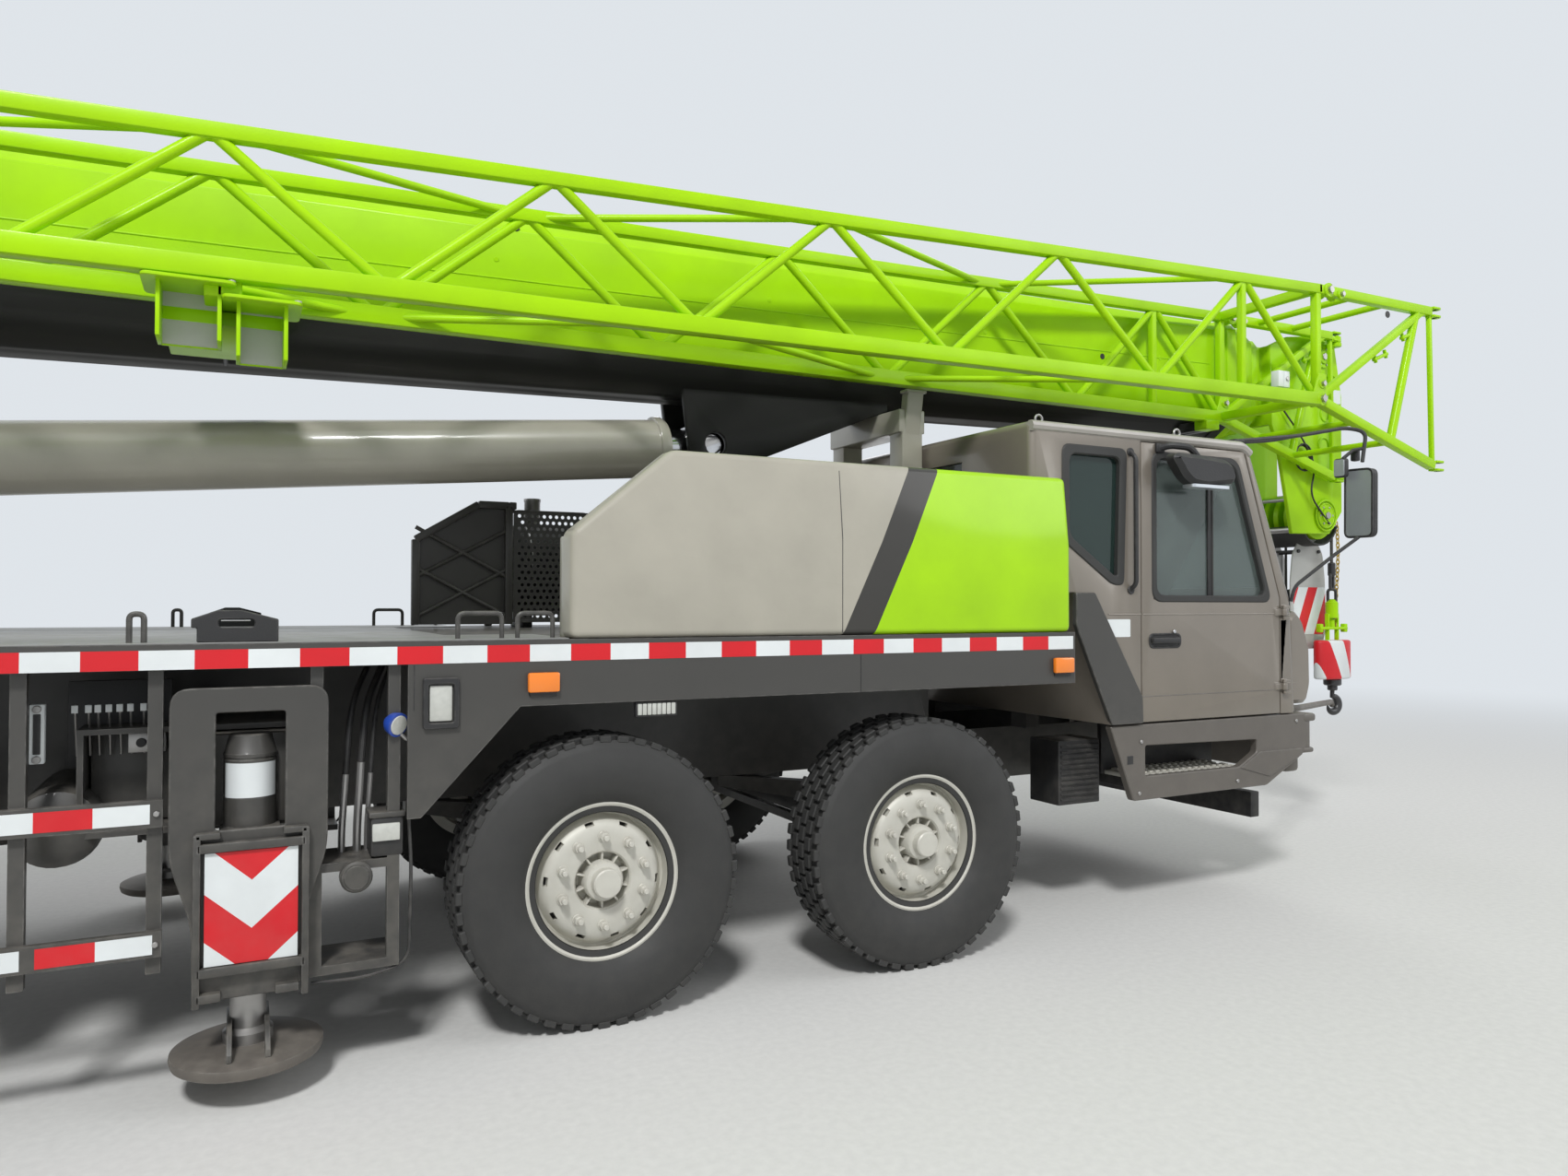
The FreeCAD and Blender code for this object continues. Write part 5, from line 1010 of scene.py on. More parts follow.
shell = bmesh.new()
shell.from_mesh(nodes["cab_shell"].data)
bmesh.ops.remove_doubles(shell, verts=shell.verts, dist=1e-5)
bmesh.ops.dissolve_limit(shell, angle_limit=math.radians(0.5), verts=shell.verts, edges=shell.edges)
rim_lines = []
for line in shell.edges:
    first, second = (one.co for one in line.verts)
    spot = (first + second) / 2
    on_side = min(abs(first.y), abs(second.y)) > CAB_Y - 1e-4 and max(abs(first.y), abs(second.y)) < CAB_Y + 1e-4
    at_rim = spot.z > CAB_ROOF - 0.004 or spot.x < CAB_REAR_X + 0.004 or abs(spot.x - outer_front(spot.z)) < 0.004
    across = abs(first.y - second.y) > 2 and spot.z > CAB_ROOF - 0.004
    if (on_side and at_rim) or across:
        rim_lines.append(line)
bmesh.ops.bevel(shell, geom=rim_lines, offset=ROOF_ROUND, segments=4, affect="EDGES", profile=0.5, material=-1)
softened(shell, 0.004, 2)
replaced("cab_body", shell, "cab_shell", "carrier", "cab_grey", taupe_paint)
for mark, side in (("r", -1), ("l", 1)):
    replaced("door_skin_" + mark, eased("cab_door_" + mark, 0.005), "cab_door_" + mark,
             "door_right" if side < 0 else "door_left", "cab_grey", taupe_paint)

glass_pane = paint("glass_pane", (0.50, 0.60, 0.57), gloss=0.0, dust=0.06, low_dust=0.1, edge=0, relief=0.0)
glass_pane.node_tree.nodes["Principled BSDF"].inputs["Transmission Weight"].default_value = 0.86
tinted_pane = paint("tinted_pane", (0.045, 0.085, 0.075), gloss=0.02, dust=0.02, low_dust=0.05, edge=0, relief=0.0)
tinted_pane.node_tree.nodes["Principled BSDF"].inputs["Transmission Weight"].default_value = 0.6
dress(glass_pane, "door_glass_r", "door_glass_l", "op_cab_glass")
dress(tinted_pane, "cab_glass")

trim = bmesh.new()
for side in (-1, 1):
    outer = rounded(grown(QUARTER_PANE, 0.014), 0.05)
    inner = rounded(grown(QUARTER_PANE, -0.034), 0.045)
    panel(trim, [outer, inner], both_sides(1.222, 1.257, side), soft=0.006, finish=0)
    grip = [(3.572, side * 1.248, 2.373), (3.572, side * 1.288, 2.345), (3.572, side * 1.288, 1.705), (3.572, side * 1.248, 1.675)]
    pipe(trim, rounded(grip, 0.04, closed=False), 0.012, 1)
    for z in (2.373, 1.675):
        disc(trim, (3.572, side * 1.252, z), "y", 0.022, 0.010, finish=1)
    # The drip rail wears the lighter rail paint: a painted highlight of sunlight along the rolled rail.
    rail = [(2.934, side * 1.236, 2.462), (4.405, side * 1.236, 2.462), (4.462, side * 1.236, 2.425)]
    pipe(trim, rounded(rail, 0.03, closed=False), 0.027, 6)
    pipe(trim, [(3.420, side * 1.250, SWAGE_Z), (3.642, side * 1.250, SWAGE_Z)], 0.0035, 2)
    pipe(trim, [(4.702, side * 1.250, SWAGE_Z), (4.772, side * 1.250, SWAGE_Z)], 0.0035, 2)
    for x, z in ((3.062, 2.488), (4.011, 2.490)):
        ring = [(x + 0.022 * math.cos(turn * math.pi / 6), side * 1.15, z + 0.026 + 0.022 * math.sin(turn * math.pi / 6))
                for turn in range(12)]
        pipe(trim, ring, 0.006, 3, closed=True)
        disc(trim, (x, side * 1.15, z + 0.002), "z", 0.018, 0.014, sides=6, finish=3)
    band = [(3.197, 1.659), (3.322, 1.660), (3.640, 1.133), (3.645, 1.000), (3.432, 1.000), (3.197, 1.500)]
    panel(trim, [rounded(band, 0.012)], both_sides(1.236, 1.266, side), soft=0.004, finish=4)
    panel(trim, [rounded(box_of(*PLATE_SPAN), 0.006)], both_sides(1.2495, 1.2512, side), soft=0, finish=5)
for y in (-0.35, 0.35):
    foot = Vector((4.795, y - 0.30, 1.675))
    tip = Vector((4.630, y + 0.10, 2.030))
    pipe(trim, [foot, foot + (tip - foot) * 0.5 + Vector((0.030, 0, 0.01)), tip], 0.007, 1)
    pipe(trim, [tip + Vector((0.09, -0.16, -0.24)), tip + Vector((-0.07, 0.16, 0.24))], 0.009, 0)
    disc(trim, foot, "x", 0.022, 0.03, finish=1)
slab(trim, (4.475, -1.10, 2.355), (4.53, 1.10, 2.425), 0.012, 1)
# A taupe lighter than the cab's: painted highlight of the sun along the drip rail.
lip_paint = paint("lip_paint", (0.36, 0.34, 0.31), gloss=0.32, coat=0.3, dust=0.10, edge=0.2)
piece("cab_trim", trim, "carrier", "cab_grey", rubber, black_plastic, taupe_paint, bare_steel, charcoal_paint, white_tape,
      lip_paint)

frames = ((-1, "r", "door_right"), (1, "l", "door_left"))
for side, mark, body in frames:
    door = bmesh.new()
    outer = rounded(grown(DOOR_PANE, 0.016), 0.07, 7)
    inner = rounded(grown(DOOR_PANE, -0.020), 0.06, 7)
    panel(door, [outer, inner], both_sides(1.218, 1.256, side), soft=0.006, finish=0)
    slab(door, (4.146, min(both_sides(1.221, 1.236, side)), 1.640), (4.172, max(both_sides(1.221, 1.236, side)), 2.368), 0.004, 1)
    slab(door, (4.172, min(both_sides(1.224, 1.240, side)), 1.640), (4.184, max(both_sides(1.224, 1.240, side)), 2.368), 0.004, 0)
    pipe(door, [(3.654, side * 1.250, SWAGE_Z), (4.692, side * 1.250, SWAGE_Z)], 0.0035, 3)
    # The lower crease is a thin bead in dark taupe: painted shade along the crease.
    pipe(door, [(3.654, side * 1.2495, CREASE_Z), (4.696, side * 1.2495, CREASE_Z)], 0.0025, 4)
    pan = rounded(box_of((3.696, 1.376), (3.926, 1.455)), 0.035)
    well = rounded(box_of((3.712, 1.388), (3.912, 1.444)), 0.026)
    panel(door, [pan, well], both_sides(1.246, 1.255, side), soft=0.003, finish=1)
    panel(door, [well], both_sides(1.242, 1.2505, side), soft=0, finish=1)
    slab(door, (3.706, min(both_sides(1.258, 1.276, side)), 1.402), (3.900, max(both_sides(1.258, 1.276, side)), 1.432), 0.009, 1)
    for x in (3.716, 3.888):
        slab(door, (x - 0.012, min(both_sides(1.245, 1.270, side)), 1.404), (x + 0.012, max(both_sides(1.245, 1.270, side)), 1.430), 0.004, 1)
    disc(door, (3.872, side * 1.257, 1.462), "y", 0.010, 0.008, finish=5)
    piece("door_trim_" + mark, door, body, "cab_grey", rubber, black_plastic, rim_paint, taupe_paint, dark_taupe, chrome)

# Mirrors: ribbed black housings on bent steel tube, with the glass towards the rear.
# A kerb mirror hangs over the right door's window and looks down at the road.

MIRROR_GLASS_X = 5.224
for side, mark in ((-1, "r"), (1, "l")):
    mirror = bmesh.new()
    face = rounded([(side * 1.268, 1.985), (side * 1.440, 1.985), (side * 1.444, 2.375), (side * 1.272, 2.380)], 0.04, 6)
    panel(mirror, [face], (5.228, 5.285), axis="x", soft=0.016, finish=0)
    panel(mirror, [grown(face, 0.002), grown(face, -0.010)], (5.221, 5.232), axis="x", soft=0.002, finish=0)
    panel(mirror, [grown(face, -0.011)], (MIRROR_GLASS_X, 5.230), axis="x", soft=0, finish=1)
    top = [(4.400, side * 1.190, 2.497), (4.900, side * 1.215, 2.560), (5.240, side * 1.270, 2.625), (5.330, side * 1.335, 2.600),
           (5.262, side * 1.356, 2.420)]
    pipe(mirror, rounded(top, 0.07, closed=False), 0.011, 0)
    brace = [(4.420, side * 1.10, 2.497), (4.760, side * 1.15, 2.530), (4.960, side * 1.222, 2.572)]
    pipe(mirror, rounded(brace, 0.05, closed=False), 0.008, 0)
    slab(mirror, (4.372, side * 1.15 - 0.075, 2.484), (4.452, side * 1.15 + 0.075, 2.506), 0.008, 0)
    second = [(5.296, side * 1.345, 2.500), (5.240, side * 1.315, 2.490), (5.185, side * 1.290, 2.440)]
    pipe(mirror, second, 0.010, 0)
    near = rounded([(side * 1.250, 2.330), (side * 1.328, 2.330), (side * 1.328, 2.440), (side * 1.250, 2.440)], 0.02)
    panel(mirror, [near], (5.152, 5.190), axis="x", soft=0.010, finish=0)
    panel(mirror, [grown(near, -0.008)], (5.149, 5.160), axis="x", soft=0, finish=1)
    low = [(4.790, side * 1.246, 1.620), (4.800, side * 1.262, 1.705), (5.060, side * 1.315, 1.880), (5.245, side * 1.352, 1.995),
           (5.256, side * 1.356, 2.050)]
    pipe(mirror, rounded(low, 0.05, closed=False), 0.010, 0)
    for spot in ((4.400, side * 1.190, 2.498), (4.420, side * 1.10, 2.498)):
        disc(mirror, spot, "z", 0.026, 0.012, finish=0)
    slab(mirror, (5.262, side * 1.30 - 0.020, 2.43), (5.300, side * 1.30 + 0.020, 2.50), 0.008, 0)
    piece("mirror_" + mark, mirror, "carrier", "mirror_black", black_plastic, mirror_face)
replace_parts(scene.objects["mirror_r"], "cab_mirrors")
kerb = bmesh.new()
hood = [(3.718, 2.341), (3.748, 2.368), (3.896, 2.364), (4.094, 2.350), (4.148, 2.325), (4.172, 2.264), (4.150, 2.230),
        (3.946, 2.204), (3.847, 2.213), (3.795, 2.245)]
panel(kerb, [rounded(hood, 0.022)], (-1.415, -1.315), soft=0.024, finish=0)
panel(kerb, [rounded(box_of((3.850, -1.405), (4.120, -1.325)), 0.02)], (2.198, 2.214), axis="z", soft=0, finish=1)
hanger = [(3.770, -1.252, 2.405), (3.800, -1.300, 2.418), (3.880, -1.360, 2.405), (3.930, -1.365, 2.350)]
pipe(kerb, rounded(hanger, 0.03, closed=False), 0.018, 0)
slab(kerb, (3.742, -1.266, 2.385), (3.800, -1.250, 2.430), 0.004, 0)
piece("kerb_mirror", kerb, "door_right", "mirror_black", black_plastic, mirror_face)

# Cab inside: two sprung seats in dark cloth, a moulded dash with a binnacle, and a thin-rimmed wheel.
# Everything bolts to the cab floor, and shows only through the panes.

SEAT_SIDES = (-0.62, 0.62)
cloth = paint("seat_cloth", (0.030, 0.032, 0.036), gloss=0.85, dust=0.15, edge=0, spread=12.0, relief=0.35)
dash_plastic = paint("dash_plastic", (0.045, 0.046, 0.050), gloss=0.6, dust=0.2, edge=0.1, relief=0.25)


def cushion(mesh, low, high, puff, place=None):
    """A stuffed block: its faces swell towards their middles."""
    low, high = Vector(low), Vector(high)
    middle, half = (low + high) / 2, (high - low) / 2
    part = bmesh.new()
    bmesh.ops.create_cube(part, size=2)
    bmesh.ops.subdivide_edges(part, edges=part.edges[:], cuts=9, use_grid_fill=True)
    for one in part.verts:
        x, y, z = one.co
        swell = puff * (1 - x * x) * (1 - y * y) + puff * (1 - y * y) * (1 - z * z) + puff * (1 - x * x) * (1 - z * z)
        soft = Vector((x * math.sqrt(1 - y * y * 0.10 - z * z * 0.10), y * math.sqrt(1 - x * x * 0.10 - z * z * 0.10),
                       z * math.sqrt(1 - x * x * 0.16 - y * y * 0.16)))
        one.co = Vector((middle.x + soft.x * half.x, middle.y + soft.y * half.y, middle.z + soft.z * half.z))
        one.co += Vector((x, y, z)).normalized() * swell
    joined(mesh, part, 0, place)


for y, mark in zip(SEAT_SIDES, ("r", "l")):
    stuffing = bmesh.new()
    cushion(stuffing, (3.700, y - 0.235, 1.345), (4.180, y + 0.235, 1.455), 0.010)
    cushion(stuffing, (3.645, y - 0.230, 1.440), (3.745, y + 0.230, 1.880), 0.008)
    cushion(stuffing, (3.655, y - 0.135, 1.900), (3.735, y + 0.135, 2.045), 0.006)
    piece("seat_" + mark, stuffing, "carrier", "interior", cloth)
fitted = bmesh.new()
for y in SEAT_SIDES:
    slab(fitted, (3.760, y - 0.17, 1.055), (4.120, y + 0.17, 1.100), 0.01, 0)
    for ring in range(6):
        slab(fitted, (3.80 + 0.004 * (ring % 2), y - 0.14, 1.10 + ring * 0.036), (4.08, y + 0.14, 1.128 + ring * 0.036), 0.012, 0)
    slab(fitted, (3.72, y - 0.20, 1.315), (4.14, y + 0.20, 1.350), 0.008, 0)
    for post in (-0.06, 0.06):
        pipe(fitted, [(3.695, y + post, 1.86), (3.695, y + post, 1.94)], 0.007, 1)
hood = [(4.45, 1.30), (4.64, 1.30), (4.70, 1.62), (4.55, 1.66), (4.45, 1.63), (4.40, 1.54)]
panel(fitted, [rounded(hood, 0.02)], (-1.12, 1.12), soft=0.006, finish=0)
slab(fitted, (4.50, -0.40, 1.052), (4.60, 0.40, 1.305), 0.015, 0)
binnacle = [(4.36, 1.56), (4.50, 1.60), (4.53, 1.74), (4.46, 1.76), (4.40, 1.70)]
panel(fitted, [rounded(binnacle, 0.02)], (0.40, 0.84), soft=0.008, finish=0)
tilted = Matrix.Translation((4.365, 0.62, 1.640)) @ Matrix.Rotation(math.radians(-28), 4, "Y")
hoop = [(0, 0.205 * math.cos(turn * math.pi / 20), 0.205 * math.sin(turn * math.pi / 20)) for turn in range(40)]
pipe(fitted, hoop, 0.014, 0, closed=True, place=tilted)
for angle in (90, 210, 330):
    turn = math.radians(angle)
    pipe(fitted, [(0.02, 0, 0), (0, 0.20 * math.cos(turn), 0.20 * math.sin(turn))], 0.010, 0, place=tilted)
disc(fitted, (0.02, 0, 0), "x", 0.055, 0.05, finish=0, soft=0.01, place=tilted)
pipe(fitted, [tilted @ Vector((0.03, 0, 0)), Vector((4.52, 0.62, 1.42))], 0.028, 0)
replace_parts(piece("cab_fittings", fitted, "carrier", "interior", dash_plastic, bare_steel), "cab_interior")

# Bumper: folded steel skirts wrap under the doors, each with a step well and a serrated tread.
# The nose carries lamps and a tow lug, and a plain underrun bar hangs below it.

SKIRT = [(3.434, 0.992), (3.588, 0.608), (4.583, 0.614), (4.876, 0.762), (4.904, 0.80), (4.904, 0.992)]
WELL = [(3.672, 0.728), (4.362, 0.728), (4.500, 0.800), (4.500, 0.868), (3.672, 0.884)]
TREAD_SPAN = (3.680, 4.400)
front = bmesh.new()
for side in (-1, 1):
    panel(front, [rounded(SKIRT, 0.016), rounded(WELL, 0.014)], both_sides(1.205, 1.250, side), soft=0.005, finish=0)
    fold = [(4.369, 0.722), (4.52, 0.80), (4.86, 0.80), (4.87, 0.765), (4.60, 0.66)]
    panel(front, [rounded(fold, 0.01)], both_sides(1.246, 1.256, side), soft=0.003, finish=0)
    for x, z in ((3.625, 0.645), (4.345, 0.655), (3.640, 0.905), (4.820, 0.955)):
        disc(front, (x, side * 1.252, z), "y", 0.011, 0.010, sides=6, finish=2)
    slab(front, (3.545, side * 1.2505 - 0.0008, 0.795), (3.585, side * 1.2505 + 0.0008, 0.838), 0, 1)
    tread_y = both_sides(0.950, 1.242, side)
    slab(front, (TREAD_SPAN[0], tread_y[0], 0.698), (TREAD_SPAN[1], tread_y[1], 0.720), 0.004, 3)
    for row in range(4):
        for column in range(15):
            x = TREAD_SPAN[0] + 0.03 + column * 0.047 + 0.012 * (row % 2)
            y = tread_y[0] + 0.030 + row * 0.070
            slab(front, (x, y, 0.718), (x + 0.026, y + 0.045, 0.730), 0.003, 3, segments=1)
    slab(front, (3.660, min(both_sides(0.92, 0.95, side)), 0.700), (4.50, max(both_sides(0.92, 0.95, side)), 0.985), 0.004, 1)
    slab(front, (3.720, min(both_sides(0.40, 1.205, side)), 0.640), (3.780, max(both_sides(0.40, 1.205, side)), 0.700), 0.004, 1)
    slab(front, (4.700, min(both_sides(0.33, 0.39, side)), 0.620), (4.845, max(both_sides(0.33, 0.39, side)), 0.820), 0.004, 1)
    slab(front, (4.770, min(both_sides(0.30, 0.36, side)), 0.500), (4.830, max(both_sides(0.30, 0.36, side)), 0.660), 0.004, 1)
    box_y = both_sides(0.80, 1.02, side)
    slab(front, (3.300, box_y[0], 0.570), (3.580, box_y[1], 0.900), 0.006, 1)
    for rib in range(11):
        slab(front, (3.315, side * 1.022 - 0.006, 0.592 + rib * 0.027), (3.565, side * 1.022 + 0.006, 0.606 + rib * 0.027), 0.003, 1,
             segments=1)
    lamp_y = both_sides(0.72, 1.10, side)
    panel(front, [rounded([(lamp_y[0], 0.78), (lamp_y[1], 0.78), (lamp_y[1], 0.92), (lamp_y[0], 0.92)], 0.03)], (4.940, 4.956),
          axis="x", soft=0.004, finish=1)
    for y in (0.81, 0.99):
        disc(front, (4.955, side * y, 0.85), "x", 0.052, 0.020, finish=4, soft=0.008)
    corner = [(4.800, 1.045), (4.800, 1.530), (4.860, 1.575), (4.925, 1.520), (4.985, 1.360), (4.990, 1.150), (4.955, 1.045)]
    panel(front, [rounded(corner, 0.03)], both_sides(1.010, 1.225, side), soft=0.022, finish=5)
    disc(front, (4.988, side * 1.120, 1.285), "x", 0.074, 0.026, finish=1, soft=0.006)
    disc(front, (4.998, side * 1.120, 1.285), "x", 0.062, 0.022, finish=4, soft=0.008)
    disc(front, (4.978, side * 1.120, 1.130), "x", 0.040, 0.022, finish=6, soft=0.006)
slab(front, (4.800, -1.204, 0.660), (4.910, 1.204, 0.990), 0.022, 0)
slab(front, (4.880, -1.246, 0.780), (4.948, 1.246, 0.985), 0.010, 0)
slab(front, (4.880, -1.254, 0.945), (4.988, 1.254, 0.990), 0.014, 0)
slab(front, (4.880, -1.254, 0.770), (4.970, 1.254, 0.800), 0.012, 0)
slab(front, (4.760, -1.000, 0.376), (4.830, 1.000, 0.522), 0.006, 1)
slab(front, (4.900, -0.060, 0.700), (4.986, 0.060, 0.740), 0.008, 1)
disc(front, (4.950, 0, 0.742), "z", 0.030, 0.006, finish=1)
panel(front, [rounded(box_of((-0.22, 0.82), (0.22, 0.93)), 0.01)], (4.946, 4.952), axis="x", soft=0.001, finish=7)
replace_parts(piece("bumper", front, "carrier", "cab_grey", dark_taupe, black_plastic, bare_steel, rim_paint, clear_lens, taupe_paint,
                  amber_lens, white_tape), "front_bumper")

# Boom: five welded box sections nest inside each other, each closed by a collar with slide pads.
# The base wears two colours, and the innermost section ends in the head with its two rows of sheaves.

PIVOT = Vector((-4.9, 0, 2.8))
BOOM_LEAN = math.radians(1.2)
HEAD_ALONG = 11.32
HEAD_HALF = 0.280
SHEAVE_DROP = (-0.80, 0.33)
along_boom = Matrix.Translation(PIVOT) @ Matrix.Rotation(-BOOM_LEAN, 4, "Y")
replaced("boom_skin", eased("boom_base", 0.006), "boom_base", "boom_base", "boom_paint", boom_paint)
for number in (2, 3, 4):
    label = "boom_section_%d" % number
    replaced("section_skin_%d" % number, eased(label, 0.004), label, "boom_%d" % number, "boom_paint", lime_paint)
replaced("section_skin_5", eased("boom_section_5", 0.004, 1), "boom_section_5", "boom_5", "boom_paint", lime_paint)

boom_details = bmesh.new()
# Black discs on the boom's side stand for small holes; their black is painted shade inside the holes.
for x, z in ((0.689, 3.342), (2.736, 3.370), (4.307, 3.138), (-1.40, 3.300)):
    disc(boom_details, (x, -0.300, z), "y", 0.018, 0.006, finish=1)
for x in (-3.6, -2.2, -0.8, 0.6, 2.0, 3.4, 4.8):
    for side in (-1, 1):
        disc(boom_details, (x, side * 0.2985, 3.18), "y", 0.014, 0.008, sides=6, finish=0)
for along in (0.55, 3.10, 5.60, 8.10, 10.10):
    for side in (-1, 1):
        slab(boom_details, (along - 0.03, side * 0.155 - 0.035, 0.478), (along + 0.03, side * 0.155 + 0.035, 0.497), 0.004, 0,
             place=along_boom)
for side in (-1, 1):
    pipe(boom_details, [(0.25, side * 0.299, 0.18), (10.15, side * 0.299, 0.18)], 0.0045, 0, place=along_boom)
for low, high, top in (((-0.700, -1.050), (-0.500, -0.880), 2.700), ((-0.455, -1.050), (-0.290, -0.880), 2.655)):
    flange = rounded(grown(box_of(low, high), 0.045), 0.03)
    panel(boom_details, [flange], (top, top + 0.014), axis="z", soft=0.003)
    for x in (low[0], high[0] - 0.014):
        slab(boom_details, (x, low[1], top - 0.190), (x + 0.014, high[1], top + 0.004), 0.003, 0)
    slab(boom_details, (low[0], high[1] - 0.014, top - 0.190), (high[0], high[1], top + 0.004), 0.003, 0)
    slab(boom_details, (low[0] + 0.014, high[1] - 0.018, top - 0.185), (high[0] - 0.014, high[1] - 0.014, top), 0, 2)
    disc(boom_details, (high[0] + 0.030, low[1] - 0.020, top + 0.014), "z", 0.014, 0.014, sides=6, finish=2)
slab(boom_details, (-0.690, -0.900, 2.600), (-0.300, -0.300, 2.650), 0.006, 0)
hose = [(-0.2, 0.312, -0.05), (0.6, 0.314, 0.10), (1.2, 0.316, 0.12), (10.2, 0.316, 0.12)]
pipe(boom_details, rounded(hose, 0.2, closed=False), 0.011, 1, place=along_boom)
for along in (1.4, 3.2, 5.0, 6.8, 8.6, 10.1):
    slab(boom_details, (along - 0.02, 0.298, 0.10), (along + 0.02, 0.332, 0.14), 0.004, 0, place=along_boom)
joined(boom_details, spun(((-0.032, 0.0), (-0.032, 0.170), (-0.026, 0.170), (-0.024, 0.075), (0.024, 0.075), (0.026, 0.170),
                           (0.032, 0.170), (0.032, 0.0)), 40), 1, along_boom @ Matrix.Translation((1.35, 0.352, 0.17)))
pipe(boom_details, [(1.35, 0.29, 0.17), (1.35, 0.38, 0.17)], 0.03, 0, place=along_boom)
piece("boom_details", boom_details, "boom_base", "boom_paint", lime_paint, black_plastic, block_grey)

head = bmesh.new()
for drop in SHEAVE_DROP:
    for side in (-1, 1):
        centre = (HEAD_ALONG, side * (HEAD_HALF + 0.006), drop)
        disc(head, centre, "y", 0.078, 0.016, sides=40, place=along_boom)
        disc(head, (centre[0], side * (HEAD_HALF + 0.016), drop), "y", 0.050, 0.016, sides=32, place=along_boom)
        disc(head, (centre[0], side * (HEAD_HALF + 0.026), drop), "y", 0.026, 0.012, sides=6, finish=1, place=along_boom)
        for bolt in range(6):
            turn = math.pi * bolt / 3
            spot = (HEAD_ALONG + 0.064 * math.cos(turn), side * (HEAD_HALF + 0.014), drop + 0.064 * math.sin(turn))
            disc(head, spot, "y", 0.008, 0.010, sides=6, finish=1, place=along_boom)
for side in (-1, 1):
    for ring_radius in (0.060, 0.085, 0.108):
        ring = [(HEAD_ALONG + ring_radius * math.cos(turn * math.pi / 16), side * (HEAD_HALF + 0.010),
                 SHEAVE_DROP[0] + ring_radius * math.sin(turn * math.pi / 16)) for turn in range(32)]
        pipe(head, ring, 0.007, 0, closed=True, place=along_boom)
# The rope guard under the lower sheaves is black rubber here; its black stands for the shade under the head: painted
# shade.
guard = []
for radius, first, last in ((0.212, 200, 340), (0.200, 340, 200)):
    for step in range(13):
        turn = math.radians(first + (last - first) * step / 12)
        guard.append((HEAD_ALONG + radius * math.cos(turn), SHEAVE_DROP[0] + radius * math.sin(turn)))
panel(head, [guard], (-0.240, 0.240), soft=0.002, finish=3, place=along_boom)
cover = []
for step in range(9):
    turn = math.radians(20 + 140 * step / 8)
    cover.append((HEAD_ALONG - 0.03 + 0.175 * math.cos(turn), 0.333 + 0.165 * math.sin(turn)))
cover += [(HEAD_ALONG - 0.21, 0.30), (HEAD_ALONG + 0.14, 0.30)]
for y in (-0.225, -0.11, 0.06, 0.19):
    panel(head, [cover], (y - 0.007, y + 0.007), soft=0.002, place=along_boom)
for along, height, radius in ((HEAD_ALONG - 0.03, 0.475, 0.016), (HEAD_ALONG + 0.10, 0.445, 0.013), (HEAD_ALONG - 0.26, -0.90, 0.02),
                              (HEAD_ALONG + 0.20, -0.62, 0.013), (HEAD_ALONG - 0.22, -0.68, 0.013)):
    pipe(head, [(along, -0.262, height), (along, 0.262, height)], radius, 1, place=along_boom)
for along, height, radius in ((0.0, -0.30, 0.055), (0.02, -0.08, 0.045), (0.10, 0.16, 0.05)):
    for side in (-1, 1):
        ring = [(HEAD_ALONG + along + radius * math.cos(turn * math.pi / 8), side * (HEAD_HALF + 0.003),
                 height + radius * math.sin(turn * math.pi / 8)) for turn in range(16)]
        pipe(head, ring, 0.007, 0, closed=True, place=along_boom)
stop = [(HEAD_ALONG - 0.02, 0.0), (HEAD_ALONG + 0.17, 0.0), (HEAD_ALONG + 0.17, 0.10), (HEAD_ALONG - 0.02, 0.10)]
panel(head, [rounded(stop, 0.01)], (-0.302, -0.279), soft=0.003, finish=2, place=along_boom)
cable = [(HEAD_ALONG - 0.55, -0.300, 0.02), (HEAD_ALONG - 0.30, -0.325, -0.25), (HEAD_ALONG - 0.12, -0.305, -0.45),
         (HEAD_ALONG - 0.20, -0.310, -0.66), (HEAD_ALONG + 0.02, -0.300, -0.86)]
pipe(head, rounded(cable, 0.2, 8, closed=False), 0.006, 3, place=along_boom)
for turn in range(3):
    loop = [(HEAD_ALONG - 0.26 + (0.075 + 0.006 * turn) * math.cos(step * math.pi / 10), -0.302 - 0.008 * turn,
             -0.40 + (0.085 + 0.005 * turn) * math.sin(step * math.pi / 10)) for step in range(20)]
    pipe(head, loop, 0.005, 3, closed=True, place=along_boom)
piece("boom_head_details", head, "boom_5", "boom_paint", lime_paint, bare_steel, white_tape, rubber)

# Luffing cylinder: one thick barrel in gloss beige with a bolted gland, and a chromed rod.
# Its valve block sits on the barrel near the foot, where the hoses arrive.

replaced("barrel_skin", eased("luff_barrel", 0.004), "luff_barrel", "luff_barrel", "trim_beige", beige_paint)
barrel_line = Matrix.Translation((-2.15, 0, 2.109)) @ Matrix.Rotation(-math.atan2(0.323, 3.91), 4, "Y")
barrel_parts = bmesh.new()
BARREL_LONG = 3.700
for bolt in range(16):
    turn = 2 * math.pi * (bolt + 0.5) / 16
    disc(barrel_parts, (BARREL_LONG - 0.016, 0.136 * math.cos(turn), 0.136 * math.sin(turn)), "x", 0.009, 0.016, sides=6, finish=1,
         place=barrel_line)
slab(barrel_parts, (0.22, -0.08, 0.130), (0.46, 0.08, 0.215), 0.008, 1, place=barrel_line)
piece("barrel_fittings", barrel_parts, "luff_barrel", "steel", charcoal_paint, bare_steel)

# Jib: four square tube chords braced by round tubes, cut to fit and welded, tapering to a narrow tip.
# Its open foot frame reaches past the boom head, with flat lugs, pins and keepers at each corner.

JIB_TIP = (-4.320, 2.711, 3.068, 0.170)
JIB_FOOT = (5.314, 2.831, 3.495, 0.700)
JIB_NEAR = -1.050
CHORD = 0.056
LOW_CHORD = 0.074
BRACE = 0.021
FIRST_NODE = 3.968
PITCH = 1.374
PITCH_RATIO = 0.95
SWING_ALONG = 11.382
POST_ALONG = 11.312
EAR_HEIGHTS = (-0.553, 0.391)


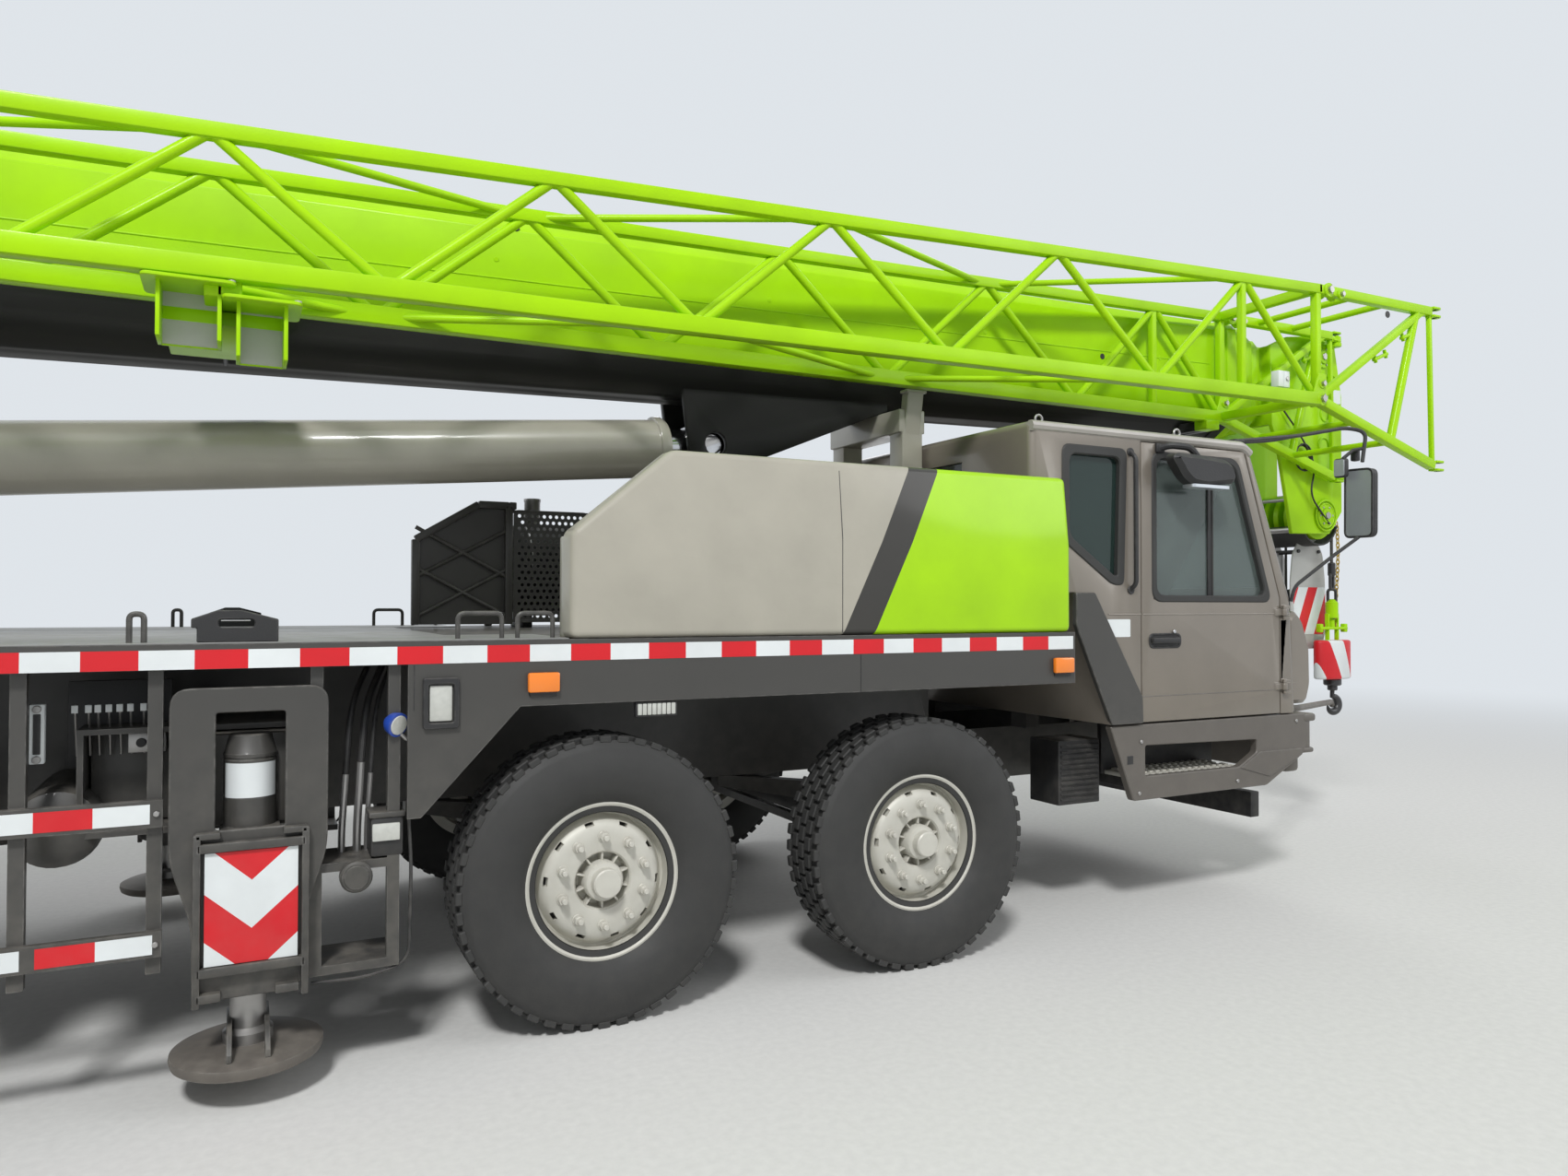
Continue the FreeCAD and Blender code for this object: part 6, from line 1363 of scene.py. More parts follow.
def chord_spot(x, far, high):
    """A point on one of the jib's four chords."""
    share = (x - JIB_TIP[0]) / (JIB_FOOT[0] - JIB_TIP[0])
    row = 2 if high else 1
    wide = JIB_TIP[3] + (JIB_FOOT[3] - JIB_TIP[3]) * share
    return Vector((x, JIB_NEAR + (wide if far else 0), JIB_TIP[row] + (JIB_FOOT[row] - JIB_TIP[row]) * share))


def tube_bar(mesh, start, end, wide, finish=0, soft=0.006):
    """A square tube between two points, with rolled corners."""
    start, end = Vector(start), Vector(end)
    run = end - start
    turn = run.to_track_quat("X", "Z").to_matrix().to_4x4()
    slab(mesh, (0, -wide / 2, -wide / 2), (run.length, wide / 2, wide / 2), soft, finish, place=Matrix.Translation(start) @ turn)


def lugged_pin(mesh, spot, radius=0.020, half=0.055):
    """A hinge pin across the jib in two round lugs, with its keeper."""
    for y in (-half * 0.55, half * 0.55):
        disc(mesh, spot + Vector((0, y, 0)), "y", radius * 2.1, 0.016, sides=28)
    pipe(mesh, [spot + Vector((0, -half, 0)), spot + Vector((0, half, 0))], radius, 1)
    pipe(mesh, [spot + Vector((0, -half * 0.95, radius * 1.4)), spot + Vector((0, -half * 0.95, -radius * 1.4))], 0.003, 1)


lattice = bmesh.new()
low_spots = []
spot_x, step_x = FIRST_NODE, PITCH
while spot_x > JIB_TIP[0] + 0.2:
    low_spots.append(spot_x)
    spot_x -= step_x
    step_x *= PITCH_RATIO
high_spots = [FIRST_NODE + PITCH / 2] + [(a + b) / 2 for a, b in zip(low_spots, low_spots[1:])]
for far in (False, True):
    for high in (False, True):
        tube_bar(lattice, chord_spot(JIB_TIP[0], far, high), chord_spot(JIB_FOOT[0], far, high), CHORD if high else LOW_CHORD)
    path = [(JIB_FOOT[0] - 0.03, False)]
    for high_x, low_x in zip(high_spots, low_spots):
        path += [(high_x, True), (low_x, False)]
    for (xa, high_a), (xb, high_b) in zip(path, path[1:]):
        pipe(lattice, [chord_spot(xa, far, high_a), chord_spot(xb, far, high_b)], BRACE, 0, sides=5)
    tube_bar(lattice, chord_spot(4.640, far, False), chord_spot(4.640, far, True), CHORD * 0.7)
for high in (False, True):
    swap = False
    spots = high_spots if high else low_spots
    for xa, xb in zip(spots, spots[1:]):
        pipe(lattice, [chord_spot(xa - 0.05, swap, high), chord_spot(xb + 0.05, not swap, high)], BRACE * 0.8, 0, sides=4)
        swap = not swap
for x in (JIB_TIP[0] + CHORD / 2, JIB_FOOT[0] - CHORD / 2):
    for high in (False, True):
        tube_bar(lattice, chord_spot(x, False, high), chord_spot(x, True, high), CHORD)
    for far in (False, True):
        tube_bar(lattice, chord_spot(x, far, False), chord_spot(x, far, True), CHORD * 0.8)
for far in (False, True):
    y = JIB_NEAR + (JIB_FOOT[3] if far else 0)
    root_low = chord_spot(JIB_FOOT[0] - CHORD / 2, far, False)
    root_high = chord_spot(JIB_FOOT[0] - CHORD / 2, far, True)
    post_low = along_boom @ Vector((POST_ALONG, y, EAR_HEIGHTS[0] + 0.020))
    post_high = along_boom @ Vector((POST_ALONG, y, EAR_HEIGHTS[1] + 0.072))
    tube_bar(lattice, root_high, post_high, CHORD)
    tube_bar(lattice, root_low, post_high + (root_high - post_high) * 0.06, CHORD * 0.8)
    tube_bar(lattice, root_low, post_low, CHORD)
    tube_bar(lattice, post_low, post_high, CHORD * 0.5)
    pipe(lattice, [root_low + (post_low - root_low) * 0.62, post_high + (root_high - post_high) * 0.12], BRACE * 1.25, 0, sides=5)
    for spot in (root_high + Vector((0.08, 0, -0.002)), root_low + Vector((0.01, 0, 0))):
        lugged_pin(lattice, spot)
        lugged_pin(lattice, spot + Vector((0.11, 0, -0.012)) if spot.z > 3.2 else spot + Vector((0.0, 0, 0.09)), 0.014)
    for spot, way in ((post_high, 1), (post_low, -1)):
        for z in (-0.026, 0.026):
            slab(lattice, (spot.x + 0.01, y - 0.030, spot.z + z - 0.007), (spot.x + 0.078, y + 0.030, spot.z + z + 0.007), 0.003, 0)
            disc(lattice, (spot.x + 0.074, y, spot.z + z), "z", 0.030, 0.014, sides=28)
    gusset = [(root_low.x - 0.07, root_low.z + 0.02), (root_low.x + 0.06, root_low.z + 0.02), (root_low.x + 0.05, root_low.z + 0.15),
              (root_low.x - 0.02, root_low.z + 0.15)]
    panel(lattice, [gusset], (y - 0.033, y - 0.024), soft=0.002)
    for along in (0.55, 0.80):
        clip = root_low + (post_high - root_low) * along + Vector((0, 0, -0.045))
        turn = Matrix.Translation(clip) @ Matrix.Rotation(-math.atan2(0.46, 1.15), 4, "Y")
        slab(lattice, (-0.07, -0.014, -0.010), (0.07, 0.014, 0.010), 0.005, 0, place=turn)
        for end in (-0.055, 0.055):
            slab(lattice, (end - 0.006, -0.010, -0.024), (end + 0.006, 0.010, 0.030), 0.003, 0, place=turn)
for share in (0.32, 0.62):
    for height, high in ((EAR_HEIGHTS[0] + 0.020, False), (EAR_HEIGHTS[1] + 0.072, True)):
        root = chord_spot(JIB_FOOT[0] - CHORD / 2, False, high)
        start = root + (along_boom @ Vector((POST_ALONG, JIB_NEAR, height)) - root) * share
        pipe(lattice, [start, start + Vector((0, JIB_FOOT[3], 0))], BRACE, 0, sides=4)
disc(lattice, (JIB_FOOT[0] + 0.62, JIB_NEAR - 0.027, 3.418), "y", 0.022, 0.004, finish=2)
for x in (5.005, 5.055):
    slab(lattice, (x - 0.024, JIB_NEAR + 0.02, 2.885), (x + 0.024, JIB_NEAR + 0.075, 2.982), 0.005, 3)
disc(lattice, (5.055, JIB_NEAR + 0.017, 2.935), "y", 0.013, 0.010, finish=1)
tip_wheel = spun(((-0.022, 0.03), (-0.022, 0.115), (-0.012, 0.120), (-0.006, 0.100), (0.006, 0.100), (0.012, 0.120), (0.022, 0.115),
                  (0.022, 0.03)), 36, closed=True)
joined(lattice, tip_wheel, 1, Matrix.Translation((JIB_TIP[0] + 0.135, JIB_NEAR + 0.085, 2.89)))
pipe(lattice, [(JIB_TIP[0] + 0.135, JIB_NEAR + 0.01, 2.89), (JIB_TIP[0] + 0.135, JIB_NEAR + 0.16, 2.89)], 0.030, 1)
for height in EAR_HEIGHTS:
    disc(lattice, (SWING_ALONG, -0.350, height + 0.052), "z", 0.032, 0.040, sides=28, place=along_boom)
    slab(lattice, (POST_ALONG, -0.370, height + 0.032), (SWING_ALONG - 0.02, -0.330, height + 0.072), 0.004, place=along_boom)
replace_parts(piece("jib_lattice", lattice, "jib", "boom_paint", lime_paint, bare_steel, black_plastic, white_tape), "jib")

# Hook blocks: the auxiliary hook hangs on one rope under a striped iron weight, held back to the bumper.
# The main block carries four grooved sheaves between steel cheeks, with its own hook below.

ROPE_X = 6.6106
SHEAVE_Z = 2.237
AUX_Y = -0.205
ROPE_LINES = (-0.090, -0.003, 0.084, 0.171)
MAIN_X = ROPE_X - 0.150
MAIN_Z = 1.570
rope_steel = paint("rope_steel", (0.10, 0.095, 0.088), gloss=0.5, metal=0.7, dust=0.1, edge=0, spread=60.0, relief=0.3)
iron_black = paint("iron_black", (0.020, 0.020, 0.022), gloss=0.38, coat=0.2, dust=0.12, edge=0.35)
gold_chain = paint("gold_chain", (0.62, 0.44, 0.10), gloss=0.35, metal=0.9, dust=0.05, edge=0)


def banded(part, normal, start, spacing, first=0, second=1, count=12):
    """Cuts a part along even planes and gives the bands two finishes in turn."""
    normal = Vector(normal).normalized()
    for number in range(count):
        whole = part.verts[:] + part.edges[:] + part.faces[:]
        bmesh.ops.bisect_plane(part, geom=whole, plane_co=normal * (start + number * spacing), plane_no=normal)
    for face in part.faces:
        band = int((face.calc_center_median().dot(normal) - start) // spacing)
        face.material_index = first if band % 2 else second


def hook_shape(mesh, centre, size, finish):
    """A forged hook: a round section that swells at its bend and thins to its point."""
    path, swells = [], []
    for step in range(22):
        turn = math.radians(95 - 270 * step / 21)
        path.append((centre[0] + size * math.cos(turn), centre[1], centre[2] + size * math.sin(turn)))
        swells.append(0.55 + 0.55 * math.sin(math.pi * min(1, step / 18)) - (0.4 * (step - 18) / 3 if step > 18 else 0))
    path.insert(0, (centre[0], centre[1], centre[2] + size * 1.9))
    swells.insert(0, 0.55)
    curve = bpy.data.curves.new("hook", "CURVE")
    curve.dimensions = "3D"
    curve.bevel_depth = size * 0.52
    curve.bevel_resolution = 6
    curve.use_fill_caps = True
    line = curve.splines.new("POLY")
    line.points.add(len(path) - 1)
    for spot, point, swell in zip(line.points, path, swells):
        spot.co = (*point, 1)
        spot.radius = swell
    holder = bpy.data.objects.new("hook", curve)
    made = bpy.data.meshes.new_from_object(holder)
    part = bmesh.new()
    part.from_mesh(made)
    joined(mesh, part, finish)
    bpy.data.objects.remove(holder)
    bpy.data.curves.remove(curve)
    bpy.data.meshes.remove(made)


aux = bmesh.new()
pipe(aux, [(ROPE_X, AUX_Y, SHEAVE_Z), (ROPE_X, AUX_Y, 1.90)], 0.011, 2)
disc(aux, (ROPE_X, AUX_Y, 1.86), "z", 0.026, 0.10, sides=20, finish=3, soft=0.008)
for height in (1.77, 1.66, 1.56):
    loop = rounded([(ROPE_X - 0.026, AUX_Y, height - 0.055), (ROPE_X + 0.026, AUX_Y, height - 0.055),
                    (ROPE_X + 0.026, AUX_Y, height + 0.055), (ROPE_X - 0.026, AUX_Y, height + 0.055)], 0.024)
    turned = Matrix.Translation((ROPE_X, AUX_Y, 0)) @ Matrix.Rotation(height * 9, 4, "Z") @ Matrix.Translation((-ROPE_X, -AUX_Y, 0))
    pipe(aux, loop, 0.011, 3, closed=True, place=turned)
chain_x = ROPE_X + 0.060
for number in range(26):
    height = 2.190 - number * 0.0305
    loop = [(0.011 * math.cos(turn * math.pi / 6), 0, 0.021 * math.sin(turn * math.pi / 6)) for turn in range(12)]
    sway = 0.012 * math.sin(number * 0.24)
    place = Matrix.Translation((chain_x + sway, AUX_Y, height)) @ Matrix.Rotation(math.pi / 2 * (number % 2), 4, "Z")
    pipe(aux, loop, 0.0042, 4, closed=True, sides=1, place=place)
disc(aux, (ROPE_X, AUX_Y, 1.565), "z", 0.042, 0.120, sides=32, finish=5, soft=0.006)
disc(aux, (ROPE_X, AUX_Y, 1.634), "z", 0.036, 0.022, top=0.016, sides=32, finish=5, soft=0.003)
disc(aux, (ROPE_X, AUX_Y, 1.480), "z", 0.018, 0.080, sides=20, finish=5)
slab(aux, (ROPE_X - 0.150, AUX_Y - 0.022, 1.424), (ROPE_X + 0.150, AUX_Y + 0.022, 1.444), 0.006, 5)
for x in (-0.052, 0.052):
    slab(aux, (ROPE_X + x - 0.007, AUX_Y - 0.016, 1.335), (ROPE_X + x + 0.007, AUX_Y + 0.016, 1.540), 0.004, 5)
for x in (-0.135, 0.135):
    slab(aux, (ROPE_X + x - 0.018, AUX_Y - 0.018, 1.405), (ROPE_X + x + 0.018, AUX_Y + 0.018, 1.466), 0.006, 5)
body = bmesh.new()
bmesh.ops.create_cone(body, cap_ends=True, segments=64, radius1=0.178, radius2=0.178, depth=0.280)
bmesh.ops.scale(body, vec=(1, 0.42, 1), verts=body.verts)
softened(body, 0.016, 3)
bmesh.ops.translate(body, vec=(ROPE_X, AUX_Y, 1.208), verts=body.verts)
banded(body, (0.92, 0, 0.39), 6.020, 0.122)
joined(aux, body, None)
disc(aux, (ROPE_X, AUX_Y, 1.046), "z", 0.060, 0.050, sides=32, finish=3, soft=0.008)
disc(aux, (ROPE_X, AUX_Y, 1.010), "z", 0.034, 0.050, sides=24, finish=3, soft=0.006)
hook_shape(aux, (ROPE_X, AUX_Y, 0.886), 0.056, 3)
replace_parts(piece("aux_hook_block", aux, "aux_hook", "hook_paint", red_tape, white_tape, rope_steel, iron_black, gold_chain,
                  lime_paint), "aux_hook")

main = bmesh.new()
for y in ROPE_LINES:
    pipe(main, [(ROPE_X, y, SHEAVE_Z), (ROPE_X, y, MAIN_Z)], 0.010, 2)
    groove = ((-0.022, 0.045), (-0.022, 0.148), (-0.016, 0.150), (-0.009, 0.132), (0.0, 0.128), (0.009, 0.132), (0.016, 0.150),
              (0.022, 0.148), (0.022, 0.045))
    joined(main, spun(groove, 48, closed=True), 3, Matrix.Translation((MAIN_X, y, MAIN_Z)))
cheek = [(-0.150, -0.285), (0.150, -0.285), (0.185, -0.180), (0.190, 0.200), (0.165, 0.400), (0.085, 0.520), (-0.085, 0.520),
         (-0.165, 0.400), (-0.190, 0.200), (-0.185, -0.180)]
board = [(-0.160, -0.180), (0.185, -0.180), (0.185, 0.160), (-0.160, 0.160)]
for y, out in ((-0.125, -1), (0.206, 1)):
    plate_y = sorted((y, y - out * 0.012))
    panel(main, [rounded([(MAIN_X + x, MAIN_Z + z) for x, z in cheek], 0.03)], plate_y, soft=0.003, finish=5)
    stripes = bmesh.new()
    panel(stripes, [rounded([(MAIN_X + x, MAIN_Z + z) for x, z in board], 0.01)], sorted((y, y + out * 0.003)), soft=0)
    banded(stripes, (0.92, 0, -0.40), 4.946, 0.095)
    joined(main, stripes, None)
    for x, z in ((-0.110, 0.420), (0.110, 0.420), (0, 0.480), (-0.120, -0.245), (0.120, -0.245)):
        disc(main, (MAIN_X + x, y + out * 0.006, MAIN_Z + z), "y", 0.014, 0.016, sides=6, finish=3)
for x, z in ((-0.110, 0.420), (0.110, 0.420), (-0.120, -0.245), (0.120, -0.245)):
    pipe(main, [(MAIN_X + x, -0.12, MAIN_Z + z), (MAIN_X + x, 0.20, MAIN_Z + z)], 0.010, 3)
pipe(main, [(MAIN_X, -0.12, MAIN_Z), (MAIN_X, 0.20, MAIN_Z)], 0.038, 3)
slab(main, (MAIN_X - 0.070, -0.113, 1.295), (MAIN_X + 0.070, 0.194, 1.395), 0.012, 5)
disc(main, (MAIN_X, 0.040, 1.262), "z", 0.055, 0.070, sides=32, finish=3, soft=0.008)
disc(main, (MAIN_X, 0.040, 1.200), "z", 0.030, 0.080, sides=24, finish=3, soft=0.004)
hook_shape(main, (MAIN_X, 0.040, 1.060), 0.066, 3)
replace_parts(piece("main_hook_block", main, "main_hook", "hook_paint", red_tape, white_tape, rope_steel, iron_black, gold_chain,
                  block_grey), "main_hook")

tie = bmesh.new()
tie_path = [(4.935, -1.100, 1.012), (5.050, -1.085, 1.000), (6.560, -0.230, 0.905), (6.602, -0.205, 0.880)]
pipe(tie, rounded(tie_path, 0.03, closed=False), 0.019, 0)
eye = [(4.925 + 0.030 * math.cos(turn * math.pi / 8), -1.100, 1.012 + 0.030 * math.sin(turn * math.pi / 8)) for turn in range(16)]
pipe(tie, eye, 0.010, 0, closed=True)
piece("hook_tie", tie, "carrier", "trim_beige", float_steel)

# Silencer and boom rest: a ribbed exhaust silencer lies across the deck behind a braced tube guard.
# The boom lies on a padded cross beam, between two bolted arms.

rack = bmesh.new()
guard_y = 0.570
for front_x, rear_x in ((0.380, 0.860),):
    ring = [(rear_x, 1.49), (rear_x, 2.13), (0.700, 2.13), (front_x, 1.935), (front_x, 1.49)]
    for (xa, za), (xb, zb) in zip(ring, ring[1:]):
        tube_bar(rack, (xa, guard_y, za), (xb, guard_y, zb), 0.040, soft=0.006)
    for lift in (0.030, 0.240):
        pipe(rack, [(front_x, guard_y, 1.500 + lift), (rear_x, guard_y, 1.760 + lift)], 0.011, 0)
        pipe(rack, [(front_x, guard_y, 1.760 + lift), (rear_x, guard_y, 1.500 + lift)], 0.011, 0)
tube_bar(rack, (0.880, 0.55, 2.13), (0.880, 1.20, 2.13), 0.040)
tube_bar(rack, (0.880, 1.18, 1.47), (0.880, 1.18, 2.13), 0.040)
panel(rack, [[(0.385, 1.49), (0.855, 1.49), (0.855, 2.12), (0.70, 2.12), (0.385, 1.93)]], (0.584, 0.588), soft=0, finish=0)
panel(rack, [box_of((0.56, 1.49), (1.18, 2.12))], (0.878, 0.882), axis="x", soft=0, finish=0)
MESH_LOW, MESH_HIGH, MESH_STEP, HOLE = (0.885, 1.50), (1.300, 2.11), 0.034, 0.010
holes = []
for row in range(17):
    for column in range(11):
        x = MESH_LOW[0] + 0.032 + column * MESH_STEP + MESH_STEP / 2 * (row % 2)
        z = MESH_LOW[1] + 0.034 + row * MESH_STEP
        holes.append([(x + HOLE * math.cos(turn * math.pi / 4), z + HOLE * math.sin(turn * math.pi / 4)) for turn in range(8)])
panel(rack, [rounded(box_of(MESH_LOW, MESH_HIGH), 0.03)] + holes, (0.562, 0.566), soft=0, finish=0)
for z in (MESH_LOW[1] + 0.01, MESH_HIGH[1] - 0.01):
    pipe(rack, [(MESH_LOW[0], 0.570, z), (MESH_HIGH[0], 0.570, z)], 0.009, 0)
muffler = [(0.0, 0.0), (0.0, 0.20), (0.02, 0.235), (0.06, 0.248)]
for number in range(6):
    start = 0.06 + number * 0.138
    muffler += [(start + 0.010, 0.250), (start + 0.120, 0.250), (start + 0.124, 0.244), (start + 0.134, 0.244)]
muffler += [(0.90, 0.248), (0.93, 0.235), (0.95, 0.20), (0.95, 0.0)]
joined(rack, spun(muffler, 56), 1, Matrix.Translation((0.900, 0.900, 1.800)) @ Matrix.Rotation(-math.pi / 2, 4, "Z"))
for x in (1.010, 1.730):
    slab(rack, (x - 0.03, 0.76, 1.470), (x + 0.03, 1.04, 1.620), 0.006, 0)
    strap = [(x, 0.900 + 0.254 * math.cos(turn * math.pi / 20), 1.800 + 0.254 * math.sin(turn * math.pi / 20)) for turn in range(40)]
    pipe(rack, strap, 0.006, 2, closed=True)
stack = ((-0.12, 0.036), (-0.12, 0.045), (0.10, 0.045), (0.105, 0.048), (0.12, 0.048), (0.12, 0.036))
joined(rack, spun(stack, 32, closed=True), 2, Matrix.Translation((1.070, 0.900, 2.085)) @ Matrix.Rotation(math.pi / 2, 4, "X"))
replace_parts(piece("silencer_rack", rack, "carrier", "carrier_grey", charcoal_paint, black_plastic, bare_steel), "exhaust_guard")

rest = bmesh.new()
joined(rest, eased("boom_rest", 0.006), 0)
for side in (-1, 1):
    arm = [(side * 0.310, 2.52), (side * 0.378, 2.52), (side * 0.420, 2.765), (side * 0.352, 2.765)]
    panel(rest, [arm], (2.790, 2.890), axis="x", soft=0.006, finish=0)
    slab(rest, (2.775, min(side * 0.352, side * 0.424), 2.755), (2.905, max(side * 0.352, side * 0.424), 2.770), 0.004, 0)
    for z in (1.60, 1.66, 1.72):
        disc(rest, (2.844, side * 0.383, z), "y", 0.012, 0.010, sides=6, finish=1)
    tube_bar(rest, (2.700, side * 0.32, 1.475), (2.800, side * 0.32, 2.05), 0.05)
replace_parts(piece("boom_cradle", rest, "carrier", "trim_beige", beige_paint, bare_steel), "boom_rest")

# Turntable: thick flame-cut cheeks on a round slewing ring, with the winches between them and pipes on the floor.
# Counterweight slabs of painted cast iron hang at the tail on lifting eyes.

replaced("turntable_body", eased("turntable_frame", 0.006), "turntable_frame", "turntable", "carrier_grey", charcoal_paint)
table_bits = bmesh.new()
SLEW_X = -3.0
for bolt in range(40):
    turn = 2 * math.pi * bolt / 40
    disc(table_bits, (SLEW_X + 0.60 * math.cos(turn), 0.60 * math.sin(turn), 1.563), "z", 0.016, 0.022, sides=6, finish=1)
for side in (-1, 1):
    for x, z, radius in ((-4.9, 2.8, 0.105), (-2.15, 2.109, 0.095)):
        disc(table_bits, (x, side * 0.382, z), "y", radius, 0.020, sides=40, finish=0)
        disc(table_bits, (x, side * 0.394, z), "y", radius * 0.55, 0.016, sides=32, finish=1)
        slab(table_bits, (x - 0.05, side * 0.392 - 0.006, z - radius - 0.035), (x + 0.05, side * 0.392 + 0.006, z - radius + 0.015), 0.003, 0)
    for x in (-4.6, -4.1, -3.6, -3.1, -2.6):
        gusset = [(side * 0.376, 1.561), (side * 0.60, 1.561), (side * 0.376, 1.80)]
        panel(table_bits, [gusset], (x - 0.008, x + 0.008), axis="x", soft=0.002)
for y in (-0.22, -0.16, -0.10):
    pipe(table_bits, rounded([(-4.2, y, 1.70), (-3.6, y, 1.60), (-2.6, y, 1.60), (-2.25, y, 1.95)], 0.15, closed=False), 0.014, 2)
slab(table_bits, (-3.9, 0.02, 1.565), (-3.3, 0.28, 1.78), 0.01, 2)
for column in range(5):
    disc(table_bits, (-3.82 + column * 0.11, 0.15, 1.80), "z", 0.030, 0.07, finish=1)
disc(table_bits, (-3.9, -0.76, 2.262), "z", 0.060, 0.030, finish=1, soft=0.006)
disc(table_bits, (-3.35, -0.76, 2.30), "z", 0.075, 0.10, finish=2, soft=0.012)
for x in (-4.05, -3.25):
    slab(table_bits, (x - 0.025, -1.154, 1.56), (x + 0.025, -1.148, 2.24), 0.002, 1)
disc(table_bits, (-3.65, -1.154, 1.95), "y", 0.035, 0.012, finish=2)
piece("turntable_fittings", table_bits, "turntable", "carrier_grey", charcoal_paint, bare_steel, black_plastic)

ballast = bmesh.new()
joined(ballast, eased("counterweight", 0.022, 3), 0)
for side in (-1, 1):
    for x in (-5.95, -5.50):
        ring = [(x + 0.045 * math.cos(turn * math.pi / 8), side * 0.75, 2.050 + 0.045 * math.sin(turn * math.pi / 8)) for turn in range(16)]
        pipe(ballast, ring, 0.012, 1, closed=True)
    for x in (-5.85, -5.60):
        disc(ballast, (x, side * 0.44, 2.056), "z", 0.030, 0.030, sides=6, finish=1)
    slab(ballast, (-5.900, min(side * 1.149, side * 1.152), 1.803), (-5.352, max(side * 1.149, side * 1.152), 1.809), 0, 2)
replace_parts(piece("ballast", ballast, "turntable", "boom_paint", lime_paint, bare_steel, black_plastic), "counterweight")

hoists = bmesh.new()
for x, z in ((-5.54, 2.14), (-4.40, 1.85)):
    turns = [(-0.285, 0.0), (-0.285, 0.150)]
    for number in range(25):
        middle = -0.270 + number * 0.0225
        turns += [(middle - 0.008, 0.160), (middle, 0.170), (middle + 0.008, 0.160)]
    turns += [(0.285, 0.150), (0.285, 0.0)]
    joined(hoists, spun(turns, 48), 1, Matrix.Translation((x, 0, z)))
    for side in (-1, 1):
        joined(hoists, spun(((-0.010, 0.0), (-0.010, 0.232), (-0.004, 0.240), (0.004, 0.240), (0.010, 0.232), (0.010, 0.0)), 48), 0,
               Matrix.Translation((x, side * 0.300, z)))
        disc(hoists, (x, side * 0.322, z), "y", 0.120, 0.024, sides=32, finish=0)
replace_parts(piece("hoist_drums", hoists, "turntable", "steel", charcoal_paint, rope_steel), "winches")

# Operator's cab: a narrow welded cab left of the boom, with a raked screen and a door that slides to the rear.
# Its panes are framed in rubber, and a sprung seat with two armrest consoles stands inside.

OP_LOW = Vector((-3.95, 0.48, 1.62))
OP_HIGH = Vector((-2.45, 1.22, 3.12))
operator = eased("op_cab_shell", 0)
inside = [face for face in operator.faces
          if all(OP_LOW.x + 0.10 < one.co.x < OP_HIGH.x - 0.30 and OP_LOW.y + 0.06 < one.co.y < OP_HIGH.y - 0.06
                 and OP_LOW.z + 0.039 < one.co.z < OP_HIGH.z - 0.06 for one in face.verts)]
bmesh.ops.delete(operator, geom=inside, context="FACES")
softened(operator, 0.010, 2)
replaced("operator_cab", operator, "op_cab_shell", "turntable", "cab_grey", taupe_paint)
replaced("operator_door", eased("op_cab_door", 0.006), "op_cab_door", "op_door", "cab_grey", taupe_paint)
op_trim = bmesh.new()
window = box_of((-3.75, 2.38), (-2.87, 3.00))
panel(op_trim, [rounded(grown(window, 0.014), 0.05), rounded(grown(window, -0.020), 0.045)], (0.474, 0.505), soft=0.005)
for y in (0.545, 1.155):
    pipe(op_trim, [(-2.466, y, 2.185), (-2.678, y, 3.025)], 0.012, 0)
for x, z in ((-2.464, 2.182), (-2.680, 3.028)):
    pipe(op_trim, [(x, 0.545, z), (x, 1.155, z)], 0.012, 0)
pipe(op_trim, [(-2.458, 0.85, 2.19), (-2.560, 0.72, 2.62)], 0.007, 1)
pipe(op_trim, [(-2.520, 0.70, 2.45), (-2.610, 0.75, 2.80)], 0.009, 0)
disc(op_trim, (-3.70, 0.85, 3.125), "z", 0.075, 0.012, finish=1)
for spot_y in (0.60, 1.10):
    slab(op_trim, (-2.66, spot_y - 0.06, 3.03), (-2.56, spot_y + 0.06, 3.115), 0.012, 1)
    disc(op_trim, (-2.556, spot_y, 3.072), "x", 0.040, 0.010, finish=2)
piece("operator_cab_trim", op_trim, "turntable", "cab_grey", rubber, black_plastic, clear_lens)
op_door_trim = bmesh.new()
door_pane = box_of((-3.37, 2.32), (-2.85, 2.98))
panel(op_door_trim, [rounded(grown(door_pane, 0.012), 0.045), rounded(grown(door_pane, -0.020), 0.04)], (1.232, 1.266), soft=0.005)
pipe(op_door_trim, rounded([(-2.83, 1.262, 2.00), (-2.83, 1.290, 2.03), (-2.83, 1.290, 2.27), (-2.83, 1.262, 2.30)], 0.02, closed=False), 0.010, 1)
slab(op_door_trim, (-3.372, 1.240, 2.318), (-2.848, 1.246, 2.982), 0, 2)
piece("operator_door_trim", op_door_trim, "op_door", "cab_grey", rubber, black_plastic, glass_pane)
chair = bmesh.new()
cushion(chair, (-3.70, 0.62, 2.02), (-3.25, 1.08, 2.13), 0.010)
cushion(chair, (-3.78, 0.63, 2.12), (-3.68, 1.07, 2.72), 0.008)
piece("operator_seat", chair, "turntable", "interior", cloth)
console = bmesh.new()
slab(console, (-3.62, 0.72, 1.655), (-3.35, 0.98, 2.02), 0.015, 0)
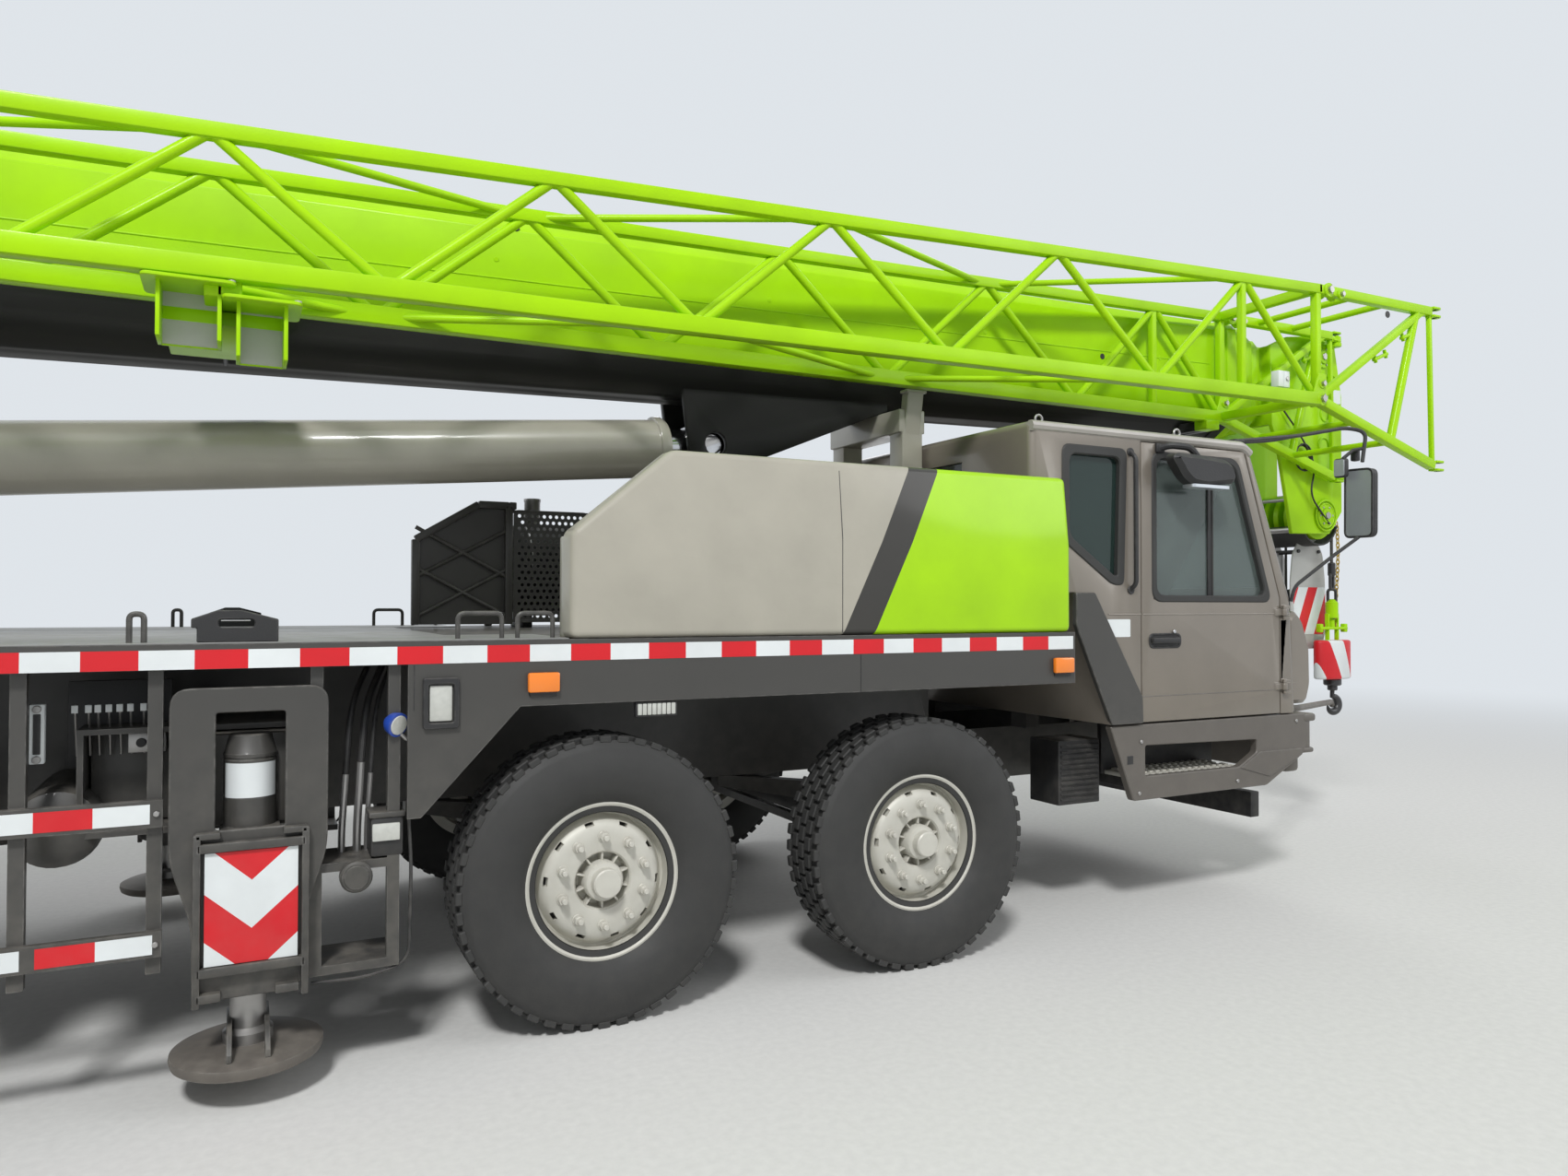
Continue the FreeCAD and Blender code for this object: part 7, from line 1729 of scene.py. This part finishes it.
for y in (0.575, 1.125):
    slab(console, (-3.55, y - 0.045, 2.05), (-3.15, y + 0.045, 2.22), 0.02, 0)
    pipe(console, [(-3.20, y, 2.21), (-3.17, y, 2.34)], 0.009, 1)
    disc(console, (-3.168, y, 2.36), "z", 0.024, 0.06, finish=0, soft=0.012)
    slab(console, (-3.62, y - 0.03, 1.70), (-3.54, y + 0.03, 2.06), 0.01, 0)
piece("operator_console", console, "turntable", "interior", dash_plastic, bare_steel)

# Running gear: drive shafts, air bottles and the rear lamp bar hang on the frame, all in dark paint or plastic.
# The cab's fenders and the mudguards over the rear axles are folded sheet.

running = bmesh.new()
for start, end in (((1.20, 0, 0.78), (-2.90, 0, 0.62)), ((-3.55, 0, 0.60), (-4.35, 0, 0.60))):
    pipe(running, [start, end], 0.050, 0, sides=5)
    for spot in (start, end):
        disc(running, spot, "x", 0.080, 0.060, finish=1, soft=0.01)
for x, side in ((-1.35, -1), (-0.95, -1), (-1.15, 1)):
    bottle = [(-0.32, 0.0), (-0.32, 0.07), (-0.29, 0.12), (-0.24, 0.13), (0.24, 0.13), (0.29, 0.12), (0.32, 0.07), (0.32, 0.0)]
    joined(running, spun(bottle, 32), 0, Matrix.Translation((x, side * 0.86, 0.88)))
piece("running_gear", running, "carrier", "carrier_grey", charcoal_paint, bare_steel)
rear = bmesh.new()
red_lens = paint("red_lens", (0.55, 0.010, 0.012), gloss=0.2, coat=0.8, dust=0.12, edge=0, relief=0.02)
for side in (-1, 1):
    lamp_box = both_sides(0.86, 1.22, side)
    slab(rear, (-6.770, lamp_box[0], 0.735), (-6.700, lamp_box[1], 0.850), 0.010, 0)
    for number, finish in enumerate((1, 2, 1)):
        y = side * (0.92 + number * 0.11)
        slab(rear, (-6.782, y - 0.048, 0.748), (-6.765, y + 0.048, 0.838), 0.010, finish)
for number in range(12):
    y = -1.08 + number * 0.18
    slab(rear, (-6.7900, y, 0.778), (-6.7870, y + 0.18, 0.838), 0, 3 + number % 2)
slab(rear, (-6.785, -0.24, 0.60), (-6.775, 0.24, 0.70), 0.003, 3)
piece("rear_lamps", rear, "carrier", "trim_beige", black_plastic, red_lens, amber_lens, white_tape, red_tape)
